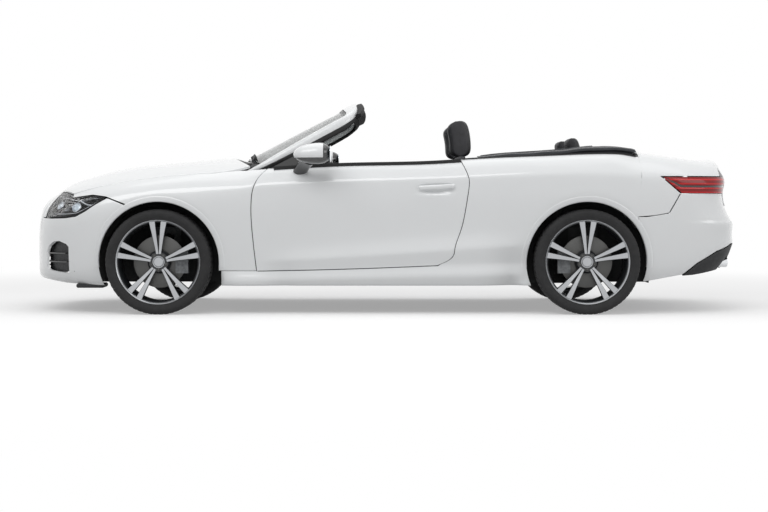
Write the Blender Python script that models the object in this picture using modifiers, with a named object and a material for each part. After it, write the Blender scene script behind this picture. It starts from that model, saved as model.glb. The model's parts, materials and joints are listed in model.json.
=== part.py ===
"""A four-seat, two-door convertible car with its soft top folded, built as separate panels and parts.

X runs towards the tail, -Y is the car's left side, Z is up and the tyres stand on Z = 0.
The body's outer surface is one field, made of a side wall, a top, a nose and a tail that blend into each
other. Every panel is a stretch of that surface with a thickness, cut along the real shut lines.
"""

from math import atan2, cos, pi, radians, sin, sqrt, tan

import bmesh
import bpy
import numpy as np
from mathutils import Matrix, Vector

# Overall sizes, metres
LENGTH = 4.70
WIDTH = 1.85
HEIGHT = 1.41
WHEELBASE = 2.78
FRONT_OVERHANG = 0.888
TRACK = 1.58

# Wheels
TYRE_RADIUS = 0.343
TYRE_WIDTH = 0.245
TYRE_SHOULDER = 0.030
TYRE_STEPS = 24
RIM_RADIUS = 0.272
RIM_WIDTH = 0.222
RIM_WALL = 0.010
RIM_LIP = 0.014
RIM_LIP_RISE = 0.010
SPOKE_DEPTH = 0.030
SPOKE_FACE_INSET = 0.012
SPOKE_HUB_GAP = 0.010
SPOKE_HUB_WIDTH = 0.014
SPOKE_RIM_GAP = 0.030
SPOKE_RIM_WIDTH = 0.034
SPOKE_COUNT = 5
SPOKE_SEAT = 0.0085
HUB_RADIUS = 0.078

DISC_RADIUS = 0.170
DISC_THICKNESS = 0.025

# Clearances
SEAT_GAP = 0.0003
SEAM_GAP = 0.0008
SHUT_GAP = 0.006
DOOR_GAP = 0.0078
SWING_TAPER = 0.016
BONNET_GAP = 0.0078

# Wheel arches
ARCH_RADIUS = 0.393
ARCH_STEPS = 40
FLARE_BAND = 0.045
FLARE_SLOPE = 0.22
LINER_WALL = 0.008

# Panels
PANEL_THICKNESS = 0.022
PEG_HALF = 0.004
PEG_REACH = 0.018
PEG_DEPTH = 0.014
BUMPER_THICKNESS = 0.030
BONNET_THICKNESS = 0.028
GLASS_THICKNESS = 0.006
LAMP_THICKNESS = 0.060
DIFFUSER_SETBACK = 0.035

HALF_LENGTH = LENGTH / 2
HALF_WIDTH = WIDTH / 2
FRONT_AXLE_X = FRONT_OVERHANG - HALF_LENGTH
REAR_AXLE_X = FRONT_AXLE_X + WHEELBASE
ROLLING_RADIUS = TYRE_RADIUS * cos(pi / TYRE_STEPS)
HALF_TRACK = TRACK / 2

# Lines that run along the car. Each row is (x as a share of half the length, height as a share of the
# height).
CENTRE_LINE_SHARES = (
    (-1.000, 0.397), (-0.992, 0.470), (-0.957, 0.555), (-0.911, 0.600), (-0.866, 0.631), (-0.775, 0.672),
    (-0.640, 0.702), (-0.504, 0.723), (-0.403, 0.734), (-0.213, 0.743), (0.213, 0.769), (0.511, 0.783),
    (0.617, 0.785), (0.711, 0.768), (0.781, 0.749), (0.868, 0.729), (0.911, 0.722), (0.955, 0.7265), (
        1.000, 0.735,
    ),
)
BELT_LINE_SHARES = (
    (-1.000, 0.340), (-0.957, 0.435), (-0.894, 0.515), (-0.809, 0.570), (-0.621, 0.628), (-0.426, 0.661),
    (-0.319, 0.672), (-0.136, 0.690), (0.128, 0.701), (0.281, 0.716), (0.468, 0.729), (0.655, 0.735),
    (0.809, 0.708), (0.894, 0.686), (1.000, 0.672),
)
SHOULDER_LINE_SHARES = (
    (-1.000, 0.500), (-0.780, 0.560), (-0.532, 0.586), (-0.362, 0.594), (-0.160, 0.610), (0.125, 0.6255),
    (0.422, 0.645), (0.563, 0.648), (0.761, 0.635), (1.000, 0.610),
)
WAIST_LINE_SHARES = ((-1.0, 0.460), (-0.349, 0.500), (0.123, 0.5255), (0.5, 0.535), (1.0, 0.520))
SCOOP_LINE_SHARES = (
    (-1.0, 0.290), (-0.364, 0.285), (-0.232, 0.301), (0.123, 0.357), (0.255, 0.367), (1.0, 0.370),
)
CREASE_LINE_SHARES = ((-1.0, 0.230), (-0.349, 0.245), (0.123, 0.290), (0.391, 0.318), (1.0, 0.320))
DOOR_FOOT_LINE_SHARES = ((-1.0, 0.195), (-0.353, 0.1985), (0.044, 0.217), (0.145, 0.224), (1.0, 0.235))
SILL_LINE_SHARES = ((-1.0, 0.155), (-0.425, 0.158), (0.123, 0.1766), (0.39, 0.184), (1.0, 0.190))
SKIRT_LINE_SHARES = (
    (-1.000, 0.163), (-0.900, 0.140), (-0.790, 0.1315), (0.70, 0.1315), (0.729, 0.153), (0.832, 0.182), (
        1.0, 0.200,
    ),
)

# Half-width at the shoulder: (x as a share of half the length, half-width as a share of half the width)
PLAN_SHARES = (
    (-1.000, 0.900), (-0.851, 0.970), (-0.622, 1.000), (-0.362, 0.984), (0.000, 0.976), (0.298, 0.984),
    (0.561, 1.000), (0.766, 0.972), (0.936, 0.915), (1.000, 0.890),
)
# End faces on the centre plane: (height as a share of the height, x as a share of half the length)
NOSE_SHARES = (
    (0.120, -0.940), (0.150, -0.985), (0.175, -0.998), (0.215, -1.000), (0.320, -0.999), (0.390, -0.997),
    (0.440, -0.993), (0.500, -0.983), (0.570, -0.955), (0.700, -0.870),
)
TAIL_SHARES = (
    (0.120, 0.900), (0.160, 0.940), (0.200, 0.970), (0.255, 0.992), (0.300, 0.999), (0.370, 0.998), (
        0.430, 0.996,
    ),
    (0.460, 0.986), (0.500, 0.975), (0.560, 0.969), (0.620, 0.973), (0.660, 0.964), (0.700, 0.959), (
        0.730, 0.961,
    ),
)
BELT_HALF_WIDTH = 0.80
CROWN_POWER = 2.3
END_BOW_POWER = 2.6
NOSE_BOW = 0.150
TAIL_BOW = 0.080
NOSE_BLEND = 0.62
TAIL_BLEND = 0.42

# Side wall corners: (line, change of slope, rounding, first x share, last x share, fade as a share)
SHOULDER_SLOPE = 0.60
SHOULDER_ROUNDING = 0.014
BASE_LEAN = 0.020
SIDE_CORNERS = (
    (WAIST_LINE_SHARES, 0.11, 0.060, -0.9, 0.95, 0.30),
    (SCOOP_LINE_SHARES, -0.36, 0.045, -0.22, 0.26, 0.15),
    (CREASE_LINE_SHARES, 0.50, 0.012, -0.26, 0.34, 0.10),
    (DOOR_FOOT_LINE_SHARES, -0.55, 0.012, -0.40, 0.36, 0.08),
    (SILL_LINE_SHARES, 0.70, 0.012, -0.42, 0.36, 0.04),
)
SKIRT_TUCK = 0.30
SKIRT_TUCK_HEIGHT = 0.28
SKIRT_TUCK_ROUNDING = 0.060

# Shut lines seen from the side: (height as a share of the height, x as a share of half the length)
DOOR_FRONT_SHARES = (
    (0.195, -0.3505), (0.252, -0.3545), (0.343, -0.360), (0.434, -0.364), (0.512, -0.364), (0.582, -0.358),
    (0.638, -0.341), (0.680, -0.318), (0.720, -0.300),
)
DOOR_REAR_SHARES = (
    (0.210, 0.125), (0.224, 0.145), (0.245, 0.174), (0.301, 0.195), (0.378, 0.210), (0.483, 0.2245),
    (0.575, 0.233), (0.623, 0.2335), (0.665, 0.2245), (0.708, 0.212), (0.730, 0.205),
)
# Bonnet side edge: (x as a share of half the length, |y| as a share of half the width)
BONNET_EDGE_SHARES = (
    (-0.940, 0.620), (-0.895, 0.715), (-0.864, 0.760), (-0.830, 0.790), (-0.766, 0.818), (-0.620, 0.838),
    (-0.470, 0.850), (-0.431, 0.838), (-0.400, 0.805), (-0.373, 0.757),
)
# Front wing: lower edge as (x share of half the length, z share of the height), upper edge as (x share,
# |y| share)
WING_FOOT_SHARES = (
    (-0.870, 0.536), (-0.843, 0.543), (-0.804, 0.551), (-0.766, 0.543), (-0.711, 0.509), (-0.692, 0.4905),
    (-0.684, 0.201), (-0.300, 0.201),
)
WING_TOP_SHARES = (
    (-0.870, 0.772), (-0.830, 0.800), (-0.766, 0.8275), (-0.620, 0.8475), (-0.470, 0.8595), (-0.431, 0.8485),
    (-0.400, 0.842), (-0.370, 0.852), (-0.330, 0.865), (-0.300, 0.865),
)
WING_FRONT_X = -1.955
# Front bumper: (degrees round from the left side, upper edge as a share of the height); None follows the
# bonnet
BUMPER_TOP_SHARES = (
    (-12, 0.471), (-7, 0.4865), (-3.2, 0.5095), (2.6, 0.5355), (8, 0.503), (12.3, 0.472), (16.5, 0.449),
    (22, 0.4415), (30, 0.4395), (36, 0.439), (42.5, 0.4435), (47.5, None), (66, None), (90, None),
)
# Headlamp: (degrees round, lower edge, upper edge as shares of the height); None follows the bonnet
HEADLAMP_SHARES = (
    (3.4, 0.5365, 0.5385), (8, 0.5075, 0.5448), (12.3, 0.4765, 0.5440), (16.5, 0.4535, 0.5385), (
        22, 0.4460, None,
    ),
    (30, 0.4440, None), (36, 0.4435, None), (42.5, 0.4480, None),
)
# Rear bumper: (degrees round, lower edge, upper edge as shares of the height); a negative first value is
# -|y| instead
REAR_BUMPER_SHARES = (
    (-3.2, 0.150, 0.446), (6.4, 0.168, 0.463), (11, 0.176, 0.554), (14, 0.182, 0.554), (20, 0.235, 0.554),
    (29, 0.290, 0.554), (39.2, 0.322, 0.554), (39.7, 0.3225, 0.490), (54, 0.328, 0.490), (72, 0.328, 0.490),
    (90, 0.328, 0.490),
)
DIFFUSER_SHARES = (
    (14.6, 0.170, 0.1785), (20, 0.172, 0.2305), (29, 0.184, 0.2855), (39.2, 0.196, 0.3175), (
        54, 0.200, 0.3235,
    ),
    (72, 0.200, 0.3235), (90, 0.200, 0.3235),
)
TAIL_LAMP_SHARES = (
    (3.8, 0.6275, 0.6325), (6.4, 0.6015, 0.6325), (11.2, 0.5600, 0.6325), (18, 0.5580, 0.6325),
    (28, 0.5580, 0.6325), (38.0, 0.5580, 0.6325),
)
# What the quarter panel leaves to the bumper and the lamp, seen from the side: (x share, z share)
QUARTER_TAIL_CUT_SHARES = (
    (0.700, 0.050), (0.700, 0.4510), (0.745, 0.4565), (0.784, 0.4680), (0.8145, 0.5575), (0.7580, 0.6365),
    (0.905, 0.6365), (1.100, 0.6365), (1.100, 0.050),
)
BONNET_NOSE_X = -2.215
BONNET_CORNER_X = -2.035
BONNET_CORNER_HALF_WIDTH = 0.700
BONNET_TAIL_X = -1.035
BONNET_TAIL_CORNER_X = -0.880
LID_FRONT_X = 1.665
LID_HALF_WIDTH = 0.600
LID_FOOT_Z = 0.702
DECK_HALF_WIDTH = 0.775
WALL_FACE_Y = 0.745
DECK_START_X = 1.658
QUARTER_COLUMN_SHARES = (
    -0.450, -0.340, -0.200, -0.060, 0.080, 0.180, 0.215, 0.250, 0.300, 0.370, 0.460, 0.560, 0.660, 0.7055,
    0.7120, 0.745, 0.790, 0.830, 0.870, 0.900, 0.920,
)

# Rays that find the surface start on these lines inside the body
FAN_HALF_WIDTH = 0.450
FAN_HEIGHT = 0.600
BAND_X = 1.750
CORNER_FIRST = 11.0
CORNER_LAST = 22.0
END_FIRST = 30.0
END_LAST = 38.0
RAY_REACH = 1.5
FAN_LOWEST = radians(-78)
FAN_ROOF_SIDE = radians(12)
FAN_HIGHEST = radians(85)
FAN_ROUNDS = 18
FIT_ROUNDS = 4
BISECTIONS = 24

SMOOTH_ANGLE = 35
RAY_START_HEIGHT = 0.50
DOOR_ROW_SHARES = (0, 0.05, 0.12, 0.22, 0.36, 0.52, 0.68, 0.84, 1.0)
QUARTER_ROWS = np.linspace(0, 1, 9)
WING_COLUMN_SHARES = (0, 0.06, 0.14, 0.235, 0.290, 0.305, 0.42, 0.56, 0.70, 0.84, 1.0)

# Nose openings: half-width, lower edge, upper edge
GRILLE_OPENING = (0.420, 0.430, 0.660)
INTAKE_OPENING = (0.480, 0.245, 0.345)
GRILLE_FACE_X = -2.285
GRILLE_PLATE_X = -2.235
GRILLE_BACK_X = -2.215
GRILLE_MARGIN = 0.040

# Door hinges. The pocket's outline is (behind the pin, outboard of the pin)
DOOR_PIN = (-0.715, 0.862)
HINGE_HEIGHTS = (0.600, 0.820)
HINGE_EAR = 0.024
HINGE_EYE = 0.011
HINGE_ROOM = 0.008
HINGE_LEG = 0.011
POCKET_OUTLINE = (
    (-0.0100, 0.0155), (0.0155, 0.0100), (0.0155, -0.200), (-0.300, -0.200), (-0.300, -0.110), (
        -0.0165, 0.0080,
    ),
)
EAR_OUTER_Y = 0.685
POST_INNER_Y = 0.640
POST_REAR_X = -0.865
POST_TOP = 0.905

# Door mirrors: shell corners, arm foot (x from, x to, z from, z to), arm's upper end
MIRROR_LOW = (-0.575, -1.130, 0.985)
MIRROR_HIGH = (-0.350, -0.935, 1.103)
MIRROR_ROUND = 0.028
MIRROR_SEAT_SHARE = 0.7
MIRROR_FOOT = (-0.610, -0.490, 0.885, 0.945)
MIRROR_ARM_SHIFT = (0.070, 0.0)
MIRROR_ARM_HEIGHTS = (0.990, 1.030)

# Bonnet hinges
BONNET_AXIS = (-0.892, 0.0, 0.958)
BONNET_HINGE_Y = 0.610
BONNET_LUG = 0.020
BONNET_EAR = 0.018
BONNET_EYE = 0.010
BONNET_ARM_LENGTH = 0.070
BONNET_ARM_HEIGHT = 0.012

# Boot lid hinges
LID_AXIS = (1.685, 0.0, 1.075)
LID_FAN_X = 1.700
LID_FAN_RISE = 0.380
LID_HINGE_Y = 0.200
LID_LUG = 0.040
LID_EAR = 0.020
LID_EYE = 0.0055
# The flat seat of the rear number plate: x from, x to, half-width, z from, z to
PLATE_SEAT = (2.255, 2.294, 0.262, 0.762, 0.878)

# Exhaust: tip (x from, x to, y from, y to, z from, z to) and muffler (x from, x to, half-width, foot)
EXHAUST_TIP = (2.000, 2.295, 0.480, 0.630, 0.290, 0.372)
MUFFLER = (1.780, 2.060, 0.500, 0.250)
MUFFLER_EDGE = 0.030
TIP_WALL = 0.005

# Windscreen. Each row of its edge: (x, |y|, z) shares, then the frame's width and depth as shares of the
# height
SCREEN_EDGE_SHARES = (
    (-0.396, 0.770, 0.6490, 0.030, 0.020), (-0.366, 0.782, 0.6750, 0.030, 0.024),
    (-0.340, 0.794, 0.6985, 0.030, 0.026), (-0.315, 0.786, 0.7240, 0.030, 0.032),
    (-0.217, 0.714, 0.8210, 0.030, 0.042), (-0.130, 0.645, 0.9030, 0.032, 0.044),
    (-0.112, 0.618, 0.9210, 0.036, 0.040), (-0.108, 0.575, 0.9340, 0.046, 0.034),
    (-0.112, 0.480, 0.9470, 0.060, 0.028), (-0.120, 0.300, 0.9615, 0.068, 0.024),
    (-0.125, 0.000, 0.9695, 0.070, 0.024),
)
SCREEN_AIM = (-0.550, 1.150)
SCREEN_SLOPE = radians(28.4)
SCREEN_FIRST_GLASS_ROW = 2
FRAME_FALL = 0.15
SCREEN_PILLAR_ROWS = 5
GLASS_FOOT_BOW = 0.145
GLASS_TOP_BOW = 0.040
GLASS_FOOT_CROWN = 0.026
GLASS_TOP_CROWN = 0.045
SCREEN_FOOT = (-0.799, 0.985)
COWL_HALF_WIDTH = 0.690
COWL_GLASS_HALF_WIDTH = 0.735
COWL_GAP = 0.014
COWL_GLASS_GAP = 0.004
COWL_DROP = 0.010
COWL_BOTTOM = 0.905

# The tub
PLATE = 0.020
FLOOR_BOTTOM = 0.192
FLOOR_TOP = 0.220
FLOOR_FRONT_X = -2.100
FIREWALL_X = -0.990
FIREWALL_HALF_WIDTH = 0.700
TUNNEL_HALF_WIDTH = 0.110
TUNNEL_TOP = 0.320
TUNNEL_END_X = 0.770
RISER_X = 1.270
BOOT_FLOOR_TOP = 0.480
REAR_FLOOR_HALF_WIDTH = 0.600
TAIL_WALL_X = 2.130
TAIL_WALL_TOP = 0.680
BULKHEAD_X = 1.420
BULKHEAD_HALF_WIDTH = 0.590
BULKHEAD_TOP = 0.960
LINER_RADIUS = 0.417
LINER_STEPS = 8
FRONT_LINER_Y = 0.452
FRONT_LINER_OUT_Y = 0.735
REAR_LINER_Y = 0.628
LINER_WINDOW = 0.100
LINER_WINDOW_TOP = 0.560

# Hidden fixings: places of the pegs, then each bracket's x, |y| and z
LAMP_PEG_ANGLE = 26.0
LAMP_PEG_Z = 0.625
TAIL_PEG_ANGLE = 24.0
TAIL_PEG_Z = 0.784
WING_PEG_X = -0.895
MIRROR_PEG = (-0.560, -0.540, 0.850, 0.900, 0.905, 0.920)
FRONT_BRACKET = (-2.305, -2.060, 0.300, 0.400, FLOOR_TOP + SEAT_GAP, 0.240)
REAR_BRACKET = (TAIL_WALL_X + 0.9 * PLATE + SEAT_GAP, 2.305, 0.300, 0.400, 0.520, 0.600)

# Running gear
HUB_INNER = 0.018
HUB_FACE = 0.068
DISC_INNER = 0.015
DISC_ROOM = 0.005
CALIPER_WALL = 0.022
CALIPER_IN = 0.105
CALIPER_OUT = 0.188
CALIPER_LENGTH = 0.150
KINGPIN_Y = 0.740
KNUCKLE_DEPTH = 0.050
KNUCKLE_FOOT = 0.260
KNUCKLE_TOP = 0.480
BEARING_RADIUS = 0.050
SHAFT_RADIUS = 0.022
CASE_HALF = 0.110
CASE_LENGTH = 0.180
CASE_DROP = 0.080
TOWER_HALF = 0.040
ARM_DEPTH = 0.028
ARM_OVERHANG = 0.012
ARM_NARROWING = 0.8
ENGINE_FOOT = 0.310
ENGINE = (-1.780, -1.060, 0.300, 0.820)
ENGINE_EDGE = 0.040

# The cabin, as side outlines: (x share, z share)
SEAT_Y = 0.370
SEAT_HALF = 0.245
HEADREST_HALF = 0.130
REAR_SEAT_HALF = 0.560
REAR_REST_Y = 0.330
DASH_HALF = 0.630
CONSOLE_HALF = 0.095
FRONT_SEAT_SHARES = (
    (-0.090, 0.1563), (0.150, 0.1563), (0.195, 0.330), (0.256, 0.720), (0.252, 0.742), (0.215, 0.748),
    (0.185, 0.700), (0.120, 0.345), (-0.080, 0.370), (-0.100, 0.345),
)
HEADREST_SHARES = (
    (0.222, 0.700), (0.245, 0.700), (0.246, 0.865), (0.232, 0.905), (0.200, 0.900), (0.190, 0.840),
)
REAR_SEAT_SHARES = (
    (0.330, 0.1563), (0.5355, 0.1563), (0.5355, 0.3530), (0.590, 0.3530), (0.597, 0.640), (0.560, 0.655),
    (0.535, 0.620), (0.490, 0.370), (0.340, 0.370),
)
REAR_REST_SHARES = (
    (0.545, 0.640), (0.580, 0.640), (0.565, 0.825), (0.545, 0.832), (0.512, 0.820), (0.510, 0.770),
)
DASH_SHARES = (
    (-0.4125, 0.460), (-0.330, 0.430), (-0.255, 0.480), (-0.215, 0.600), (-0.225, 0.655), (-0.290, 0.690),
    (-0.345, 0.675), (-0.352, 0.618), (-0.4125, 0.615),
)
CONSOLE_SHARES = (
    (-0.235, 0.2275), (0.300, 0.2275), (0.290, 0.400), (0.150, 0.430), (-0.060, 0.400), (-0.200, 0.440),
)
STEERING_CENTRE = (-0.330, -0.370, 0.905)
STEERING_TILT_DEG = 24
STEERING_RADIUS = 0.180
STEERING_GRIP = 0.015
STEERING_BOSS = 0.060
COLUMN_LENGTH = 0.240
COLUMN_RADIUS = 0.035

# The folded roof's cover
TONNEAU_COLUMN_SHARES = (0.262, 0.302, 0.411, 0.502, 0.560, 0.600, 0.640, 0.680, 0.702)
TONNEAU_LINE_SHARES = (
    (0.262, 0.738), (0.302, 0.747), (0.411, 0.760), (0.502, 0.7715), (0.574, 0.783), (0.638, 0.785),
    (0.702, 0.776),
)
TONNEAU_HALF_WIDTH = 0.745 - 0.0003
TONNEAU_FALL = 0.020
TONNEAU_FOOT = 0.970
TONNEAU_REAR_X = 1.650
WELL_SHARES = ((0.200, 0.640), (0.480, 0.640), (0.545, 0.610), (0.590, 0.520), (0.594, 0.300))


def spline(rows, scale_in, scale_out):
    """A smooth curve through the rows of a table of shares, as a function. It is straight past both ends."""
    table = np.array(rows, float)
    at, value = table[:, 0] * scale_in, table[:, 1] * scale_out
    count = len(at)
    step, rise = np.diff(at), np.diff(value)
    matrix, right = np.eye(count), np.zeros(count)
    for i in range(1, count - 1):
        matrix[i, i - 1 : i + 2] = step[i - 1], 2 * (step[i - 1] + step[i]), step[i]
        right[i] = 6 * (rise[i] / step[i] - rise[i - 1] / step[i - 1])
    bend = np.linalg.solve(matrix, right)

    def curve(x):
        x = np.asarray(x, float)
        inside = np.clip(x, at[0], at[-1])
        i = np.clip(np.searchsorted(at, inside) - 1, 0, count - 2)
        h, a = step[i], inside - at[i]
        b = h - a
        slope = rise[i] / h - h * (2 * bend[i] + bend[i + 1]) / 6
        y = value[i] + slope * a + bend[i] * a * a / 2 + (bend[i + 1] - bend[i]) * a**3 / (6 * h)
        first = rise[0] / step[0] - step[0] * bend[1] / 6
        last = rise[-1] / step[-1] + step[-1] * bend[-2] / 6
        return y + np.minimum(x - at[0], 0) * first + np.maximum(x - at[-1], 0) * last

    return curve


def along(rows):
    """A height along the car."""
    return spline(rows, HALF_LENGTH, HEIGHT)


centre_line, belt_line = along(CENTRE_LINE_SHARES), along(BELT_LINE_SHARES)
shoulder_line, waist_line = along(SHOULDER_LINE_SHARES), along(WAIST_LINE_SHARES)
scoop_line, crease_line = along(SCOOP_LINE_SHARES), along(CREASE_LINE_SHARES)
door_foot_line, sill_line = along(DOOR_FOOT_LINE_SHARES), along(SILL_LINE_SHARES)
plan_line = spline(PLAN_SHARES, HALF_LENGTH, HALF_WIDTH)
bonnet_edge = spline(BONNET_EDGE_SHARES, HALF_LENGTH, HALF_WIDTH)
nose_line, tail_line = spline(NOSE_SHARES, HEIGHT, HALF_LENGTH), spline(TAIL_SHARES, HEIGHT, HALF_LENGTH)
door_front, door_rear = spline(DOOR_FRONT_SHARES, HEIGHT, HALF_LENGTH), spline(
    DOOR_REAR_SHARES, HEIGHT, HALF_LENGTH,
)
side_corners = [(along(c[0]), *c[1:]) for c in SIDE_CORNERS]


def straight(rows, scale_out):
    """Straight runs between the rows of a table of shares."""
    at, value = np.array(rows, float).T

    def line(x):
        return np.interp(x, at * HALF_LENGTH, value * scale_out)

    return line


skirt_line = straight(SKIRT_LINE_SHARES, HEIGHT)
wing_foot, wing_top = straight(WING_FOOT_SHARES, HEIGHT), straight(WING_TOP_SHARES, HALF_WIDTH)
tonneau_line = straight(TONNEAU_LINE_SHARES, HEIGHT)



def ramp(d, rounding):
    """Zero below 0, a straight rise above it, and a rounded corner between."""
    return 0.5 * (d + np.sqrt(d * d + rounding * rounding))


def window(x, first, last, fade):
    """1 between two x shares, fading smoothly to 0 over a share past each."""
    s = x / HALF_LENGTH
    inside = np.clip(1 + np.minimum(s - first, last - s) / fade, 0, 1)
    return inside * inside * (3 - 2 * inside)


def blend_max(a, b, width):
    """The larger of two distances, with a smooth fillet where they nearly match."""
    near = np.maximum(width - np.abs(a - b), 0)
    return np.maximum(a, b) + near**3 / (6 * width * width)


def side_width(x, z):
    """Half-width of the side wall at a point seen from the side."""
    lift = z - shoulder_line(x)
    crisp = window(x, -0.36, 0.80, 0.30)
    y = plan_line(x) - SHOULDER_SLOPE * (0.35 + 0.65 * crisp) * ramp(
        lift, SHOULDER_ROUNDING * (5 - 4 * crisp),
    )
    y = y - BASE_LEAN * ramp(-lift, SHOULDER_ROUNDING)
    for line, slope, rounding, first, last, fade in side_corners:
        y = y - slope * window(x, first, last, fade) * ramp(line(x) - z, rounding)
    ends = 1 - window(x, -0.42, 0.40, 0.05)
    y = y - SKIRT_TUCK * ends * ramp(SKIRT_TUCK_HEIGHT - z, SKIRT_TUCK_ROUNDING)
    for axle in (FRONT_AXLE_X, REAR_AXLE_X):
        reach = np.hypot(x - axle, z - ROLLING_RADIUS)
        y = y - FLARE_SLOPE * ramp(ARCH_RADIUS + FLARE_BAND - reach, SHOULDER_ROUNDING)
    return y


def top_height(x, y):
    """The top: the belt line at the sides and the centre line in the middle, joined by a power of |y|."""
    belt = belt_line(x)
    return belt + (centre_line(x) - belt) * (1 - (np.abs(y) / BELT_HALF_WIDTH) ** CROWN_POWER)


def body_field(x, y, z):
    """Below 0 inside the body and above 0 outside it."""
    wide = np.abs(y)
    bow = (wide / HALF_WIDTH) ** END_BOW_POWER
    plan = blend_max(wide - side_width(x, z), nose_line(z) + NOSE_BOW * bow - x, NOSE_BLEND)
    plan = blend_max(plan, x - tail_line(z) + TAIL_BOW * bow, TAIL_BLEND)
    cabin = window(x, -0.30, 0.62, 0.10)
    width = (0.20 - 0.14 * cabin) * (0.25 + 0.75 * np.minimum(wide / BELT_HALF_WIDTH, 1) ** 2)
    return blend_max(plan, z - top_height(x, y), width)


def cast(start, direction, reach):
    """Where rays from inside leave the body. start and direction are arrays of points."""
    low, high = np.zeros(start.shape[:-1]), np.full(start.shape[:-1], float(reach))
    for _ in range(BISECTIONS):
        middle = (low + high) / 2
        p = start + direction * middle[..., None]
        outside = body_field(p[..., 0], p[..., 1], p[..., 2]) > 0
        low, high = np.where(outside, low, middle), np.where(outside, middle, high)
    return start + direction * ((low + high) / 2)[..., None]


def normals_at(p):
    """The field's gradient by central differences, at unit length."""
    step = 1e-4
    slopes = []
    for axis in range(3):
        d = np.zeros(3)
        d[axis] = step
        a, b = p + d, p - d
        slopes.append(
            body_field(a[..., 0], a[..., 1], a[..., 2]) - body_field(b[..., 0], b[..., 1], b[..., 2])
        )
    n = np.stack(slopes, -1)
    return n / np.linalg.norm(n, axis=-1, keepdims=True)

for old in list(bpy.data.objects):
    bpy.data.objects.remove(old)
CAR = bpy.data.collections.new("convertible_car")
bpy.context.scene.collection.children.link(CAR)

# Looks: base colour, metallic, roughness
LOOKS = {
    "body_paint": ((0.90, 0.91, 0.92), 0.0, 0.25),
    "gloss_black": ((0.02, 0.02, 0.02), 0.0, 0.20),
    "dark_plastic": ((0.05, 0.05, 0.055), 0.0, 0.60),
    "leather": ((0.06, 0.06, 0.07), 0.0, 0.50),
    "soft_top": ((0.07, 0.075, 0.08), 0.0, 0.90),
    "tyre": ((0.02, 0.02, 0.02), 0.0, 0.80),
    "alloy": ((0.65, 0.66, 0.68), 1.0, 0.30),
    "steel": ((0.30, 0.30, 0.31), 1.0, 0.45),
    "chrome": ((0.80, 0.80, 0.81), 1.0, 0.10),
    "glass": ((0.60, 0.66, 0.70), 0.0, 0.05),
    "clear_lens": ((0.70, 0.74, 0.78), 0.0, 0.08),
    "red_lens": ((0.45, 0.02, 0.02), 0.0, 0.12),
}
MATERIALS = {}
for look, (colour, metallic, roughness) in LOOKS.items():
    MATERIALS[look] = bpy.data.materials.new(look)
    MATERIALS[look].use_nodes = True
    surface = MATERIALS[look].node_tree.nodes["Principled BSDF"]
    surface.inputs["Base Color"].default_value = (*colour, 1)
    surface.inputs["Metallic"].default_value = metallic
    surface.inputs["Roughness"].default_value = roughness


def shell(name, outer, inner, material):
    """A closed panel between an outer and an inner sheet, two grids of points of the same shape."""
    rows, columns = outer.shape[:2]
    number = np.arange(rows * columns).reshape(rows, columns)
    faces = []
    for shift, turn in ((0, 1), (rows * columns, -1)):
        a, b, c, d = number[:-1, :-1], number[1:, :-1], number[1:, 1:], number[:-1, 1:]
        faces += [tuple(f)[::turn] for f in (np.stack([a, b, c, d], -1).reshape(-1, 4) + shift).tolist()]
    rim = np.concatenate([number[0, :-1], number[:-1, -1], number[-1, :0:-1], number[:0:-1, 0]]).tolist()
    for a, b in zip(rim, rim[1:] + rim[:1]):
        faces.append((a, b, b + rows * columns, a + rows * columns))
    points = np.concatenate([outer.reshape(-1, 3), inner.reshape(-1, 3)])
    return solid(name, points.tolist(), faces, material)


def solid(name, points, faces, material):
    """A mesh object from points and faces, with its normals made to point out."""
    mesh = bpy.data.meshes.new(name)
    mesh.from_pydata(points, [], faces)
    form = bmesh.new()
    form.from_mesh(mesh)
    bmesh.ops.triangulate(form, faces=[f for f in form.faces if len(f.verts) > 3])
    bmesh.ops.recalc_face_normals(form, faces=form.faces)
    form.to_mesh(mesh)
    form.free()
    return place(name, mesh, material)


def place(name, mesh, material):
    """Link a mesh into the car as an object with its material."""
    piece = bpy.data.objects.new(name, mesh)
    mesh.materials.clear()
    mesh.materials.append(MATERIALS[material])
    mesh.set_sharp_from_angle(angle=radians(SMOOTH_ANGLE))
    CAR.objects.link(piece)
    return piece


def box(name, low, high, material="steel"):
    """A box between two corners."""
    form = bmesh.new()
    size = [b - a for a, b in zip(low, high)]
    middle = [(a + b) / 2 for a, b in zip(low, high)]
    bmesh.ops.create_cube(form, size=1, matrix=Matrix.Translation(middle) @ Matrix.Diagonal((*size, 1)))
    mesh = bpy.data.meshes.new(name)
    form.to_mesh(mesh)
    form.free()
    return place(name, mesh, material)


def rod(name, start, end, radius, steps, material="steel", end_radius=None):
    """A cylinder, or a cone, between two points."""
    start, end = Vector(start), Vector(end)
    turn = (end - start).to_track_quat("Z", "Y").to_matrix().to_4x4()
    form = bmesh.new()
    bmesh.ops.create_cone(
        form, cap_ends=True, segments=steps, radius1=radius, radius2=radius if end_radius is None else end_radius,
        depth=(end - start).length, matrix=Matrix.Translation((start + end) / 2) @ turn,
    )
    mesh = bpy.data.meshes.new(name)
    form.to_mesh(mesh)
    form.free()
    return place(name, mesh, material)


def prism(name, outline, axis, low, high, material="steel"):
    """An outline drawn across an axis and drawn out along it, from low to high."""
    order = {"X": (2, 0, 1), "Y": (0, 2, 1), "Z": (0, 1, 2)}[axis]
    count = len(outline)
    points = []
    for level in (low, high):
        for a, b in outline:
            raw = (a, b, level)
            points.append(tuple(raw[order[i]] for i in range(3)))
    faces = [tuple(range(count)), tuple(range(count, 2 * count))[::-1]]
    faces += [(i, (i + 1) % count, (i + 1) % count + count, i + count) for i in range(count)]
    return solid(name, points, faces, material)


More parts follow.
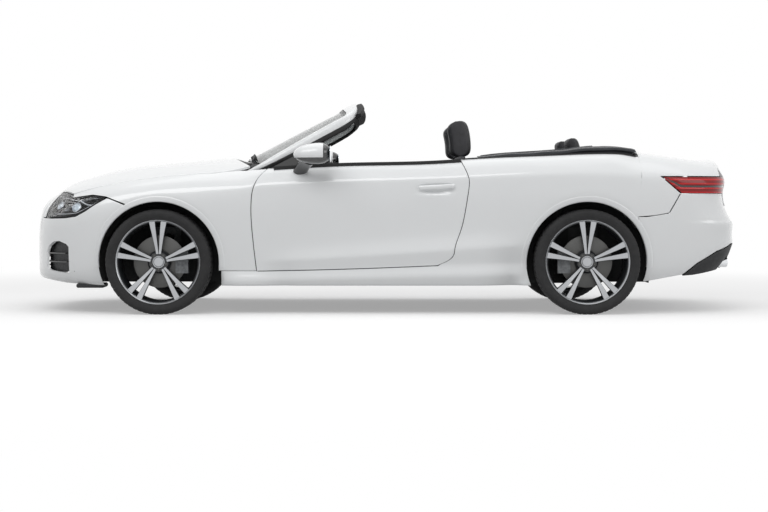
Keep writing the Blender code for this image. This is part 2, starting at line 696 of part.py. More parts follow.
def bake(piece):
    """Turn a piece and its modifiers into a plain mesh."""
    bpy.context.view_layer.update()
    graph = bpy.context.evaluated_depsgraph_get()
    mesh = bpy.data.meshes.new_from_object(piece.evaluated_get(graph))
    piece.modifiers.clear()
    piece.data = mesh
    return piece


def combine(piece, others, operation):
    """Join other solids to a piece, or cut them from it, and remove them."""
    group = bpy.data.collections.new("tools")
    bpy.context.scene.collection.children.link(group)
    for other in others:
        CAR.objects.unlink(other)
        group.objects.link(other)
    change = piece.modifiers.new("combine", "BOOLEAN")
    change.operation, change.solver = operation, "EXACT"
    change.operand_type, change.collection = "COLLECTION", group
    bake(piece)
    for other in others:
        bpy.data.objects.remove(other)
    bpy.data.collections.remove(group)
    return piece


def join(piece, *others):
    """Unite other pieces with a piece."""
    return combine(piece, others, "UNION")


def cut(piece, *others):
    """Cut other pieces out of a piece."""
    return combine(piece, others, "DIFFERENCE")


def mirrored(piece, name):
    """The same piece on the car's other side."""
    mesh = piece.data.copy()
    mesh.transform(Matrix.Diagonal((1, -1, 1, 1)))
    mesh.flip_normals()
    copy = bpy.data.objects.new(name, mesh)
    CAR.objects.link(copy)
    return copy


def hang(piece, pivot):
    """Put a piece's origin on its joint's axis."""
    piece.data.transform(Matrix.Translation(-Vector(pivot)))
    piece.location = pivot


def fan_hit(x, angle):
    """The left flank at x, seen from a line inside the body at an angle above the level."""
    start = np.stack([x, np.full_like(x, -FAN_HALF_WIDTH), np.full_like(x, FAN_HEIGHT)], -1)
    direction = np.stack([np.zeros_like(x), -np.cos(angle), np.sin(angle)], -1)
    return cast(start, direction, RAY_REACH)


def fan_angle(x, height=None, half_width=None):
    """The angle whose ray leaves the body at a height, or on the roof side at a half-width."""
    low = np.full_like(x, FAN_LOWEST if half_width is None else FAN_ROOF_SIDE)
    high = np.full_like(x, FAN_HIGHEST)
    for _ in range(FAN_ROUNDS):
        middle = (low + high) / 2
        hit = fan_hit(x, middle)
        below = hit[..., 2] < height if half_width is None else -hit[..., 1] > half_width
        low, high = np.where(below, middle, low), np.where(below, high, middle)
    return (low + high) / 2


def flank(x_at, foot_at, columns, rows, top_height_at=None, top_half_width_at=None):
    """A stretch of the left flank. x_at(u, z) gives each column's place, and the rows fan up from foot to
    top."""
    u, v = np.meshgrid(columns, rows, indexing="ij")
    z = FAN_HEIGHT * (0.5 + v)
    for _ in range(FIT_ROUNDS):
        x = x_at(u, z)
        low = fan_angle(x, height=foot_at(x))
        if top_height_at:
            high = fan_angle(x, height=top_height_at(x))
        else:
            high = fan_angle(x, half_width=top_half_width_at(x))
        points = fan_hit(x, low + (high - low) * v)
        z = points[..., 2]
    return points


def band_hit(angle, z, sense):
    """The nose (sense -1) or the tail (sense 1), from an upright line inside it, at an angle round from the
    left."""
    start = np.stack([np.full_like(z, sense * BAND_X), np.zeros_like(z), z], -1)
    direction = np.stack([sense * np.sin(angle), -np.cos(angle), np.zeros_like(z)], -1)
    return cast(start, direction, RAY_REACH)


def band(angles, lows, highs, rows, sense, end_half_width=None):
    """A stretch of the nose or tail between two edges given column by column. The last column may keep one
    |y|."""
    v = np.linspace(0, 1, rows)[None, :]
    z = np.asarray(lows)[:, None] * (1 - v) + np.asarray(highs)[:, None] * v
    angle = np.repeat(np.radians(np.asarray(angles, float))[:, None], rows, axis=1)
    if end_half_width:
        for _ in range(2 * FIT_ROUNDS):
            last = band_hit(angle[-1], z[-1], sense)
            angle[-1] = np.arctan2(np.abs(last[..., 0]) - BAND_X, end_half_width)
    return band_hit(angle, z, sense)


def both_sides(angles, *edges):
    """Carry columns that end at the centre plane round to the right side."""
    full = np.concatenate([angles, 180 - np.asarray(angles)[-2::-1]])
    return full, *(np.concatenate([edge, np.asarray(edge)[-2::-1]]) for edge in edges)


def inward(points, depth, along_axes=1.0):
    """Points moved in from the surface, with the move along each axis weighted so that edges stay clear."""
    n = normals_at(points) * along_axes
    n /= np.linalg.norm(n, axis=-1, keepdims=True)
    return points - n * depth


def squared(angles):
    """Weights for inward(): straight across the car beside the flank, and straight along it beside the boot
    lid."""
    round_from_side = np.minimum(angles, 180 - np.asarray(angles, float))
    past_flank = np.clip((round_from_side - CORNER_FIRST) / (CORNER_LAST - CORNER_FIRST), 0, 1)
    past_corner = np.clip((round_from_side - END_FIRST) / (END_LAST - END_FIRST), 0, 1)
    return np.stack([past_flank, 1 - past_corner, past_flank], -1)[:, None, :]


def roof_at(x, y):
    """The upper surface above a point of the plan."""
    x, y = np.broadcast_arrays(np.asarray(x, float), np.asarray(y, float))
    start = np.stack([x, y, np.full_like(x, RAY_START_HEIGHT)], -1)
    return cast(start, np.broadcast_to(np.array([0.0, 0.0, 1.0]), start.shape), RAY_REACH)


def nose_edge_x(y):
    """Where the bonnet's front edge runs, bowed back towards the sides."""
    bow = (np.abs(y) / BONNET_CORNER_HALF_WIDTH) ** 2.2
    return BONNET_NOSE_X + (BONNET_CORNER_X - BONNET_NOSE_X) * bow


def tail_edge_x(y):
    """Where the bonnet's rear edge runs, bowed back towards the sides."""
    bow = (np.abs(y) / BONNET_CORNER_HALF_WIDTH) ** 2.0
    return BONNET_TAIL_X + (BONNET_TAIL_CORNER_X - BONNET_TAIL_X) * bow


def bonnet_front_height(angles):
    """How high the bonnet's front edge runs, by degrees round the nose from the left."""
    y = np.linspace(-BONNET_CORNER_HALF_WIDTH * 1.05, 0, 40)
    edge = roof_at(nose_edge_x(y), y)
    round_from_left = np.degrees(np.arctan2(-BAND_X - edge[..., 0], -edge[..., 1]))
    return np.interp(angles, round_from_left, edge[..., 2])


def edge_heights(angles, shares, gap):
    """An edge given by shares of the height, or by the bonnet's edge less a gap where the share is None."""
    follow = bonnet_front_height(np.asarray(angles, float)) - gap
    return np.array([f if s is None else s * HEIGHT for s, f in zip(shares, follow)])


def make_bonnet():
    """The bonnet with its two hinge arms."""
    u, v = np.meshgrid(np.linspace(0, 1, 8), np.linspace(-1, 1, 9), indexing="ij")
    x, y = np.full_like(u, FRONT_AXLE_X), v * BONNET_CORNER_HALF_WIDTH
    for _ in range(2 * FIT_ROUNDS):
        y = v * bonnet_edge(x)
        x = nose_edge_x(y) * (1 - u) + tail_edge_x(y) * u
    outer = roof_at(x, y)
    inner = outer - np.array([0, 0, BONNET_THICKNESS])
    inner[0, :, 0] += SWING_TAPER
    inner[-1, :, 0] -= SWING_TAPER
    bonnet = shell("bonnet", outer, inner, "body_paint")
    arms = []
    for side in (-1, 1):
        y0, y1 = side * BONNET_HINGE_Y - BONNET_LUG / 2, side * BONNET_HINGE_Y + BONNET_LUG / 2
        x0 = BONNET_AXIS[0] - BONNET_ARM_LENGTH
        low, high = BONNET_AXIS[2] - BONNET_EYE, BONNET_AXIS[2] - BONNET_EYE + BONNET_ARM_HEIGHT
        arms.append(box("arm", (x0, y0, low), (BONNET_AXIS[0], y1, high)))
        eye = (BONNET_AXIS[0], y0, BONNET_AXIS[2]), (BONNET_AXIS[0], y1, BONNET_AXIS[2])
        arms.append(rod("eye", *eye, BONNET_EYE, 12))
    join(bonnet, *arms)
    hang(bonnet, BONNET_AXIS)


def peg(piece, other, low, high):
    """Fix one piece in another with a square peg: part of the first, in a hole of the second."""
    hole_low, hole_high = [v - SEAT_GAP for v in low], [v + SEAT_GAP for v in high]
    cut(other, box("hole", hole_low, hole_high))
    return join(piece, box("peg", low, high))


def peg_between(piece, other, point):
    """A hidden peg round a point that lies inside the skins of two pieces, one above the other."""
    x, y, z = (float(v) for v in point)
    return peg(
        piece, other, (x - PEG_HALF, y - PEG_HALF, z - PEG_REACH),
        (x + PEG_HALF, y + PEG_HALF, z + PEG_REACH),
    )


def make_front_bumper():
    """The nose's painted band, with the openings and the arches cut."""
    angles = np.array([row[0] for row in BUMPER_TOP_SHARES], float)
    highs = edge_heights(angles, [row[1] for row in BUMPER_TOP_SHARES], BONNET_GAP)
    lows = skirt_line(band_hit(np.radians(angles), np.full_like(angles, FAN_HEIGHT), -1)[..., 0])
    angles, lows, highs = both_sides(angles, lows, highs)
    outer = band(angles, lows, highs, 6, -1)
    bumper = shell("front_bumper", outer, inward(outer, BUMPER_THICKNESS), "body_paint")
    cutters = [wheel_space(ARCH_RADIUS, side, FRONT_AXLE_X) for side in (-1, 1)]
    for half_width, low, high in (GRILLE_OPENING, INTAKE_OPENING):
        cutters.append(box("opening", (-LENGTH, -half_width, low), (GRILLE_BACK_X, half_width, high)))
    cut(bumper, *cutters)


def make_grille():
    """The dark plate behind the nose, with a raised field in each opening."""
    half_width = GRILLE_OPENING[0] + GRILLE_MARGIN
    low, high = INTAKE_OPENING[1] - SEAM_GAP, GRILLE_OPENING[2] - GRILLE_MARGIN
    grille = box(
        "grille", (GRILLE_PLATE_X, -half_width, low), (GRILLE_BACK_X, half_width, high), "gloss_black",
    )
    fields = []
    for wide, low, high in (GRILLE_OPENING, INTAKE_OPENING):
        wide, low, high = wide - SEAM_GAP, low + SEAM_GAP, high - SEAM_GAP
        fields.append(box("field", (GRILLE_FACE_X, -wide, low), (GRILLE_BACK_X - SEAM_GAP, wide, high)))
    join(grille, *fields)


def wheel_space(radius, side, axle):
    """The room round a wheel, from inside the body to past its flank."""
    start = (axle, side * FAN_HALF_WIDTH, ROLLING_RADIUS)
    return rod("space", start, (axle, side * WIDTH, ROLLING_RADIUS), radius, ARCH_STEPS)


def make_headlamps():
    """Both head lamps."""
    angles = np.array([row[0] for row in HEADLAMP_SHARES], float)
    lows = edge_heights(angles, [row[1] for row in HEADLAMP_SHARES], 0)
    highs = edge_heights(angles, [row[2] for row in HEADLAMP_SHARES], BONNET_GAP)
    outer = band(angles, lows, highs, 5, -1)
    lamp = shell("headlamp_left", outer, inward(outer, LAMP_THICKNESS), "clear_lens")
    mirrored(lamp, "headlamp_right")


def make_wings():
    """The front wings, from the headlamp to the door."""

    def x_at(u, z):
        return WING_FRONT_X * (1 - u) + (door_front(z) - DOOR_GAP) * u

    outer = flank(x_at, wing_foot, WING_COLUMN_SHARES, DOOR_ROW_SHARES, top_half_width_at=wing_top)
    inner = inward(outer, PANEL_THICKNESS)
    inner[:, -1] = outer[:, -1] - (0, 0, PANEL_THICKNESS)
    inner[:, 0, 2] = outer[:, 0, 2]
    inner[-1, :, 0] -= SWING_TAPER
    wing = shell("fender_left", outer, inner, "body_paint")
    cut(wing, wheel_space(ARCH_RADIUS, -1, FRONT_AXLE_X))
    mirrored(wing, "fender_right")


def door_grid():
    """The left door's outer skin."""

    def x_at(u, z):
        return door_front(z) * (1 - u) + (door_rear(z) - SHUT_GAP / 2) * u

    def foot_at(x):
        return door_foot_line(x) + SHUT_GAP / 2

    return flank(x_at, foot_at, np.linspace(0, 1, 6), DOOR_ROW_SHARES, top_height_at=belt_line)


def make_quarters():
    """Each rear quarter with its sill: the whole wall beside the cabin, and a panel beside the boot."""
    columns = np.array(QUARTER_COLUMN_SHARES) * HALF_LENGTH
    low, high = columns[0], columns[-1]
    shares = (columns - low) / (high - low)

    def top_at(x):
        beside_boot = np.clip((x - DECK_START_X) / (LID_FRONT_X - DECK_START_X), 0, 1)
        return DECK_HALF_WIDTH + (LID_HALF_WIDTH + SHUT_GAP - DECK_HALF_WIDTH) * beside_boot

    outer = flank(
        lambda u, z: low + (high - low) * u, skirt_line, shares, QUARTER_ROWS, top_half_width_at=top_at,
    )
    thin = inward(outer, PANEL_THICKNESS)
    thin[:, -1] = outer[:, -1] - (0, 0, PANEL_THICKNESS)
    wall = outer.copy()
    wall[..., 1] = np.maximum(-WALL_FACE_Y, outer[..., 1] + PANEL_THICKNESS)
    wall[..., 2] = np.minimum(outer[..., 2], outer[:, -1:, 2] - PANEL_THICKNESS * (2 - QUARTER_ROWS))
    beside_cabin = (outer[..., 0] < DECK_START_X)[..., None]
    quarter = shell("quarter_left", outer, np.where(beside_cabin, wall, thin), "body_paint")
    seam = WING_FOOT_SHARES[-1][1] * HEIGHT - SHUT_GAP / 2
    x = float(door_front(np.array(seam)))
    door = [(-HALF_LENGTH, seam), (x - DOOR_GAP, seam)]
    skin = door_grid()[..., (0, 2)]
    edge = skin[-1] + (DOOR_GAP, 0)
    door += (skin[1:-1, 0] - (0, SHUT_GAP)).tolist()
    door.append((edge[0] - (0, SHUT_GAP)).tolist())
    door += edge[1:].tolist()
    past = edge[-1] + (edge[-1] - edge[-2]) * 2
    door += [past.tolist(), (-HALF_LENGTH, float(past[1]))]
    tail = [(x * HALF_LENGTH, z * HEIGHT) for x, z in QUARTER_TAIL_CUT_SHARES]
    cutters = [wheel_space(ARCH_RADIUS, -1, axle) for axle in (FRONT_AXLE_X, REAR_AXLE_X)]
    cutters.append(prism("door", door, "Y", -WIDTH, 0.0))
    cutters.append(prism("tail", tail, "Y", -WIDTH, 0.0))
    cut(quarter, *cutters)
    mirrored(quarter, "quarter_right")


def make_doors():
    """Both doors, with their hinge pockets and bosses, and the mirrors they carry."""
    outer = door_grid()
    inner = outer.copy()
    inner[..., 1] = -WALL_FACE_Y
    inner[0, :, 0] += SWING_TAPER
    inner[-1, :, 0] -= SWING_TAPER
    door = shell("door_left", outer, inner, "body_paint")
    px, py = DOOR_PIN
    pockets, bosses = [], []
    for height in HINGE_HEIGHTS:
        half = HINGE_EAR / 2 + HINGE_ROOM
        outline = [(px + dx, -(py + dy)) for dx, dy in POCKET_OUTLINE]
        pockets.append(prism("pocket", outline, "Z", height - half, height + half))
        for sign in (-1, 1):
            near, far = height + sign * (HINGE_EAR / 2 + SEAT_GAP), height + sign * (half + HINGE_ROOM)
            bosses.append(rod("boss", (px, -py, near), (px, -py, far), HINGE_EYE, 12))
    cut(door, *pockets)
    join(door, *bosses)
    mirror = make_mirror()
    pivot = (px, -py, HINGE_HEIGHTS[0])
    for piece, name in ((door, "door_right"), (mirror, "mirror_right")):
        other = mirrored(piece, name)
        hang(other, (px, py, HINGE_HEIGHTS[0]))
        hang(piece, pivot)


def make_mirror():
    """The door mirror: a rounded shell on an arm whose foot follows the door's skin."""
    low, high = MIRROR_LOW, MIRROR_HIGH
    mirror = box("mirror_left", low, high, "body_paint")
    bevel = mirror.modifiers.new("round", "BEVEL")
    bevel.width, bevel.segments, bevel.limit_method = MIRROR_ROUND, 2, "NONE"
    bake(mirror)
    x0, x1, z0, z1 = MIRROR_FOOT
    u, v = np.meshgrid([0.0, 1.0], np.linspace(0, 1, 4), indexing="ij")
    angle = fan_angle(x0 + (x1 - x0) * u, height=z0 + (z1 - z0) * v)
    skin = fan_hit(x0 + (x1 - x0) * u, angle)
    skin = skin + normals_at(skin) * SEAM_GAP * MIRROR_SEAT_SHARE
    head = skin.copy()
    head[..., 0] += MIRROR_ARM_SHIFT[0]
    head[..., 1] = high[1] - MIRROR_ROUND
    head[..., 2] = np.linspace(*MIRROR_ARM_HEIGHTS, 4)[None, :]
    arm = shell("arm", head, skin, "gloss_black")
    return join(mirror, arm)


def make_lid():
    """The boot lid, over the deck and down the tail."""
    u, v = np.meshgrid(np.linspace(0, 1, 9), np.linspace(-1, 1, 7), indexing="ij")
    y = v * LID_HALF_WIDTH
    first = atan2(LID_FRONT_X - LID_FAN_X, LID_FAN_RISE)
    angle = first + (radians(90) - first) * u
    start = np.stack([np.full_like(y, LID_FAN_X), y, np.full_like(y, LID_FOOT_Z)], -1)
    for _ in range(FIT_ROUNDS):
        outer = cast(start, np.stack([np.sin(angle), np.zeros_like(y), np.cos(angle)], -1), RAY_REACH)
        fix = np.arctan2(LID_FRONT_X - LID_FAN_X, outer[0, :, 2] - LID_FOOT_Z)
        angle = fix[None, :] * (1 - u) + radians(90) * u
    inner = inward(outer, BONNET_THICKNESS)
    inner[0, :, 0] += SWING_TAPER
    inner[-1, :, 2] = outer[-1, :, 2]
    lid = shell("boot_lid", outer, inner, "body_paint")
    x, _, z = LID_AXIS
    notches, lugs = [], []
    for side in (-1, 1):
        middle = side * LID_HINGE_Y
        wide = LID_LUG / 2 + LID_EAR + SEAM_GAP
        notch_low = (LID_FRONT_X - SHUT_GAP, middle - wide, z - LID_EYE - SHUT_GAP)
        notches.append(box("notch", notch_low, (x + LID_EYE + SHUT_GAP, middle + wide, HEIGHT)))
        ends = (x, middle - LID_LUG / 2, z), (x, middle + LID_LUG / 2, z)
        lugs.append(rod("eye", *ends, LID_EYE, 12))
        low = (x, middle - LID_LUG / 2, z - LID_EYE)
        lugs.append(box("lug", low, (x + LID_EYE + LID_LUG / 2, middle + LID_LUG / 2, z)))
    cut(lid, *notches)
    x0, x1, wide, z0, z1 = PLATE_SEAT
    join(lid, *lugs, box("plate", (x0, -wide, z0), (x1, wide, z1)))
    hang(lid, LID_AXIS)


def make_rear_bumper():
    """The rear bumper and the dark panel under it."""
    angles = np.array([row[0] for row in REAR_BUMPER_SHARES], float)
    lows = np.array([row[1] for row in REAR_BUMPER_SHARES]) * HEIGHT
    highs = np.array([row[2] for row in REAR_BUMPER_SHARES]) * HEIGHT
    angles, lows, highs = both_sides(angles, lows, highs)
    outer = band(angles, lows, highs, 5, 1)
    bumper = shell("rear_bumper", outer, inward(outer, BUMPER_THICKNESS, squared(angles)), "body_paint")
    cut(bumper, *(wheel_space(ARCH_RADIUS, side, REAR_AXLE_X) for side in (-1, 1)))
    angles = np.array([row[0] for row in DIFFUSER_SHARES], float)
    lows = np.array([row[1] for row in DIFFUSER_SHARES]) * HEIGHT
    highs = np.array([row[2] for row in DIFFUSER_SHARES]) * HEIGHT
    angles, lows, highs = both_sides(angles, lows, highs)
    outer = band(angles, lows, highs, 4, 1)
    lip = np.linspace(0, 1, 4)[None, :, None] ** 4
    outer = inward(outer, DIFFUSER_SETBACK) * (1 - lip) + outer * lip
    diffuser = shell("rear_diffuser", outer, inward(outer, PANEL_THICKNESS), "dark_plastic")
    openings = []
    for side in (-1, 1):
        low, high = tip_box(side, SHUT_GAP)
        openings.append(box("opening", low, high))
    cut(diffuser, *openings)


def tip_box(side, grow):
    """The corners of one exhaust tip's box, grown by a margin."""
    x0, x1, y0, y1, z0, z1 = EXHAUST_TIP
    ys = sorted((side * (y0 - grow), side * (y1 + grow)))
    return (x0, ys[0], z0 - grow), (x1, ys[1], z1 + grow)


def make_tail_lamps():
    """Both tail lamps."""
    angles = np.array([row[0] for row in TAIL_LAMP_SHARES], float)
    lows = np.array([row[1] for row in TAIL_LAMP_SHARES]) * HEIGHT
    highs = np.array([row[2] for row in TAIL_LAMP_SHARES]) * HEIGHT
    outer = band(angles, lows, highs, 4, 1, LID_HALF_WIDTH + SHUT_GAP)
    lamp = shell("tail_lamp_left", outer, inward(outer, BUMPER_THICKNESS, squared(angles)), "red_lens")
    mirrored(lamp, "tail_lamp_right")


def screen_edge():
    """The screen opening's edge, from the left pillar's foot over the header to the right one's."""
    half = np.array(
        [[c * s for c, s in zip(row[:3], (HALF_LENGTH, HALF_WIDTH, HEIGHT))] for row in SCREEN_EDGE_SHARES]
    )
    size = np.array([[v * HEIGHT for v in row[3:]] for row in SCREEN_EDGE_SHARES])
    full = np.concatenate([half * (1, -1, 1), half[-2::-1]])
    return full, np.concatenate([size, size[-2::-1]])


def make_windscreen():
    """The windscreen's frame and pane."""
    edge, size = screen_edge()
    count = len(edge)
    middle = np.array([SCREEN_AIM[0], 0.0, SCREEN_AIM[1]])
    normal = np.array([-sin(SCREEN_SLOPE), 0.0, cos(SCREEN_SLOPE)])
    tangent = np.gradient(edge, axis=0)
    tangent /= np.linalg.norm(tangent, axis=1, keepdims=True)
    out = np.cross(normal, tangent)
    out /= np.linalg.norm(out, axis=1, keepdims=True)
    out *= np.sign(np.sum(out * (edge - middle), axis=1))[:, None]
    wide, deep = size[:, :1], size[:, 1:]
    ring = [edge, edge + out * wide, edge + out * wide - normal * deep, edge - normal * deep]
    ring[1] = ring[1] - normal * deep * FRAME_FALL
    rings = np.stack(ring, 1)
    number = np.arange(count * 4).reshape(count, 4)
    faces = []
    for i in range(count - 1):
        for j in range(4):
            k = (j + 1) % 4
            faces.append((number[i, j], number[i + 1, j], number[i + 1, k], number[i, k]))
    faces += [tuple(number[0][::-1]), tuple(number[-1])]
    faces = [tuple(int(n) for n in f) for f in faces]
    frame = solid("windscreen_frame", rings.reshape(-1, 3).tolist(), faces, "body_paint")
    cut(frame, box("foot", (-HALF_LENGTH, -WIDTH, 0.0), (0.0, WIDTH, COWL_BOTTOM + SEAT_GAP)))
    make_glass(edge, out, normal)


def make_glass(edge, out, normal):
    """The windscreen's bent pane, from the cowl to the header and from pillar to pillar."""
    top = edge - out * SEAM_GAP
    first = SCREEN_FIRST_GLASS_ROW
    half = len(top) // 2
    left = top[first : half + 1]
    rows = []
    for p in left[: SCREEN_PILLAR_ROWS + 1]:
        share = (left[SCREEN_PILLAR_ROWS][2] - p[2]) / (left[SCREEN_PILLAR_ROWS][2] - left[0][2])
        v = np.linspace(-1, 1, 11)
        bow = GLASS_TOP_BOW + (GLASS_FOOT_BOW - GLASS_TOP_BOW) * share
        row = np.stack([p[0] - bow * (1 - v * v), v * abs(p[1]), np.full_like(v, p[2])], -1)
        row[:, 2] += GLASS_TOP_CROWN * (1 - share) * (1 - np.abs(v) ** 2.2) + GLASS_FOOT_CROWN * share * (
            1 - v * v
        )
        rows.append(row)
    outer = np.stack(rows)
    shell("windscreen_glass", outer, outer - normal * GLASS_THICKNESS, "glass")


def make_cowl():
    """The dark panel between bonnet and pane, notched for the hinges."""
    u, v = np.meshgrid(np.linspace(0, 1, 3), np.linspace(-1, 1, 11), indexing="ij")
    y = v * COWL_HALF_WIDTH
    front = tail_edge_x(y) + COWL_GAP
    foot_x, foot_z = SCREEN_FOOT
    rear = foot_x - GLASS_FOOT_BOW * (1 - (y / COWL_GLASS_HALF_WIDTH) ** 2) - COWL_GLASS_GAP
    x = front * (1 - u) + rear * u
    roof = roof_at(front, y)[..., 2] - COWL_DROP
    foot = foot_z + GLASS_FOOT_CROWN * (1 - (y / COWL_GLASS_HALF_WIDTH) ** 2) - COWL_DROP
    outer = np.stack([x, y, roof * (1 - u) + foot * u], -1)
    inner = outer.copy()
    inner[..., 2] = COWL_BOTTOM + SEAT_GAP
    cowl = shell("cowl", outer, inner, "dark_plastic")
    notches = []
    for side in (-1, 1):
        middle, wide = side * BONNET_HINGE_Y, BONNET_LUG / 2 + BONNET_EAR + SHUT_GAP
        high = (BONNET_AXIS[0] + BONNET_EYE + SHUT_GAP, middle + wide, HEIGHT)
        notches.append(box("notch", (-HALF_LENGTH, middle - wide, 0.0), high))
    cut(cowl, *notches)


def make_tub():
    """Floor, wheel houses, firewall, door posts, bulkhead and boot floor, welded into one."""
    fx, rx = FRONT_AXLE_X, REAR_AXLE_X
    reach = LINER_RADIUS
    front, rear = FLOOR_FRONT_X, RISER_X
    wide, narrow = WALL_FACE_Y - SEAT_GAP, FRONT_LINER_Y - LINER_WALL / 2
    plan = [
        (front, -narrow), (fx + reach - LINER_WALL / 2, -narrow), (fx + reach - LINER_WALL / 2, -wide),
        (rx - reach + LINER_WALL / 2, -wide), (rx - reach + LINER_WALL / 2, -REAR_LINER_Y - LINER_WALL / 2),
        (rear, -REAR_LINER_Y - LINER_WALL / 2),
    ]
    plan += [(x, -y) for x, y in plan[::-1]]
    tub = prism("floor_pan", plan, "Z", FLOOR_BOTTOM, FLOOR_TOP, "dark_plastic")
    parts = []
    for axle, inside, outside in (
        (fx, FRONT_LINER_Y, FRONT_LINER_OUT_Y), (rx, REAR_LINER_Y, WALL_FACE_Y - SEAT_GAP),
    ):
        for side in (-1, 1):
            parts.append(make_liner(axle, side, inside, outside))
    thick = PLATE
    x = FIREWALL_X
    parts.append(
        box(
            "firewall", (x, -FIREWALL_HALF_WIDTH, FLOOR_BOTTOM + PLATE / 2),
            (x + thick, FIREWALL_HALF_WIDTH, COWL_BOTTOM),
        ),
    )
    shelf_end = BONNET_AXIS[0] + BONNET_EYE
    parts.append(
        box(
            "shelf", (x, -FIREWALL_HALF_WIDTH, COWL_BOTTOM - PLATE),
            (shelf_end, FIREWALL_HALF_WIDTH, COWL_BOTTOM),
        ),
    )
    parts.append(
        box(
            "tunnel", (x + thick / 2, -TUNNEL_HALF_WIDTH, FLOOR_TOP - PLATE / 2),
            (TUNNEL_END_X, TUNNEL_HALF_WIDTH, TUNNEL_TOP),
        ),
    )
    parts.append(
        box(
            "riser", (RISER_X, -REAR_FLOOR_HALF_WIDTH, FLOOR_BOTTOM),
            (RISER_X + thick, REAR_FLOOR_HALF_WIDTH, BOOT_FLOOR_TOP),
        ),
    )
    parts.append(
        box(
            "boot_floor", (RISER_X + thick / 2, -REAR_FLOOR_HALF_WIDTH, BOOT_FLOOR_TOP - thick),
            (TAIL_WALL_X + thick, REAR_FLOOR_HALF_WIDTH, BOOT_FLOOR_TOP - thick * 0.2),
        ),
    )
    parts.append(
        box(
            "tail_wall", (TAIL_WALL_X, -REAR_FLOOR_HALF_WIDTH + thick, BOOT_FLOOR_TOP - thick / 2),
            (TAIL_WALL_X + thick * 0.9, REAR_FLOOR_HALF_WIDTH - thick, TAIL_WALL_TOP),
        ),
    )
    parts.append(
        box(
            "bulkhead", (BULKHEAD_X, -BULKHEAD_HALF_WIDTH, BOOT_FLOOR_TOP - thick / 2),
            (BULKHEAD_X + thick, BULKHEAD_HALF_WIDTH, BULKHEAD_TOP),
        ),
    )
    px, py = DOOR_PIN
    for side in (-1, 1):
        inner, outer = sorted((side * POST_INNER_Y, side * (WALL_FACE_Y - SEAT_GAP)))
        parts.append(
            box("post", (x + thick / 2, inner, FLOOR_BOTTOM + PLATE / 3), (POST_REAR_X, outer, POST_TOP))
        )
        for height in HINGE_HEIGHTS:
            z0, z1 = height - HINGE_EAR / 2, height + HINGE_EAR / 2
            y0, y1 = sorted((side * (POST_INNER_Y + PLATE / 3), side * EAR_OUTER_Y))
            parts.append(box("arm", (POST_REAR_X - PLATE, y0, z0), (px + HINGE_LEG, y1, z1)))
            y0, y1 = sorted((side * (EAR_OUTER_Y - PLATE / 2), side * py))
            parts.append(box("leg", (px - HINGE_LEG, y0, z0), (px + HINGE_LEG - SEAM_GAP, y1, z1)))
            parts.append(rod("eye", (px, side * py, z0), (px, side * py, z1), HINGE_EYE, 12))
        for sign in (-1, 1):
            near = side * BONNET_HINGE_Y + sign * (BONNET_LUG / 2 + SEAT_GAP)
            far = near + sign * BONNET_EAR
            y0, y1 = sorted((near, far))
            ax, _, az = BONNET_AXIS
            parts.append(
                box("ear", (ax - BONNET_EYE, y0, COWL_BOTTOM - PLATE / 2), (ax + BONNET_EYE, y1, az))
            )
            parts.append(rod("eye", (ax, y0, az), (ax, y1, az), BONNET_EYE, 12))
    join(tub, *parts)
    return tub


def make_liner(axle, side, inside, outside):
    """A wheel house: an arched shell with an inner wall that lets the suspension through."""
    arc = [
        (axle + LINER_RADIUS * cos(a), ROLLING_RADIUS + LINER_RADIUS * sin(a))
        for a in (pi * i / LINER_STEPS for i in range(LINER_STEPS + 1))
    ]
    inner_radius = LINER_RADIUS - LINER_WALL
    hollow = [
        (axle + inner_radius * cos(a), ROLLING_RADIUS + inner_radius * sin(a))
        for a in (pi * i / LINER_STEPS for i in range(LINER_STEPS + 1))
    ]
    foot = FLOOR_BOTTOM + LINER_WALL
    arc = [(axle + LINER_RADIUS, foot)] + arc + [(axle - LINER_RADIUS, foot)]
    hollow = [(axle + inner_radius, 0.0)] + hollow + [(axle - inner_radius, 0.0)]
    y0, y1 = sorted((side * (inside - LINER_WALL), side * outside))
    liner = prism("liner", arc, "Y", y0, y1)
    y0, y1 = sorted((side * inside, side * WIDTH))
    space = prism("space", hollow, "Y", y0, y1)
    y0, y1 = sorted((side * (inside - 2 * LINER_WALL), side * WIDTH))
    window = box(
        "window", (axle - LINER_WINDOW, y0, FLOOR_TOP + LINER_WALL),
        (axle + LINER_WINDOW, y1, LINER_WINDOW_TOP),
    )
    return cut(liner, space, window)


def make_tyre():
    """The tyre: a turned section with its bead on the rim."""
    half = TYRE_WIDTH / 2
    bead = RIM_RADIUS - RIM_LIP_RISE + SEAT_GAP
    seat, lip = RIM_WIDTH / 2 - RIM_LIP - SEAT_GAP, RIM_RADIUS + SEAT_GAP
    section = [
        (TYRE_RADIUS, half - TYRE_SHOULDER), ((TYRE_RADIUS + lip) / 2, half), (lip, half - RIM_LIP), (
            lip, seat,
        ),
        (bead, seat),
    ]
    loop = section + [(r, -y) for r, y in section[::-1]]
    return turned("tyre", loop, TYRE_STEPS, "tyre")


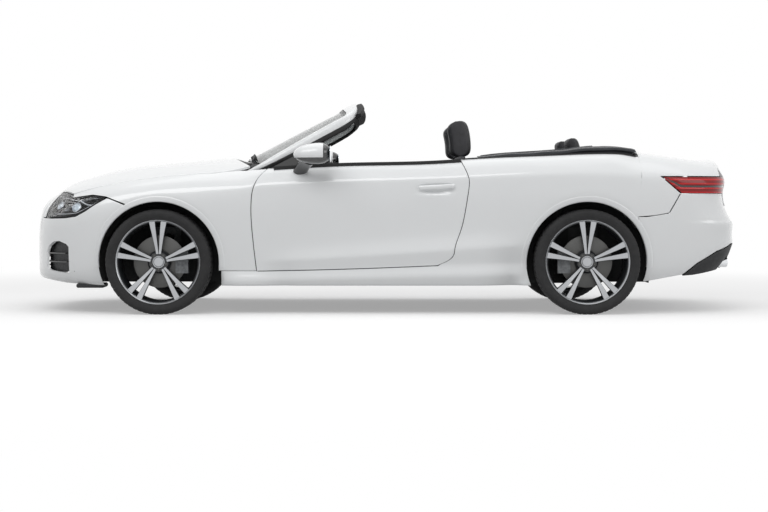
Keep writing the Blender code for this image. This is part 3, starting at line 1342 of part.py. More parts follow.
def turned(name, loop, steps, material):
    """A closed section of (radius, place along Y) turned round the Y axis, with a flat facet at the
    bottom."""
    mesh = bpy.data.meshes.new(name)
    count = len(loop)
    mesh.from_pydata([(r, y, 0) for r, y in loop], [(i, (i + 1) % count) for i in range(count)], [])
    piece = bpy.data.objects.new(name, mesh)
    CAR.objects.link(piece)
    screw = piece.modifiers.new("turn", "SCREW")
    screw.axis, screw.steps, screw.render_steps = "Y", steps, steps
    screw.use_merge_vertices, screw.merge_threshold = True, 0.00001
    bake(piece)
    mesh = piece.data
    mesh.transform(Matrix.Rotation(pi / steps + pi / 2, 4, "Y"))
    form = bmesh.new()
    form.from_mesh(mesh)
    bmesh.ops.remove_doubles(form, verts=form.verts, dist=0.00001)
    bmesh.ops.recalc_face_normals(form, faces=form.faces)
    form.to_mesh(mesh)
    form.free()
    mesh.materials.clear()
    mesh.materials.append(MATERIALS[material])
    mesh.set_sharp_from_angle(angle=radians(SMOOTH_ANGLE))
    return piece


def make_rim():
    """The rim with its twin spokes, hub and brake disc. The outer face looks along -Y."""
    half = RIM_WIDTH / 2
    seat = RIM_RADIUS - RIM_LIP_RISE
    wall = seat - RIM_WALL
    loop = [
        (RIM_RADIUS, -half), (RIM_RADIUS, -half + RIM_LIP), (seat, -half + RIM_LIP), (seat, half),
        (wall, half), (wall, -half),
    ]
    rim = turned("rim", loop, TYRE_STEPS, "alloy")
    parts = [rod("hub", (0, HUB_INNER, 0), (0, -HUB_FACE, 0), HUB_RADIUS, 16)]
    parts.append(rod("disc", (0, DISC_INNER, 0), (0, DISC_INNER - DISC_THICKNESS, 0), DISC_RADIUS, 16))
    for i in range(SPOKE_COUNT):
        turn = Matrix.Rotation(2 * pi * i / SPOKE_COUNT, 4, "Y")
        for side in (-1, 1):
            parts.append(make_arm(side, turn))
    return join(rim, *parts)


def make_arm(side, turn):
    """One arm of a twin spoke, from the hub to the rim."""
    ends = (
        (HUB_RADIUS * 0.6, SPOKE_HUB_GAP / 2, SPOKE_HUB_WIDTH, HUB_FACE - SEAM_GAP),
        (
            RIM_RADIUS - RIM_LIP_RISE - SPOKE_SEAT, SPOKE_RIM_GAP / 2, SPOKE_RIM_WIDTH,
            RIM_WIDTH / 2 - SPOKE_FACE_INSET,
        ),
    )
    points = []
    for reach, gap, wide, face in ends:
        for x, y in (
            (gap, face), (gap + wide, face), (gap + wide, face - SPOKE_DEPTH), (gap, face - SPOKE_DEPTH),
        ):
            points.append(turn @ Vector((side * x, -y, reach)))
    faces = [(0, 1, 2, 3), (7, 6, 5, 4)] + [(i, i + 4, (i + 1) % 4 + 4, (i + 1) % 4) for i in range(4)]
    return solid("arm", [tuple(p) for p in points], faces, "alloy")


def make_wheels():
    """Four tyres and four rims, from one of each."""
    tyre, rim = make_tyre(), make_rim()
    for place_name, x, side in (
        ("front_left", FRONT_AXLE_X, -1), ("front_right", FRONT_AXLE_X, 1),
        ("rear_left", REAR_AXLE_X, -1), ("rear_right", REAR_AXLE_X, 1),
    ):
        for piece, kind in ((tyre, "tyre"), (rim, "rim")):
            mesh = piece.data.copy()
            if side > 0:
                mesh.transform(Matrix.Diagonal((1, -1, 1, 1)))
                mesh.flip_normals()
            copy = bpy.data.objects.new(f"{kind}_{place_name}", mesh)
            CAR.objects.link(copy)
            copy.location = (x, side * HALF_TRACK, ROLLING_RADIUS)
    for piece in (tyre, rim):
        bpy.data.objects.remove(piece)


def caliper(side, axle, sign):
    """A brake caliper over the disc, at the front (-1) or the rear (1) of it."""
    inner, outer = HALF_TRACK - DISC_INNER - CALIPER_WALL, HALF_TRACK - DISC_INNER + DISC_THICKNESS + CALIPER_WALL
    y0, y1 = sorted((side * inner, side * outer))
    x0, x1 = sorted((axle + sign * CALIPER_IN, axle + sign * CALIPER_OUT))
    half = CALIPER_LENGTH / 2
    body = box("caliper", (x0, y0, ROLLING_RADIUS - half), (x1, y1, ROLLING_RADIUS + half))
    y0, y1 = sorted((side * (inner + CALIPER_WALL - DISC_ROOM), side * (outer - CALIPER_WALL + DISC_ROOM)))
    start, end = (axle, y0, ROLLING_RADIUS), (axle, y1, ROLLING_RADIUS)
    return cut(body, rod("slot", start, end, DISC_RADIUS + DISC_ROOM, 30))


def make_knuckles():
    """Both front knuckles, with hub and brake caliper."""
    for side, name in ((-1, "knuckle_left"), (1, "knuckle_right")):
        x, y, z = FRONT_AXLE_X, side * KINGPIN_Y, ROLLING_RADIUS
        y0, y1 = sorted((y - side * KNUCKLE_DEPTH / 2, y + side * KNUCKLE_DEPTH / 2))
        half = KNUCKLE_DEPTH / 2
        knuckle = box(name, (x - half, y0, KNUCKLE_FOOT), (x + half, y1, KNUCKLE_TOP), "steel")
        face = side * (HALF_TRACK - HUB_INNER - SEAT_GAP)
        hub = rod("hub", (x, y - side * half / 2, z), (x, face, z), BEARING_RADIUS, 20)
        reach = CALIPER_IN + BEARING_RADIUS / 4
        y0, y1 = sorted((side * (KINGPIN_Y - half / 2), side * (HALF_TRACK - DISC_INNER - DISC_ROOM)))
        bracket = box("bracket", (x, y0, z - half), (x + reach, y1, z + half))
        join(knuckle, hub, bracket, caliper(side, x, 1))
        hang(knuckle, (x, y, z))


def make_subframe():
    """The front crossmember with its towers and arms, and the engine as a block."""
    x, half = FRONT_AXLE_X, TOWER_HALF
    foot = FLOOR_TOP + SEAT_GAP
    reach = FRONT_LINER_Y - 2 * LINER_WALL
    frame = box(
        "front_subframe", (x - 2 * half, -reach + half, foot),
        (x + 2 * half, reach - half, ENGINE_FOOT - SEAT_GAP), "steel",
    )
    parts = []
    for side in (-1, 1):
        y0, y1 = sorted((side * (reach - 2 * half), side * reach))
        parts.append(box("tower", (x - half, y0, foot), (x + half, y1, KNUCKLE_TOP + ARM_DEPTH)))
        y0, y1 = sorted((side * (reach - half), side * (KINGPIN_Y + ARM_OVERHANG)))
        wide = half * ARM_NARROWING
        parts.append(
            box(
                "arm", (x - wide, y0, KNUCKLE_FOOT - SEAT_GAP - ARM_DEPTH),
                (x + wide, y1, KNUCKLE_FOOT - SEAT_GAP),
            ),
        )
        parts.append(
            box(
                "arm", (x - wide, y0, KNUCKLE_TOP + SEAT_GAP),
                (x + wide, y1, KNUCKLE_TOP + ARM_DEPTH - SEAM_GAP),
            ),
        )
    join(frame, *parts)
    x0, x1, wide, high = ENGINE
    engine = box("engine_block", (x0, -wide, ENGINE_FOOT), (x1, wide, high), "steel")
    bevel = engine.modifiers.new("edges", "BEVEL")
    bevel.width, bevel.segments, bevel.limit_method = ENGINE_EDGE, 1, "NONE"
    bake(engine)


def make_rear_axle():
    """The rear axle: shaft, case, bearings and calipers."""
    x, z = REAR_AXLE_X, ROLLING_RADIUS
    roof = BOOT_FLOOR_TOP - PLATE - SEAT_GAP
    face = HALF_TRACK - HUB_INNER - SEAT_GAP
    axle = rod("rear_axle", (x, -face, z), (x, face, z), SHAFT_RADIUS, 16, "steel")
    parts = [box("case", (x - SHAFT_RADIUS, -CASE_HALF, z - CASE_DROP), (x + CASE_LENGTH, CASE_HALF, roof))]
    for side in (-1, 1):
        parts.append(
            rod("bearing", (x, side * (face - KNUCKLE_DEPTH), z), (x, side * face, z), BEARING_RADIUS, 20)
        )
        y0, y1 = sorted((side * (face - KNUCKLE_DEPTH), side * (HALF_TRACK - DISC_INNER - DISC_ROOM)))
        half = KNUCKLE_DEPTH / 2
        parts.append(box("bracket", (x - CALIPER_IN - BEARING_RADIUS / 4, y0, z - half), (x, y1, z + half)))
        parts.append(caliper(side, x, -1))
    join(axle, *parts)


def make_exhaust():
    """The muffler with two hollow tips."""
    x0, x1, wide, low = MUFFLER
    top = BOOT_FLOOR_TOP - PLATE - SEAT_GAP
    exhaust = box("exhaust", (x0, -wide, low), (x1, wide, top), "chrome")
    bevel = exhaust.modifiers.new("edges", "BEVEL")
    bevel.width, bevel.segments, bevel.limit_method = MUFFLER_EDGE, 1, "NONE"
    bake(exhaust)
    tips, bores = [], []
    for side in (-1, 1):
        low, high = tip_box(side, 0)
        low = (x1 - MUFFLER_EDGE, low[1], low[2])
        tips.append(box("tip", low, high))
        low, high = tip_box(side, -TIP_WALL)
        bores.append(
            box("bore", (low[0] + TIP_WALL * 4, low[1], low[2]), (high[0] + TIP_WALL, high[1], high[2]))
        )
    join(exhaust, *tips)
    cut(exhaust, *bores)


def make_seats():
    """The front seats and the rear bench, each with headrests."""
    for side, name in ((-1, "front_seat_left"), (1, "front_seat_right")):
        y = side * SEAT_Y
        seat = prism(name, side_shares(FRONT_SEAT_SHARES), "Y", y - SEAT_HALF, y + SEAT_HALF, "leather")
        rest = prism("rest", side_shares(HEADREST_SHARES), "Y", y - HEADREST_HALF, y + HEADREST_HALF)
        join(seat, rest)
    seat = prism("rear_seat", side_shares(REAR_SEAT_SHARES), "Y", -REAR_SEAT_HALF, REAR_SEAT_HALF, "leather")
    rests = []
    for side in (-1, 1):
        y = side * REAR_REST_Y
        rests.append(prism("rest", side_shares(REAR_REST_SHARES), "Y", y - HEADREST_HALF, y + HEADREST_HALF))
    join(seat, *rests)


def side_shares(rows):
    """A side outline in metres from a table of shares."""
    return [(x * HALF_LENGTH, z * HEIGHT) for x, z in rows]


def make_cabin():
    """Dashboard, centre console, steering column and steering wheel."""
    prism("dashboard", side_shares(DASH_SHARES), "Y", -DASH_HALF, DASH_HALF, "dark_plastic")
    prism("centre_console", side_shares(CONSOLE_SHARES), "Y", -CONSOLE_HALF, CONSOLE_HALF, "dark_plastic")
    centre, tilt = Vector(STEERING_CENTRE), radians(STEERING_TILT_DEG)
    lean = Vector((cos(tilt), 0, sin(tilt)))
    bpy.ops.mesh.primitive_torus_add(
        major_radius=STEERING_RADIUS, minor_radius=STEERING_GRIP, major_segments=16, minor_segments=6,
        location=(0, 0, 0),
    )
    wheel = bpy.context.object
    for group in wheel.users_collection:
        group.objects.unlink(wheel)
    CAR.objects.link(wheel)
    wheel.name = wheel.data.name = "steering_wheel"
    wheel.data.materials.append(MATERIALS["leather"])
    half = STEERING_GRIP * 1.2
    spokes = [
        box("spoke", (-STEERING_RADIUS, -half, -half / 2), (STEERING_RADIUS, half, half / 2)),
        box("spoke", (0, -half, -half / 2.1), (STEERING_RADIUS, half, half / 2.1)),
        rod("boss", (0, 0, -STEERING_BOSS / 2), (0, 0, STEERING_BOSS / 4), STEERING_BOSS, 20),
    ]
    spokes[0].data.transform(Matrix.Rotation(pi / 2, 4, "Z"))
    join(wheel, *spokes)
    turn = lean.to_track_quat("Z", "Y").to_matrix().to_4x4()
    wheel.data.transform(turn)
    wheel.location = centre
    column_end = centre - lean * (STEERING_BOSS / 2 + SEAT_GAP)
    column = rod(
        "steering_column", centre - lean * COLUMN_LENGTH, column_end, COLUMN_RADIUS, 16, "dark_plastic",
    )
    dash = bpy.data.objects["dashboard"]
    join(dash, column)


def make_tonneau():
    """The cover over the folded roof, behind and beside the rear seat."""
    u, v = np.meshgrid(TONNEAU_COLUMN_SHARES, np.linspace(-1, 1, 9), indexing="ij")
    x = np.array(u) * HALF_LENGTH
    y = v * TONNEAU_HALF_WIDTH
    rise = tonneau_line(x) * (1 - TONNEAU_FALL * np.abs(v) ** 4)
    outer = np.stack([x, y, rise], -1)
    inner = outer.copy()
    inner[..., 2] = TONNEAU_FOOT
    cover = shell("tonneau_cover", outer, inner, "soft_top")
    well = [(x * HALF_LENGTH, y * HALF_WIDTH) for x, y in WELL_SHARES]
    well += [(x, -y) for x, y in well[::-1]]
    cut(cover, prism("well", well, "Z", 0.0, 2 * HEIGHT))
    x, _, z = LID_AXIS
    ears = []
    for side in (-1, 1):
        for sign in (-1, 1):
            near = side * LID_HINGE_Y + sign * (LID_LUG / 2 + SEAT_GAP)
            y0, y1 = sorted((near, near + sign * LID_EAR))
            ears.append(box("ear", (TONNEAU_REAR_X - LID_EAR, y0, z - LID_EYE), (x, y1, z)))
            ears.append(rod("eye", (x, y0, z), (x, y1, z), LID_EYE, 12))
    join(cover, *ears)


def fasten():
    """Join what is bolted together: pegs between neighbouring skins and brackets to the tub."""
    pieces = bpy.data.objects
    for side, name in ((-1, "left"), (1, "right")):
        mirror = np.array([1, -side, 1])
        skin = band_hit(np.radians([LAMP_PEG_ANGLE]), np.array([LAMP_PEG_Z]), -1)
        peg_between(pieces[f"headlamp_{name}"], pieces["front_bumper"], (inward(skin, PEG_DEPTH)[0] * mirror))
        skin = band_hit(np.radians([TAIL_PEG_ANGLE]), np.array([TAIL_PEG_Z]), 1)
        peg_between(pieces[f"tail_lamp_{name}"], pieces["rear_bumper"], (inward(skin, PEG_DEPTH)[0] * mirror))
        at = np.array([WING_PEG_X])
        skin = fan_hit(at, fan_angle(at, height=WING_FOOT_SHARES[-1][1] * HEIGHT))
        peg_between(
            pieces[f"fender_{name}"], pieces[f"quarter_{name}"],
            (inward(skin, PANEL_THICKNESS / 2)[0] * mirror),
        )
        x0, x1, y0, y1, z0, z1 = MIRROR_PEG
        y0, y1 = sorted((side * y0, side * y1))
        hung = pieces[f"mirror_{name}"], pieces[f"door_{name}"]
        peg(*hung, (x0, y0, z0), (x1, y1, z1))
    brackets = {"front_bumper": FRONT_BRACKET, "rear_bumper": REAR_BRACKET}
    for name, (x0, x1, y0, y1, z0, z1) in brackets.items():
        join(
            pieces[name], box("bracket", (x0, y0, z0), (x1, y1, z1)),
            box("bracket", (x0, -y1, z0), (x1, -y0, z1)),
        )


def main():
    """Make every piece."""
    make_wings()
    make_quarters()
    make_doors()
    make_bonnet()
    make_lid()
    make_front_bumper()
    make_grille()
    make_headlamps()
    make_rear_bumper()
    make_tail_lamps()
    make_windscreen()
    make_cowl()
    make_tub()
    make_subframe()
    make_rear_axle()
    make_exhaust()
    make_knuckles()
    make_wheels()
    make_seats()
    make_cabin()
    make_tonneau()
    fasten()


main()
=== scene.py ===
"""Looks of a four-seat, two-door convertible car, laid over its packed solids.

The body's outer surface is one field: a side wall, a top, a nose and a tail that blend into each other.
Every painted panel is a stretch of that field, cut along the real shut lines and given a wall of its own.
"""

import json
from math import cos, pi, radians, sin

import bmesh
import bpy
import numpy as np
from bpy.props import FloatProperty, FloatVectorProperty, PointerProperty
from mathutils import Matrix, Vector

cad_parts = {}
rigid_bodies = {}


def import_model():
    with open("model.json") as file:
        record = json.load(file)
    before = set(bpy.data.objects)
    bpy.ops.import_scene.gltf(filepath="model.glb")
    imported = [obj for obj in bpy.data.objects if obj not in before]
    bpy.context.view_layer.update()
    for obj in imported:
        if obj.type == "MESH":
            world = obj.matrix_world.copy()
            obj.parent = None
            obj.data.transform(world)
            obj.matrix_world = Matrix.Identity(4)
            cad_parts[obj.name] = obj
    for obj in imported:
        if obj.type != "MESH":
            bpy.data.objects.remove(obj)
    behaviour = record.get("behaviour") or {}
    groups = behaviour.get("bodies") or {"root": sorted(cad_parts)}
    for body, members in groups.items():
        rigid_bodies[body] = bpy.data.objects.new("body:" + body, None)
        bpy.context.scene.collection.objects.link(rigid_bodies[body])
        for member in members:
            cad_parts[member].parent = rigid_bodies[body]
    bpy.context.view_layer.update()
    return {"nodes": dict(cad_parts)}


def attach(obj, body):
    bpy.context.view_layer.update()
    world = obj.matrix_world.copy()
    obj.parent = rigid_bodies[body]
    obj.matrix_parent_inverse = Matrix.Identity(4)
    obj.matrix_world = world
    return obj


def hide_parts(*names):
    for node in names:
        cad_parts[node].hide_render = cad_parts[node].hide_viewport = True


bl_info = {
    "name": "Convertible car",
    "version": (1, 0, 0),
    "blender": (4, 5, 0),
    "location": "View3D > Sidebar > Convertible",
    "description": "Dresses the convertible car's solids with panels, wheels, lamps, glass and a cabin",
    "category": "Object",
}

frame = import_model()


# Overall sizes of the solids, metres, and the clearances between panels
LENGTH, WIDTH, HEIGHT = 4.7, 1.85, 1.41
HALF_LENGTH, HALF_WIDTH = LENGTH / 2, WIDTH / 2
FRONT_AXLE_X = 0.888 - HALF_LENGTH
REAR_AXLE_X = FRONT_AXLE_X + 2.78
HALF_TRACK = 0.79
TYRE_RADIUS = 0.343
ROLLING_RADIUS = TYRE_RADIUS * cos(pi / 24)
ARCH_RADIUS = 0.393
FLARE_BAND, FLARE_SLOPE = 0.045, 0.22
WALL_FACE_Y = 0.745

# Lines that run along the car. Each row is (x as a share of half the length, height as a share of the height).
CENTRE_LINE_SHARES = (
    (-1.0, 0.397), (-0.992, 0.47), (-0.957, 0.555), (-0.911, 0.6), (-0.866, 0.631), (-0.775, 0.672), (-0.64, 0.702),
    (-0.504, 0.723), (-0.403, 0.734), (-0.213, 0.743), (0.213, 0.769), (0.511, 0.783), (0.617, 0.785), (0.711, 0.768),
    (0.781, 0.749), (0.868, 0.729), (0.911, 0.722), (0.955, 0.7265), (1.0, 0.735),
)
BELT_LINE_SHARES = (
    (-1.0, 0.34), (-0.957, 0.435), (-0.894, 0.515), (-0.809, 0.57), (-0.621, 0.628), (-0.426, 0.661), (-0.319, 0.672),
    (-0.136, 0.69), (0.128, 0.701), (0.281, 0.716), (0.468, 0.729), (0.655, 0.735), (0.809, 0.708), (0.894, 0.686),
    (1.0, 0.672),
)
SHOULDER_LINE_SHARES = (
    (-1.0, 0.5), (-0.78, 0.56), (-0.532, 0.586), (-0.362, 0.594), (-0.16, 0.61), (0.125, 0.6255), (0.422, 0.645),
    (0.563, 0.648), (0.761, 0.635), (1.0, 0.61),
)
WAIST_LINE_SHARES = ((-1.0, 0.46), (-0.349, 0.5), (0.123, 0.5255), (0.5, 0.535), (1.0, 0.52))
SCOOP_LINE_SHARES = ((-1.0, 0.29), (-0.364, 0.285), (-0.232, 0.301), (0.123, 0.357), (0.255, 0.367), (1.0, 0.37))
CREASE_LINE_SHARES = ((-1.0, 0.23), (-0.349, 0.245), (0.123, 0.29), (0.391, 0.318), (1.0, 0.32))
DOOR_FOOT_LINE_SHARES = ((-1.0, 0.195), (-0.353, 0.1985), (0.044, 0.217), (0.145, 0.224), (1.0, 0.235))
SILL_LINE_SHARES = ((-1.0, 0.155), (-0.425, 0.158), (0.123, 0.1766), (0.39, 0.184), (1.0, 0.19))
SKIRT_LINE_SHARES = (
    (-1.0, 0.163), (-0.9, 0.14), (-0.79, 0.1315), (0.7, 0.1315), (0.729, 0.153), (0.832, 0.182), (1.0, 0.2),
)

# Half-width at the shoulder: (x as a share of half the length, half-width as a share of half the width)
PLAN_SHARES = (
    (-1.0, 0.9), (-0.851, 0.97), (-0.622, 1.0), (-0.362, 0.984), (0.0, 0.976), (0.298, 0.984), (0.561, 1.0),
    (0.766, 0.972), (0.936, 0.915), (1.0, 0.89),
)
# End faces on the centre plane: (height as a share of the height, x as a share of half the length)
NOSE_SHARES = (
    (0.12, -0.94), (0.15, -0.985), (0.175, -0.998), (0.215, -1.0), (0.32, -0.999), (0.39, -0.997), (0.44, -0.993),
    (0.5, -0.983), (0.57, -0.955), (0.7, -0.87),
)
TAIL_SHARES = (
    (0.12, 0.9), (0.16, 0.94), (0.2, 0.97), (0.255, 0.992), (0.3, 0.999), (0.37, 0.998), (0.43, 0.996), (0.46, 0.986),
    (0.5, 0.975), (0.56, 0.969), (0.62, 0.973), (0.66, 0.964), (0.7, 0.959), (0.73, 0.961),
)
BELT_HALF_WIDTH = 0.8
CROWN_POWER = 2.3
END_BOW_POWER = 2.6
NOSE_BOW = 0.15
TAIL_BOW = 0.08
NOSE_BLEND = 0.62
TAIL_BLEND = 0.42

# Side wall corners: (line, change of slope, rounding, first x share, last x share, fade as a share)
SHOULDER_SLOPE = 0.6
SHOULDER_ROUNDING = 0.014
BASE_LEAN = 0.02
SIDE_CORNERS = (
    (WAIST_LINE_SHARES, 0.11, 0.06, -0.9, 0.95, 0.3),
    (SCOOP_LINE_SHARES, -0.36, 0.045, -0.22, 0.26, 0.15),
    (CREASE_LINE_SHARES, 0.5, 0.012, -0.26, 0.34, 0.1),
    (DOOR_FOOT_LINE_SHARES, -0.55, 0.012, -0.4, 0.36, 0.08),
    (SILL_LINE_SHARES, 0.7, 0.012, -0.42, 0.36, 0.04),
)
SKIRT_TUCK = 0.3
SKIRT_TUCK_HEIGHT = 0.28
SKIRT_TUCK_ROUNDING = 0.06

# Shut lines seen from the side: (height as a share of the height, x as a share of half the length)
DOOR_FRONT_SHARES = (
    (0.195, -0.3505), (0.252, -0.3545), (0.343, -0.36), (0.434, -0.364), (0.512, -0.364), (0.582, -0.358),
    (0.638, -0.341), (0.68, -0.318), (0.72, -0.3),
)
DOOR_REAR_SHARES = (
    (0.21, 0.125), (0.224, 0.145), (0.245, 0.174), (0.301, 0.195), (0.378, 0.21), (0.483, 0.2245), (0.575, 0.233),
    (0.623, 0.2335), (0.665, 0.2245), (0.708, 0.212), (0.73, 0.205),
)
# Bonnet side edge: (x as a share of half the length, |y| as a share of half the width)
BONNET_EDGE_SHARES = (
    (-0.94, 0.62), (-0.895, 0.715), (-0.864, 0.76), (-0.83, 0.79), (-0.766, 0.818), (-0.62, 0.838), (-0.47, 0.85),
    (-0.431, 0.838), (-0.4, 0.805), (-0.373, 0.757),
)
# Front wing: lower edge as (x share of half the length, z share of the height), upper edge as (x share, |y| share)
WING_FOOT_SHARES = (
    (-0.87, 0.536), (-0.843, 0.543), (-0.804, 0.551), (-0.766, 0.543), (-0.711, 0.509), (-0.692, 0.4905),
    (-0.684, 0.201), (-0.3, 0.201),
)
WING_TOP_SHARES = (
    (-0.87, 0.772), (-0.83, 0.8), (-0.766, 0.8275), (-0.62, 0.8475), (-0.47, 0.8595), (-0.431, 0.8485), (-0.4, 0.842),
    (-0.37, 0.852), (-0.33, 0.865), (-0.3, 0.865),
)
# Front bumper: (degrees round from the left side, upper edge as a share of the height); None follows the bonnet
BUMPER_TOP_SHARES = (
    (-12, 0.471), (-7, 0.4865), (-3.2, 0.5095), (2.6, 0.5355), (8, 0.503), (12.3, 0.472), (16.5, 0.449), (22, 0.4415),
    (30, 0.4395), (36, 0.439), (42.5, 0.4435), (43.1, None), (66, None), (90, None),
)
# Headlamp: (degrees round, lower edge, upper edge as shares of the height); None follows the bonnet
HEADLAMP_SHARES = (
    (3.4, 0.5365, 0.5385), (8, 0.5075, 0.5448), (12.3, 0.4765, 0.544), (16.5, 0.4535, 0.5385), (22, 0.446, None),
    (30, 0.444, None), (36, 0.4435, None), (42.5, 0.448, None),
)
# Rear bumper: (degrees round, lower edge, upper edge as shares of the height)
REAR_BUMPER_SHARES = (
    (-3.2, 0.15, 0.446), (6.4, 0.168, 0.463), (11, 0.176, 0.554), (14, 0.182, 0.554), (20, 0.235, 0.554),
    (29, 0.29, 0.554), (39.2, 0.322, 0.554), (39.7, 0.3225, 0.49), (54, 0.328, 0.49), (72, 0.328, 0.49),
    (90, 0.328, 0.49),
)
DIFFUSER_SHARES = (
    (14.6, 0.17, 0.1785), (20, 0.172, 0.2305), (29, 0.184, 0.2855), (39.2, 0.196, 0.3175), (54, 0.2, 0.3235),
    (72, 0.2, 0.3235), (90, 0.2, 0.3235),
)
TAIL_LAMP_SHARES = (
    (3.8, 0.6275, 0.6325), (6.4, 0.6015, 0.6325), (11.2, 0.56, 0.6325), (18, 0.558, 0.6325), (28, 0.558, 0.6325),
    (38.0, 0.558, 0.6325),
)
# What the quarter panel leaves to the bumper and the lamp, seen from the side: (x share, z share)
QUARTER_TAIL_CUT_SHARES = (
    (0.7, 0.05), (0.7, 0.451), (0.745, 0.4565), (0.784, 0.468), (0.8145, 0.5575), (0.758, 0.6365), (0.905, 0.6365),
    (1.1, 0.6365), (1.1, 0.05),
)
FAN_HALF_WIDTH, FAN_HEIGHT = 0.45, 0.6
BAND_X = 1.75
RAY_REACH = 1.5
BISECTIONS = 22


def spline(rows, scale_in, scale_out):
    """A natural cubic curve through a table of shares, straight past both ends."""
    table = np.array(rows, float)
    at, value = table[:, 0] * scale_in, table[:, 1] * scale_out
    count = len(at)
    step, rise = np.diff(at), np.diff(value)
    matrix, right = np.eye(count), np.zeros(count)
    for i in range(1, count - 1):
        matrix[i, i - 1 : i + 2] = step[i - 1], 2 * (step[i - 1] + step[i]), step[i]
        right[i] = 6 * (rise[i] / step[i] - rise[i - 1] / step[i - 1])
    bend = np.linalg.solve(matrix, right)

    def curve(x):
        x = np.asarray(x, float)
        inside = np.clip(x, at[0], at[-1])
        i = np.clip(np.searchsorted(at, inside) - 1, 0, count - 2)
        h, a = step[i], inside - at[i]
        slope = rise[i] / h - h * (2 * bend[i] + bend[i + 1]) / 6
        y = value[i] + slope * a + bend[i] * a * a / 2 + (bend[i + 1] - bend[i]) * a**3 / (6 * h)
        first = rise[0] / step[0] - step[0] * bend[1] / 6
        last = rise[-1] / step[-1] + step[-1] * bend[-2] / 6
        return y + np.minimum(x - at[0], 0) * first + np.maximum(x - at[-1], 0) * last

    return curve


def along(rows):
    """A height along the car, from a table of shares."""
    return spline(rows, HALF_LENGTH, HEIGHT)


def straight(rows, scale_out):
    """Straight runs between the rows of a table of shares."""
    at, value = np.array(rows, float).T
    return lambda x: np.interp(x, at * HALF_LENGTH, value * scale_out)


centre_line, belt_line = along(CENTRE_LINE_SHARES), along(BELT_LINE_SHARES)
shoulder_line, door_foot_line = along(SHOULDER_LINE_SHARES), along(DOOR_FOOT_LINE_SHARES)
plan_line = spline(PLAN_SHARES, HALF_LENGTH, HALF_WIDTH)
bonnet_edge = spline(BONNET_EDGE_SHARES, HALF_LENGTH, HALF_WIDTH)
nose_line, tail_line = spline(NOSE_SHARES, HEIGHT, HALF_LENGTH), spline(TAIL_SHARES, HEIGHT, HALF_LENGTH)
door_front = spline(DOOR_FRONT_SHARES, HEIGHT, HALF_LENGTH)
door_rear = spline(DOOR_REAR_SHARES, HEIGHT, HALF_LENGTH)
side_corners = [(along(c[0]), *c[1:]) for c in SIDE_CORNERS]
skirt_line = straight(SKIRT_LINE_SHARES, HEIGHT)
wing_top = straight(WING_TOP_SHARES, HALF_WIDTH)


def grid(first, second):
    """Two lists of numbers as the two arrays of a grid, the first down it and the second across it."""
    return np.meshgrid(first, second, indexing="ij")


def xyz(x, y, z):
    """Points from three arrays or numbers, matched in shape."""
    return np.stack(np.broadcast_arrays(x, y, z), -1)


def turns(count):
    """Evenly spaced angles once round a circle, without the last one."""
    return np.linspace(0, 2 * pi, count, endpoint=False)


def ramp(d, rounding):
    """Zero below 0, a straight rise above it, and a hyperbola's rounded corner between."""
    return 0.5 * (d + np.sqrt(d * d + rounding * rounding))


def window(x, first, last, fade):
    """1 between two x shares, falling to 0 over a share past each by the smooth step 3s^2 - 2s^3."""
    s = x / HALF_LENGTH
    inside = np.clip(1 + np.minimum(s - first, last - s) / fade, 0, 1)
    return inside * inside * (3 - 2 * inside)


def blend_max(a, b, width):
    """The larger of two distances, with a cubic fillet where they nearly match."""
    near = np.maximum(width - np.abs(a - b), 0)
    return np.maximum(a, b) + near**3 / (6 * width * width)


def side_width(x, z):
    """Half-width of the side wall: the plan line, less a ramp below or above each crease's line."""
    lift = z - shoulder_line(x)
    crisp = window(x, -0.36, 0.8, 0.3)
    y = plan_line(x) - SHOULDER_SLOPE * (0.35 + 0.65 * crisp) * ramp(lift, SHOULDER_ROUNDING * (5 - 4 * crisp))
    y = y - BASE_LEAN * ramp(-lift, SHOULDER_ROUNDING)
    for line, slope, rounding, first, last, fade in side_corners:
        y = y - slope * window(x, first, last, fade) * ramp(line(x) - z, rounding)
    ends = 1 - window(x, -0.42, 0.4, 0.05)
    y = y - SKIRT_TUCK * ends * ramp(SKIRT_TUCK_HEIGHT - z, SKIRT_TUCK_ROUNDING)
    for axle in (FRONT_AXLE_X, REAR_AXLE_X):
        reach = np.hypot(x - axle, z - ROLLING_RADIUS)
        y = y - FLARE_SLOPE * ramp(ARCH_RADIUS + FLARE_BAND - reach, SHOULDER_ROUNDING)
    return y


def top_height(x, y):
    """The top: the belt line at the sides and the centre line in the middle, joined by a power of |y|."""
    belt = belt_line(x)
    return belt + (centre_line(x) - belt) * (1 - (np.abs(y) / BELT_HALF_WIDTH) ** CROWN_POWER)


def body_field(x, y, z):
    """Below 0 inside the body and above 0 outside it: the side, nose and tail blended, then the top."""
    wide = np.abs(y)
    bow = (wide / HALF_WIDTH) ** END_BOW_POWER
    plan = blend_max(wide - side_width(x, z), nose_line(z) + NOSE_BOW * bow - x, NOSE_BLEND)
    plan = blend_max(plan, x - tail_line(z) + TAIL_BOW * bow, TAIL_BLEND)
    cabin = window(x, -0.3, 0.62, 0.1)
    width = (0.2 - 0.14 * cabin) * (0.25 + 0.75 * np.minimum(wide / BELT_HALF_WIDTH, 1) ** 2)
    return blend_max(plan, z - top_height(x, y), width)


def cast(start, direction):
    """Where rays from inside leave the body, by halving the stretch that holds the crossing."""
    low, high = np.zeros(start.shape[:-1]), np.full(start.shape[:-1], RAY_REACH)
    for _ in range(BISECTIONS):
        middle = (low + high) / 2
        p = start + direction * middle[..., None]
        outside = body_field(p[..., 0], p[..., 1], p[..., 2]) > 0
        low, high = np.where(outside, low, middle), np.where(outside, middle, high)
    return start + direction * ((low + high) / 2)[..., None]


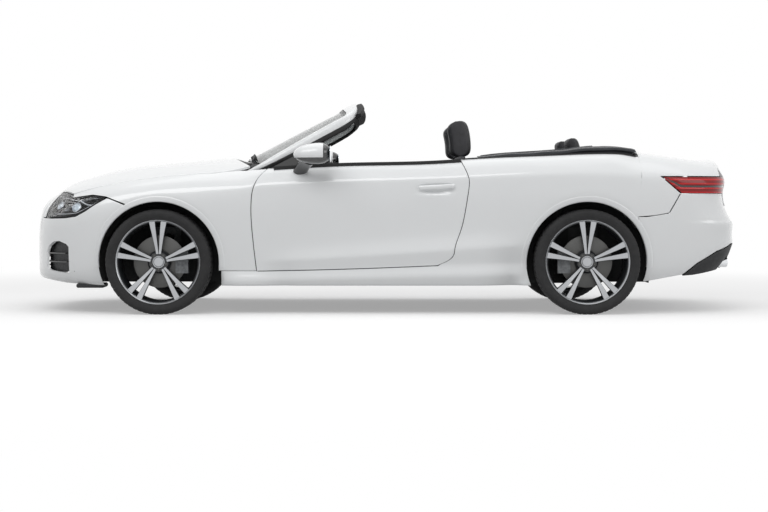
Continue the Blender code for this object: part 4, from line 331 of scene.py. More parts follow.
def normals_at(p):
    """The field's gradient by central differences, at unit length."""
    slopes = []
    for axis in range(3):
        d = np.zeros(3)
        d[axis] = 1e-4
        a, b = p + d, p - d
        slopes.append(body_field(a[..., 0], a[..., 1], a[..., 2]) - body_field(b[..., 0], b[..., 1], b[..., 2]))
    n = np.stack(slopes, -1)
    return n / np.linalg.norm(n, axis=-1, keepdims=True)


def inward(points, depth, weights=1.0):
    """Points moved in against the field's gradient, with the move along each axis weighted."""
    n = normals_at(points) * weights
    n /= np.linalg.norm(n, axis=-1, keepdims=True)
    return points - n * depth


def fan_hit(x, angle):
    """The left flank at x, on a ray from a lengthwise line inside the body at an angle above the level."""
    start = xyz(x, -FAN_HALF_WIDTH, FAN_HEIGHT)
    return cast(start, xyz(0.0, -np.cos(angle), np.sin(angle)))


FAN_X, FAN_ANGLES = np.linspace(-2.3, 2.3, 461), np.radians(np.linspace(-80, 86, 333))
FAN_TABLE = fan_hit(*grid(FAN_X, FAN_ANGLES))


def fan_read(x, angle):
    """The flank read from the table, straight between its four nearest entries."""
    i = np.clip((x - FAN_X[0]) / (FAN_X[1] - FAN_X[0]), 0, len(FAN_X) - 1.001)
    j = np.clip((angle - FAN_ANGLES[0]) / (FAN_ANGLES[1] - FAN_ANGLES[0]), 0, len(FAN_ANGLES) - 1.001)
    a, b = i.astype(int), j.astype(int)
    s, t = (i - a)[..., None], (j - b)[..., None]
    low = FAN_TABLE[a, b] * (1 - t) + FAN_TABLE[a, b + 1] * t
    return low * (1 - s) + (FAN_TABLE[a + 1, b] * (1 - t) + FAN_TABLE[a + 1, b + 1] * t) * s


def fan_angle(x, height=None, half_width=None):
    """The angle whose ray leaves the body at a height, or on the roof side at a half-width, by halving."""
    low = np.full_like(x, radians(-78 if half_width is None else 12))
    high = np.full_like(x, radians(85))
    for _ in range(18):
        middle = (low + high) / 2
        hit = fan_read(x, middle)
        below = hit[..., 2] < height if half_width is None else -hit[..., 1] > half_width
        low, high = np.where(below, middle, low), np.where(below, high, middle)
    return (low + high) / 2


def flank(x_at, foot_at, columns, rows, top_height_at=None, top_half_width_at=None):
    """A stretch of the left flank. x_at(u, z) gives each column's place, and rows fan up from foot to top."""
    u, v = grid(columns, rows)
    z = FAN_HEIGHT * (0.5 + v)
    for _ in range(5):
        x = x_at(u, z)
        low = fan_angle(x, height=foot_at(x))
        if top_height_at:
            high = fan_angle(x, height=top_height_at(x))
        else:
            high = fan_angle(x, half_width=top_half_width_at(x))
        angle = low + (high - low) * v
        z = fan_read(x, angle)[..., 2]
    return fan_hit(x, angle)


def band_hit(angle, z, sense):
    """The nose (sense -1) or tail (sense 1), on a level ray from an upright line, at an angle round from the left."""
    start = xyz(sense * BAND_X, 0.0, z)
    return cast(start, xyz(sense * np.sin(angle), -np.cos(angle), 0.0))


def band(angles, lows, highs, rows, sense, end_half_width=None):
    """A stretch of the nose or tail between two edges given column by column. The last column may keep one |y|."""
    v = np.asarray(rows)[None, :]
    z = np.asarray(lows)[:, None] * (1 - v) + np.asarray(highs)[:, None] * v
    angle = np.repeat(np.radians(np.asarray(angles, float))[:, None], len(rows), axis=1)
    if end_half_width:
        for _ in range(8):
            last = band_hit(angle[-1], z[-1], sense)
            angle[-1] = np.arctan2(np.abs(last[..., 0]) - BAND_X, end_half_width)
    return band_hit(angle, z, sense)


def roof_at(x, y):
    """The upper surface above points of the plan."""
    x, y = np.broadcast_arrays(np.asarray(x, float), np.asarray(y, float))
    start = xyz(x, y, 0.5)
    return cast(start, np.broadcast_to(np.array([0.0, 0.0, 1.0]), start.shape))


# The slot and the body of each piece, by its name
SLOT_OF, PIECE_BODY = {}, {}


def make_piece(name, points, faces, material, body="body_shell", smooth=40):
    """A mesh of the given points and faces, at the origin, riding on a CAD body."""
    mesh = bpy.data.meshes.new(name)
    mesh.from_pydata(np.asarray(points, float).reshape(-1, 3).tolist(), [], faces)
    form = bmesh.new()
    form.from_mesh(mesh)
    bmesh.ops.remove_doubles(form, verts=form.verts, dist=1e-6)
    bmesh.ops.recalc_face_normals(form, faces=form.faces)
    form.to_mesh(mesh)
    form.free()
    return settle(name, mesh, material, body, smooth)


def settle(name, mesh, material, body, smooth):
    """Link a finished mesh, give it its material and slot, shade it smooth below an angle, and let it ride."""
    if name in frame["nodes"]:
        name = f"{name}_fine"
    piece = bpy.data.objects.new(name, mesh)
    mesh.materials.clear()
    mesh.materials.append(finish_of(material))
    mesh.shade_smooth()
    mesh.set_sharp_from_angle(angle=radians(smooth))
    bpy.context.scene.collection.objects.link(piece)
    SLOT_OF[name], PIECE_BODY[name] = FINISHES[material][0], body
    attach(piece, body)
    return piece


def grid_faces(rows, columns, closed_rows=False, closed_columns=False, shift=0):
    """Quads between neighbouring points of a grid, numbered row by row."""
    number = np.arange(rows * columns).reshape(rows, columns) + shift
    if closed_rows:
        number = np.concatenate([number, number[:1]])
    if closed_columns:
        number = np.concatenate([number, number[:, :1]], axis=1)
    quads = np.stack([number[:-1, :-1], number[1:, :-1], number[1:, 1:], number[:-1, 1:]], -1)
    return quads.reshape(-1, 4).tolist()


def shell_parts(outer, inner):
    """Points and faces of a closed wall between two sheets, with a strip round their common rim."""
    rows, columns = outer.shape[:2]
    number = np.arange(rows * columns).reshape(rows, columns)
    faces = grid_faces(rows, columns)
    faces += [f[::-1] for f in grid_faces(rows, columns, shift=rows * columns)]
    rim = np.concatenate([number[0, :-1], number[:-1, -1], number[-1, :0:-1], number[:0:-1, 0]]).tolist()
    faces += [(a, b, b + rows * columns, a + rows * columns) for a, b in zip(rim, rim[1:] + rim[:1])]
    return np.concatenate([outer.reshape(-1, 3), inner.reshape(-1, 3)]), faces


def shell(name, outer, inner, material, body="body_shell", smooth=40):
    """A wall between two sheets as a piece."""
    return make_piece(name, *shell_parts(outer, inner), material, body, smooth)


def hem(points, inset=0.003, fall=None):
    """A panel's sheet with its rim rolled inwards: new points just inside each edge, and the edge itself lowered."""
    # The stored setting has single precision, so its tail is dropped
    fall = fall or round(bpy.context.scene.convertible_body.hem, 6)
    for axis in (0, 1):
        p = np.moveaxis(points, axis, 0)
        first, last = p[1] - p[0], p[-2] - p[-1]
        first = p[0] + first * (inset / np.maximum(np.linalg.norm(first, axis=-1, keepdims=True), inset * 1.01))
        last = p[-1] + last * (inset / np.maximum(np.linalg.norm(last, axis=-1, keepdims=True), inset * 1.01))
        points = np.moveaxis(np.concatenate([p[:1], first[None], p[1:-1], last[None], p[-1:]]), 0, axis)
    rim = np.zeros(points.shape[:2] + (1,))
    rim[0], rim[-1], rim[:, 0], rim[:, -1] = 1, 1, 1, 1
    return inward(points, fall * rim)


def capped(rings):
    """A tube's rings of points with its faces, closed at both ends."""
    count, around = rings.shape[:2]
    ends = [tuple(range(around))[::-1], tuple(range((count - 1) * around, count * around))]
    return rings, grid_faces(count, around, closed_columns=True) + ends


def sweep(path, section, closed=False, up=(0, 0, 1)):
    """A section of (side, rise) pairs carried along a path of points, kept upright to a direction."""
    path, section = np.asarray(path, float), np.asarray(section, float)
    way = np.roll(path, -1, 0) - np.roll(path, 1, 0) if closed else np.gradient(path, axis=0)
    way /= np.linalg.norm(way, axis=1, keepdims=True)
    side = np.cross(way, np.asarray(up, float))
    side /= np.linalg.norm(side, axis=1, keepdims=True)
    rise = np.cross(side, way)
    rings = path[:, None] + side[:, None] * section[None, :, :1] + rise[:, None] * section[None, :, 1:]
    if closed:
        return rings, grid_faces(len(path), len(section), closed_rows=True, closed_columns=True)
    return capped(rings)


def circle(radius, steps=12, squash=1.0):
    """A round section, or an ellipse where squash isn't 1."""
    a = turns(steps)
    return np.stack([radius * np.cos(a), radius * squash * np.sin(a)], -1)


def turned(profile, steps, close=True):
    """A profile of (radius, place along Y) turned round the Y axis; a closed profile has no end caps."""
    radius, place = np.asarray(profile, float).T
    a = turns(steps)[:, None]
    rings = xyz(radius * np.cos(a), place, radius * np.sin(a))
    return rings, grid_faces(steps, len(radius), closed_rows=True, closed_columns=close)


def gather(*parts):
    """Several sets of points and faces as one."""
    points, faces, shift = [], [], 0
    for p, f in parts:
        p = np.asarray(p, float).reshape(-1, 3)
        points.append(p)
        faces += [tuple(n + shift for n in face) for face in f]
        shift += len(p)
    return np.concatenate(points), faces


def slab(low, high, bevel=0.003):
    """A box between two corners with its edges cut back: three nested rings of corners on each face."""
    low, high = np.array(low, float), np.array(high, float)
    middle, half = (low + high) / 2, (high - low) / 2
    b = min(bevel, half.min() * 0.9)
    points = []
    for axis in range(3):
        for sx in (-1, 1):
            for sy in (-1, 1):
                for sz in (-1, 1):
                    s = np.array([sx, sy, sz]) * (half - b * (np.arange(3) != axis))
                    points.append(middle + s)
    return hull(np.array(points))


def hull(points):
    """The convex hull of a set of points."""
    form = bmesh.new()
    for p in points:
        form.verts.new(p)
    bmesh.ops.convex_hull(form, input=form.verts)
    loose = [v for v in form.verts if not v.link_faces]
    bmesh.ops.delete(form, geom=loose, context="VERTS")
    bmesh.ops.dissolve_limit(form, angle_limit=radians(1), verts=form.verts, edges=form.edges)
    form.verts.index_update()
    out = np.array([v.co[:] for v in form.verts]), [tuple(v.index for v in f.verts) for f in form.faces]
    form.free()
    return out


def box(name, low, high, bevel, material, body="body_shell"):
    """A slab as a piece."""
    return make_piece(name, *slab(low, high, bevel), material, body)


def drawn(outline, axis, low, high):
    """An outline drawn out along an axis, with flat ends."""
    order = {"X": (2, 0, 1), "Y": (0, 2, 1), "Z": (0, 1, 2)}[axis]
    outline = np.asarray(outline, float)
    n = len(outline)
    raw = np.concatenate([np.column_stack([outline, np.full(n, low)]), np.column_stack([outline, np.full(n, high)])])
    faces = [tuple(range(n)), tuple(range(n, 2 * n))[::-1]]
    faces += [(i, (i + 1) % n, (i + 1) % n + n, i + n) for i in range(n)]
    return raw[:, order], faces


def tube(start, end, radius, steps=24):
    """A straight round bar between two points."""
    start, end = np.asarray(start, float), np.asarray(end, float)
    up = (0, 0, 1) if abs(end[2] - start[2]) < 0.9 * np.linalg.norm(end - start) else (0, 1, 0)
    return sweep(np.stack([start, end]), circle(radius, steps), up=up)


def cut(piece, *tools, operation="DIFFERENCE"):
    """Cut closed forms from a piece, or join them to it, and keep only the result."""
    group = bpy.data.collections.new("tools")
    bpy.context.scene.collection.children.link(group)
    for points, faces in tools:
        mesh = bpy.data.meshes.new("tool")
        mesh.from_pydata(np.asarray(points, float).reshape(-1, 3).tolist(), [], faces)
        form = bmesh.new()
        form.from_mesh(mesh)
        bmesh.ops.recalc_face_normals(form, faces=form.faces)
        form.to_mesh(mesh)
        form.free()
        group.objects.link(bpy.data.objects.new("tool", mesh))
    change = piece.modifiers.new("cut", "BOOLEAN")
    change.operation, change.solver = operation, "EXACT"
    change.operand_type, change.collection = "COLLECTION", group
    apply_modifiers(piece)
    for tool in list(group.objects):
        bpy.data.objects.remove(tool)
    bpy.data.collections.remove(group)
    piece.data.shade_smooth()
    piece.data.set_sharp_from_angle(angle=radians(40))
    return piece


def apply_modifiers(piece):
    bpy.context.view_layer.update()
    mesh = bpy.data.meshes.new_from_object(piece.evaluated_get(bpy.context.evaluated_depsgraph_get()))
    piece.modifiers.clear()
    piece.data = mesh
    return piece


def mirror(piece, name, body):
    """The same piece on the car's other side, with its faces turned to point out again."""
    mesh = piece.data.copy()
    mesh.transform(Matrix.Diagonal((1, -1, 1, 1)))
    mesh.flip_normals()
    other = bpy.data.objects.new(name, mesh)
    bpy.context.scene.collection.objects.link(other)
    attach(other, body)
    SLOT_OF[name], PIECE_BODY[name] = SLOT_OF[piece.name], body
    return other


def linear(code):
    """An sRGB hex colour as linear RGBA."""
    raw = [int(code[i : i + 2], 16) / 255 for i in (1, 3, 5)]
    return (*(c / 12.92 if c <= 0.04045 else ((c + 0.055) / 1.055) ** 2.4 for c in raw), 1.0)


def add_node(tree, kind, inputs=(), **settings):
    """A node with its settings. inputs pairs a socket's name or number with a value or with another node's output."""
    made = tree.nodes.new(kind)
    for key, value in settings.items():
        setattr(made, key, value)
    for key, value in dict(inputs).items():
        if isinstance(value, bpy.types.NodeSocket):
            tree.links.new(value, made.inputs[key])
        else:
            made.inputs[key].default_value = value
    return made


def where(tree):
    return add_node(tree, "ShaderNodeTexCoord").outputs["Object"]


def bump(tree, surface, height, distance, strength=1.0):
    made = add_node(tree, "ShaderNodeBump", {"Height": height, "Distance": distance, "Strength": strength})
    tree.links.new(made.outputs["Normal"], surface.inputs["Normal"])


def tint(tree, surface, factor, low, high, first=0.0, last=1.0, socket="Base Color"):
    """A colour that runs between two hex values with a factor."""
    ramp_node = add_node(tree, "ShaderNodeValToRGB", {"Fac": factor})
    for stop, place, colour in zip(ramp_node.color_ramp.elements, (first, last), (low, high)):
        stop.position, stop.color = place, linear(colour)
    tree.links.new(ramp_node.outputs["Color"], surface.inputs[socket])


def waves(tree, distance, factor):
    """Even waves over a surface: the sine of a distance times a factor."""
    turn = add_node(tree, "ShaderNodeMath", {0: distance, 1: factor}, operation="MULTIPLY").outputs[0]
    return add_node(tree, "ShaderNodeMath", {0: turn}, operation="SINE").outputs[0]


def noise(tree, scale, detail=4.0, roughness=0.5, vector=None):
    inputs = {"Vector": vector or where(tree), "Scale": scale, "Detail": detail, "Roughness": roughness}
    return add_node(tree, "ShaderNodeTexNoise", inputs).outputs["Fac"]


def turning_rings(tree, scale):
    """Rings round the wheel's own axle, from the radius that each wheel's mesh stores for its points."""
    radius = add_node(tree, "ShaderNodeAttribute", attribute_name="radius").outputs["Fac"]
    return waves(tree, radius, scale * 2 * pi)


# Each finish by its function's name: the record's material slot, the surface's colour and plain values, its texture
FINISHES = {}


def finish(slot, colour, roughness, metallic=0.0, **sockets):
    """Keep the finish that the next function textures, with its slot and the surface's plain values."""
    values = {"Roughness": roughness, "Metallic": metallic, **sockets}

    def keep(texture):
        FINISHES[texture.__name__] = slot, linear(colour), values, texture
        return texture

    return keep


def finish_of(name):
    """A material by its finish's name, made once."""
    material = bpy.data.materials.get(name)
    if material is None:
        _, colour, values, texture = FINISHES[name]
        material = bpy.data.materials.new(name)
        material.use_nodes = True
        surface = material.node_tree.nodes["Principled BSDF"]
        surface.inputs["Base Color"].default_value = colour
        for key, value in values.items():
            surface.inputs[key.replace("_", " ")].default_value = value
        texture(material.node_tree, surface)
    return material


@finish("body_paint", "#EEF0F1", 0.32, IOR=1.5, Coat_Weight=1.0, Coat_IOR=1.5, Coat_Roughness=0.03)
def white_pearl_lacquer(tree, surface):
    """White basecoat with pearl under clear lacquer: even and bright, with a sharp clear reflection on top."""
    surface.inputs["Base Color"].default_value = (*bpy.context.scene.convertible_body.paint, 1.0)
    # Orange peel of sprayed lacquer is about 2 mm across and a few micrometres deep
    bump(tree, surface, noise(tree, 260.0, 2.0), 0.00001, 0.25)


@finish("gloss_black", "#0B0C0D", 0.18, Coat_Weight=1.0, Coat_Roughness=0.03)
def black_lacquer(tree, surface):
    """Black sprayed trim under lacquer: deep and mirror-like."""
    bump(tree, surface, noise(tree, 260.0, 2.0), 0.00001, 0.2)


@finish("dark_plastic", "#1B1C1E", 0.62, IOR=1.49)
def moulded_plastic(tree, surface):
    """Moulded polypropylene with a pebbled tool grain: dark grey, with a broad soft gloss."""
    grain = add_node(tree, "ShaderNodeTexVoronoi", {"Vector": where(tree), "Scale": 420.0})
    # Pebbles of about 2.4 mm, coarser than the real 1 mm grain so that they show
    bump(tree, surface, grain.outputs["Distance"], 0.0004, 0.35)
    tint(tree, surface, noise(tree, 30.0), "#17181A", "#212224", 0.3, 0.7)


@finish("gloss_black", "#101113", 0.45)
def lattice_plastic(tree, surface):
    """Moulded black lattice behind the nose openings: a honeycomb of shallow cells."""
    cell = add_node(tree, "ShaderNodeTexVoronoi", {"Vector": where(tree), "Scale": 70.0}, feature="DISTANCE_TO_EDGE")
    bump(tree, surface, cell.outputs["Distance"], 0.004, 0.7)
    # The cells are painted near-black as the shade inside them, and thin lines along their webs are painted lighter
    # as highlight
    tint(tree, surface, cell.outputs["Distance"], "#26282A", "#050506", 0.03, 0.12)


@finish("dark_plastic", "#0D0D0E", 0.72)
def seal_rubber(tree, surface):
    """Extruded EPDM rubber of the seals: black and almost without gloss."""
    bump(tree, surface, noise(tree, 500.0, 2.0), 0.0001, 0.3)


@finish("tyre", "#1A1A1B", 0.78)
def tyre_rubber(tree, surface):
    """Vulcanised tyre rubber: charcoal, dull, with a faint moulded bloom and dust in the low places."""
    tint(tree, surface, noise(tree, 18.0, 6.0, 0.6), "#161617", "#242425", 0.35, 0.7)
    bump(tree, surface, noise(tree, 700.0, 3.0), 0.00015, 0.4)


@finish("alloy", "#AEB0B3", 0.28, 1.0, Coat_Weight=0.6, Coat_Roughness=0.06)
def machined_aluminium(tree, surface):
    """Diamond-turned wheel face under clear lacquer: bright silver with fine turning rings."""
    rings = turning_rings(tree, 900.0)
    # Turning rings sit 0.4 mm apart on the real face and are drawn at about 1 mm so that they show
    bump(tree, surface, rings, 0.00004, 0.35)


@finish("alloy", "#2C2E31", 0.42, 0.4, Coat_Weight=0.4, Coat_Roughness=0.1)
def wheel_grey_lacquer(tree, surface):
    """Dark grey lacquered pockets of the wheels: a fine metallic grey, satin."""
    tint(tree, surface, noise(tree, 900.0, 2.0), "#242629", "#35373A", 0.35, 0.65)


@finish("steel", "#5C5C5B", 0.42, 0.8)
def cast_iron(tree, surface):
    """Turned cast iron of the brake discs: mid grey with rings from the pads."""
    bump(tree, surface, turning_rings(tree, 400.0), 0.0001, 0.5)


@finish("steel", "#6F7173", 0.6, 0.7)
def cast_aluminium(tree, surface):
    """Sand-cast aluminium of callipers, knuckles and arms: light grey, granular and matt."""
    tint(tree, surface, noise(tree, 60.0, 5.0), "#5E6062", "#7A7C7E", 0.3, 0.7)
    bump(tree, surface, noise(tree, 350.0, 4.0), 0.0004, 0.5)


@finish("dark_plastic", "#18191A", 0.8)
def underbody_coating(tree, surface):
    """Sprayed stone-chip coating on the steel underbody: black, lumpy and dull."""
    bump(tree, surface, noise(tree, 160.0, 6.0, 0.6), 0.0015, 0.5)


@finish("chrome", "#E4E6E8", 0.06, 1.0)
def bright_chrome(tree, surface):
    """Polished chromium plate: a clear mirror."""


@finish("chrome", "#DDE2E6", 0.02, 1.0)
def mirror_silver(tree, surface):
    """Silvered mirror glass."""


@finish("glass", "#98A6A2", 0.0, IOR=1.2, Transmission_Weight=1.0, Alpha=0.6)
def laminated_glass(tree, surface):
    """Laminated windscreen glass: clear with a faint green-grey tint and a sharp reflection."""
    # A slanting look goes through more glass, so the tint deepens towards the edge of sight
    facing = add_node(tree, "ShaderNodeLayerWeight", {"Blend": 0.5}).outputs["Facing"]
    tint(tree, surface, facing, "#C4CFCB", "#4C5553", 0.4, 0.9)


@finish("clear_lens", "#F4F7F9", 0.0, IOR=1.25, Transmission_Weight=1.0, Alpha=0.35)
def clear_polycarbonate(tree, surface):
    """Hard-coated clear polycarbonate of the headlamp covers."""


@finish("chrome", "#D8DBDF", 0.16, 1.0)
def lamp_silver(tree, surface):
    """Vacuum-metallised reflector: bright silver, very slightly diffuse."""


@finish("clear_lens", "#B9C4CE", 0.04, 0.3, Coat_Weight=1.0)
def lamp_lens_glass(tree, surface):
    """Projector lens glass: pale blue-grey and glossy."""


@finish("red_lens", "#A30D12", 0.2, IOR=1.3, Coat_Weight=0.4, Coat_Roughness=0.02)
def red_acrylic(tree, surface):
    """Moulded red acrylic of the tail lamps: deep saturated red with a glossy outer face and a ribbed inner one."""
    split = add_node(tree, "ShaderNodeSeparateXYZ", {"Vector": where(tree)})
    # Light guides run level, about 28 mm apart
    band_wave = waves(tree, split.outputs["Z"], 2 * pi / 0.028)
    tint(tree, surface, band_wave, "#8A060B", "#D0141A", 0.25, 0.75)
    bump(tree, surface, band_wave, 0.0006, 0.4)


@finish("leather", "#26262A", 0.5, IOR=1.48)
def smooth_leather(tree, surface):
    """Finished leather of the seats and wheel: charcoal, pebbled at about 1.5 mm, with a low sheen and creases."""
    grain = add_node(tree, "ShaderNodeTexVoronoi", {"Vector": where(tree), "Scale": 520.0}, feature="SMOOTH_F1")
    crease = noise(tree, 24.0, 6.0, 0.65)
    mixed = add_node(tree, "ShaderNodeMath", {0: grain.outputs["Distance"], 1: crease}, operation="ADD").outputs[0]
    bump(tree, surface, mixed, 0.0006, 0.4)
    # The tone follows the crease relief: darker where the creases sink and lighter where they rise, as painted shade
    tint(tree, surface, crease, "#1F1F22", "#303034", 0.3, 0.75)


@finish("leather", "#8E8E92", 0.7)
def stitching_thread(tree, surface):
    """Grey polyester topstitching thread."""


@finish("soft_top", "#35373A", 0.92, Sheen_Weight=0.35, Sheen_Roughness=0.5)
def acrylic_canvas(tree, surface):
    """Woven acrylic canvas of the folded roof: charcoal, matt, with a 2 mm twill drawn at 4 mm and a soft sheen."""
    split = add_node(tree, "ShaderNodeSeparateXYZ", {"Vector": where(tree)})
    total = add_node(tree, "ShaderNodeMath", {0: split.outputs["X"], 1: split.outputs["Y"]}, operation="ADD")
    total = total.outputs[0]
    bump(tree, surface, waves(tree, total, 2 * pi / 0.004), 0.0005, 0.5)
    tint(tree, surface, noise(tree, 9.0, 6.0, 0.6), "#2D2F32", "#404246", 0.3, 0.72)


@finish("soft_top", "#1C1C1E", 0.95, Sheen_Weight=0.3)
def tufted_carpet(tree, surface):
    """Tufted nylon carpet: black-grey with short upright pile."""
    bump(tree, surface, noise(tree, 420.0, 4.0, 0.7), 0.002, 0.8)


@finish("gloss_black", "#0A0D12", 0.06, Coat_Weight=1.0)
def screen_glass(tree, surface):
    """Dark display glass of the instruments."""


@finish("alloy", "#A9ABAE", 0.32, 1.0)
def brushed_trim(tree, surface):
    """Brushed aluminium trim strips of the cabin."""
    stretched = add_node(tree, "ShaderNodeMapping", {"Vector": where(tree), "Scale": (1.0, 1.0, 60.0)})
    stretched = stretched.outputs["Vector"]
    bump(tree, surface, noise(tree, 60.0, 3.0, 0.6, stretched), 0.0001, 0.3)


@finish("body_paint", "#E9EAE6", 0.35)
def plate_white(tree, surface):
    """Embossed blank plate: white reflective film on aluminium."""


@finish("soft_top", "#202124", 0.85)
def webbing(tree, surface):
    """Woven polyester belt webbing: charcoal, with ribs across it."""
    split = add_node(tree, "ShaderNodeSeparateXYZ", {"Vector": where(tree)})
    bump(tree, surface, waves(tree, split.outputs["Z"], 2 * pi / 0.003), 0.0004, 0.5)


@finish(None, "#FFFFFF", 1.0)
def studio_floor(tree, surface):
    """Seamless white paper. It shows as white in the picture and in reflections, and darkens only in the shadow."""
    settings = bpy.context.scene.convertible_stage
    surface.inputs["Specular IOR Level"].default_value = 0.0
    surface.inputs["Base Color"].default_value = (settings.shadow,) * 3 + (1.0,)
    # Past 4 m from the car the paper's own glow takes over from the lamps, so that no horizon shows
    far = add_node(tree, "ShaderNodeVectorMath", {0: where(tree)}, operation="LENGTH").outputs["Value"]
    fade = add_node(tree, "ShaderNodeMapRange", {"Value": far, "From Min": 3.2, "From Max": 7.0},
                    interpolation_type="SMOOTHSTEP").outputs["Result"]
    glow = add_node(tree, "ShaderNodeEmission", {"Strength": 1.0 - settings.shadow * settings.lit})
    near = add_node(tree, "ShaderNodeAddShader", {0: surface.outputs[0], 1: glow.outputs[0]}).outputs[0]
    white = add_node(tree, "ShaderNodeEmission", {"Strength": 1.0}).outputs[0]
    shown = add_node(tree, "ShaderNodeMixShader", {0: fade, 1: near, 2: white}).outputs[0]
    plain = add_node(tree, "ShaderNodeBsdfDiffuse", {"Color": (settings.bounce,) * 3 + (1.0,)}).outputs[0]
    mixed = add_node(tree, "ShaderNodeMixShader", {0: seen_rays(tree), 1: plain, 2: shown}).outputs[0]
    tree.links.new(mixed, tree.nodes["Material Output"].inputs["Surface"])


BONNET_NOSE_X, BONNET_CORNER_X, BONNET_CORNER_HALF_WIDTH = -2.215, -2.035, 0.7
BONNET_TAIL_X, BONNET_TAIL_CORNER_X = -1.035, -0.88
LID_FRONT_X, LID_HALF_WIDTH, LID_FOOT_Z = 1.665, 0.6, 0.702
LID_FAN_X, LID_FAN_RISE = 1.7, 0.38
DECK_HALF_WIDTH, DECK_START_X = 0.775, 1.658
WING_NOSE_X = -2.035
DOOR_GAP, SHUT_GAP, BONNET_GAP = 0.005, 0.0045, 0.005
INNER = 0.014
DOOR_PIN = (-0.715, 0.862)
HINGE_HEIGHTS = (0.6, 0.82)
HINGE_HALF = 0.02
POCKET = ((-0.01, 0.0155), (0.0155, 0.01), (0.0155, -0.2), (-0.3, -0.2), (-0.3, -0.11), (-0.0165, 0.008))
# The bonnet's hinge arms stand this far from the centre plane
ARM_Y = 0.61
MIRROR_X, MIRROR_Z, MIRROR_Y = (-0.578, -0.328), (0.966, 1.098), (0.93, 1.128)


def steps(count, ends=1.0):
    """Evenly spaced shares from 0 to 1, drawn closer together towards both ends."""
    s = np.linspace(0, 1, count)
    return s + ends * (s * s * (3 - 2 * s) - s)


def refine(shares, parts):
    """A list of shares with every stretch split into the same number of parts."""
    shares = np.asarray(shares, float)
    return np.interp(np.linspace(0, len(shares) - 1, (len(shares) - 1) * parts + 1), np.arange(len(shares)), shares)


def both_sides(angles, *edges):
    """Carry columns that end at the centre plane round to the right side."""
    full = np.concatenate([angles, 180 - np.asarray(angles)[-2::-1]])
    return full, *(np.concatenate([edge, np.asarray(edge)[-2::-1]]) for edge in edges)


def edges_of(rows, angles):
    """The lower and upper edge at each angle, straight between the rows of a table of shares of the height."""
    at, *edges = np.array(rows, float).T
    return [np.interp(angles, at, edge) * HEIGHT for edge in edges]


def squared(angles):
    """Weights for inward() on a hemmed band: straight across the car beside the flank, straight along at the lid."""
    angles = np.concatenate([angles[:1], angles[:1], angles[1:-1], angles[-1:], angles[-1:]])
    turn = np.minimum(angles, 180 - np.asarray(angles, float))
    past_flank, past_corner = np.clip((turn - 11) / 11, 0, 1), np.clip((turn - 30) / 8, 0, 1)
    return xyz(past_flank, 1 - past_corner, past_flank)[:, None, :]


def nose_edge_x(y):
    return BONNET_NOSE_X + (BONNET_CORNER_X - BONNET_NOSE_X) * (np.abs(y) / BONNET_CORNER_HALF_WIDTH) ** 2.2


def tail_edge_x(y):
    return BONNET_TAIL_X + (BONNET_TAIL_CORNER_X - BONNET_TAIL_X) * (np.abs(y) / BONNET_CORNER_HALF_WIDTH) ** 2.0


def bonnet_front_height(angles):
    """How high the bonnet's front edge runs, by degrees round the nose from the left."""
    y = np.linspace(-BONNET_CORNER_HALF_WIDTH * 1.05, 0, 60)
    edge = roof_at(nose_edge_x(y), y)
    return np.interp(angles, np.degrees(np.arctan2(-BAND_X - edge[..., 0], -edge[..., 1])), edge[..., 2])


def edge_heights(rows, column, angles, gap):
    """An edge by shares of the height, or along the bonnet's edge less a gap where the share is None."""
    at = [row[0] for row in rows]
    follow = bonnet_front_height(np.array(at, float)) - gap
    heights = np.array([f if row[column] is None else row[column] * HEIGHT for row, f in zip(rows, follow)])
    smooth = np.interp(angles, at, heights)
    known = np.interp(angles, at, [float(row[column] is None) for row in rows])
    return np.where(known > 0.999, bonnet_front_height(angles) - gap, smooth)


def bonnet():
    """The bonnet: the field's top seen from above, between the nose edge, the tail edge and the wing tops."""
    u, v = grid(steps(90, 0.3), np.linspace(-1, 1, 131))
    x, y = np.full_like(u, FRONT_AXLE_X), v * BONNET_CORNER_HALF_WIDTH
    for _ in range(10):
        y = v * bonnet_edge(x)
        x = nose_edge_x(y) * (1 - u) + tail_edge_x(y) * u
    outer = roof_at(x, y)
    # A pressed crease each side runs from the lamp's inner corner towards the screen's foot
    line = 0.4 + 0.2 * u
    rise = 0.006 * np.exp(-(((np.abs(y) - line) / 0.05) ** 2)) * np.sin(pi * np.clip(u, 0, 1)) ** 0.5
    outer[..., 2] += np.where(np.abs(y) < line, rise, rise * 0.45) * 0.6
    outer = hem(outer)
    inner = outer.copy()
    inner[..., 2] -= INNER
    inner[:2, :, 0] += 0.001
    shell("bonnet", outer, inner, "white_pearl_lacquer", "bonnet_body")
    make_piece("bonnet_arms", *bonnet_arms(), "cast_aluminium", "bonnet_body")


def bonnet_arms():
    parts = []
    for side in (-1, 1):
        y = side * ARM_Y
        parts.append(slab((-0.96, y - 0.01, 0.948), (-0.892, y + 0.01, 0.96), 0.002))
        parts.append(tube((-0.892, y - 0.01, 0.958), (-0.892, y + 0.01, 0.958), 0.01))
    return gather(*parts)


def wheel_room(radius, side, axle, inner=0.45):
    """A round bar across one side of the car, around a wheel's axle."""
    return tube((axle, side * inner, ROLLING_RADIUS), (axle, side * WIDTH, ROLLING_RADIUS), radius, 200)


def pair(piece):
    """The same piece on the right side. Its name and its body end in right instead of left."""
    body = PIECE_BODY[piece.name].replace("left", "right")
    return mirror(piece, piece.name.replace("left", "right"), body)


def side_x(near, far):
    """How each column finds its place along the car, from two curves of height."""
    return lambda u, z: near(z) * (1 - u) + far(z) * u


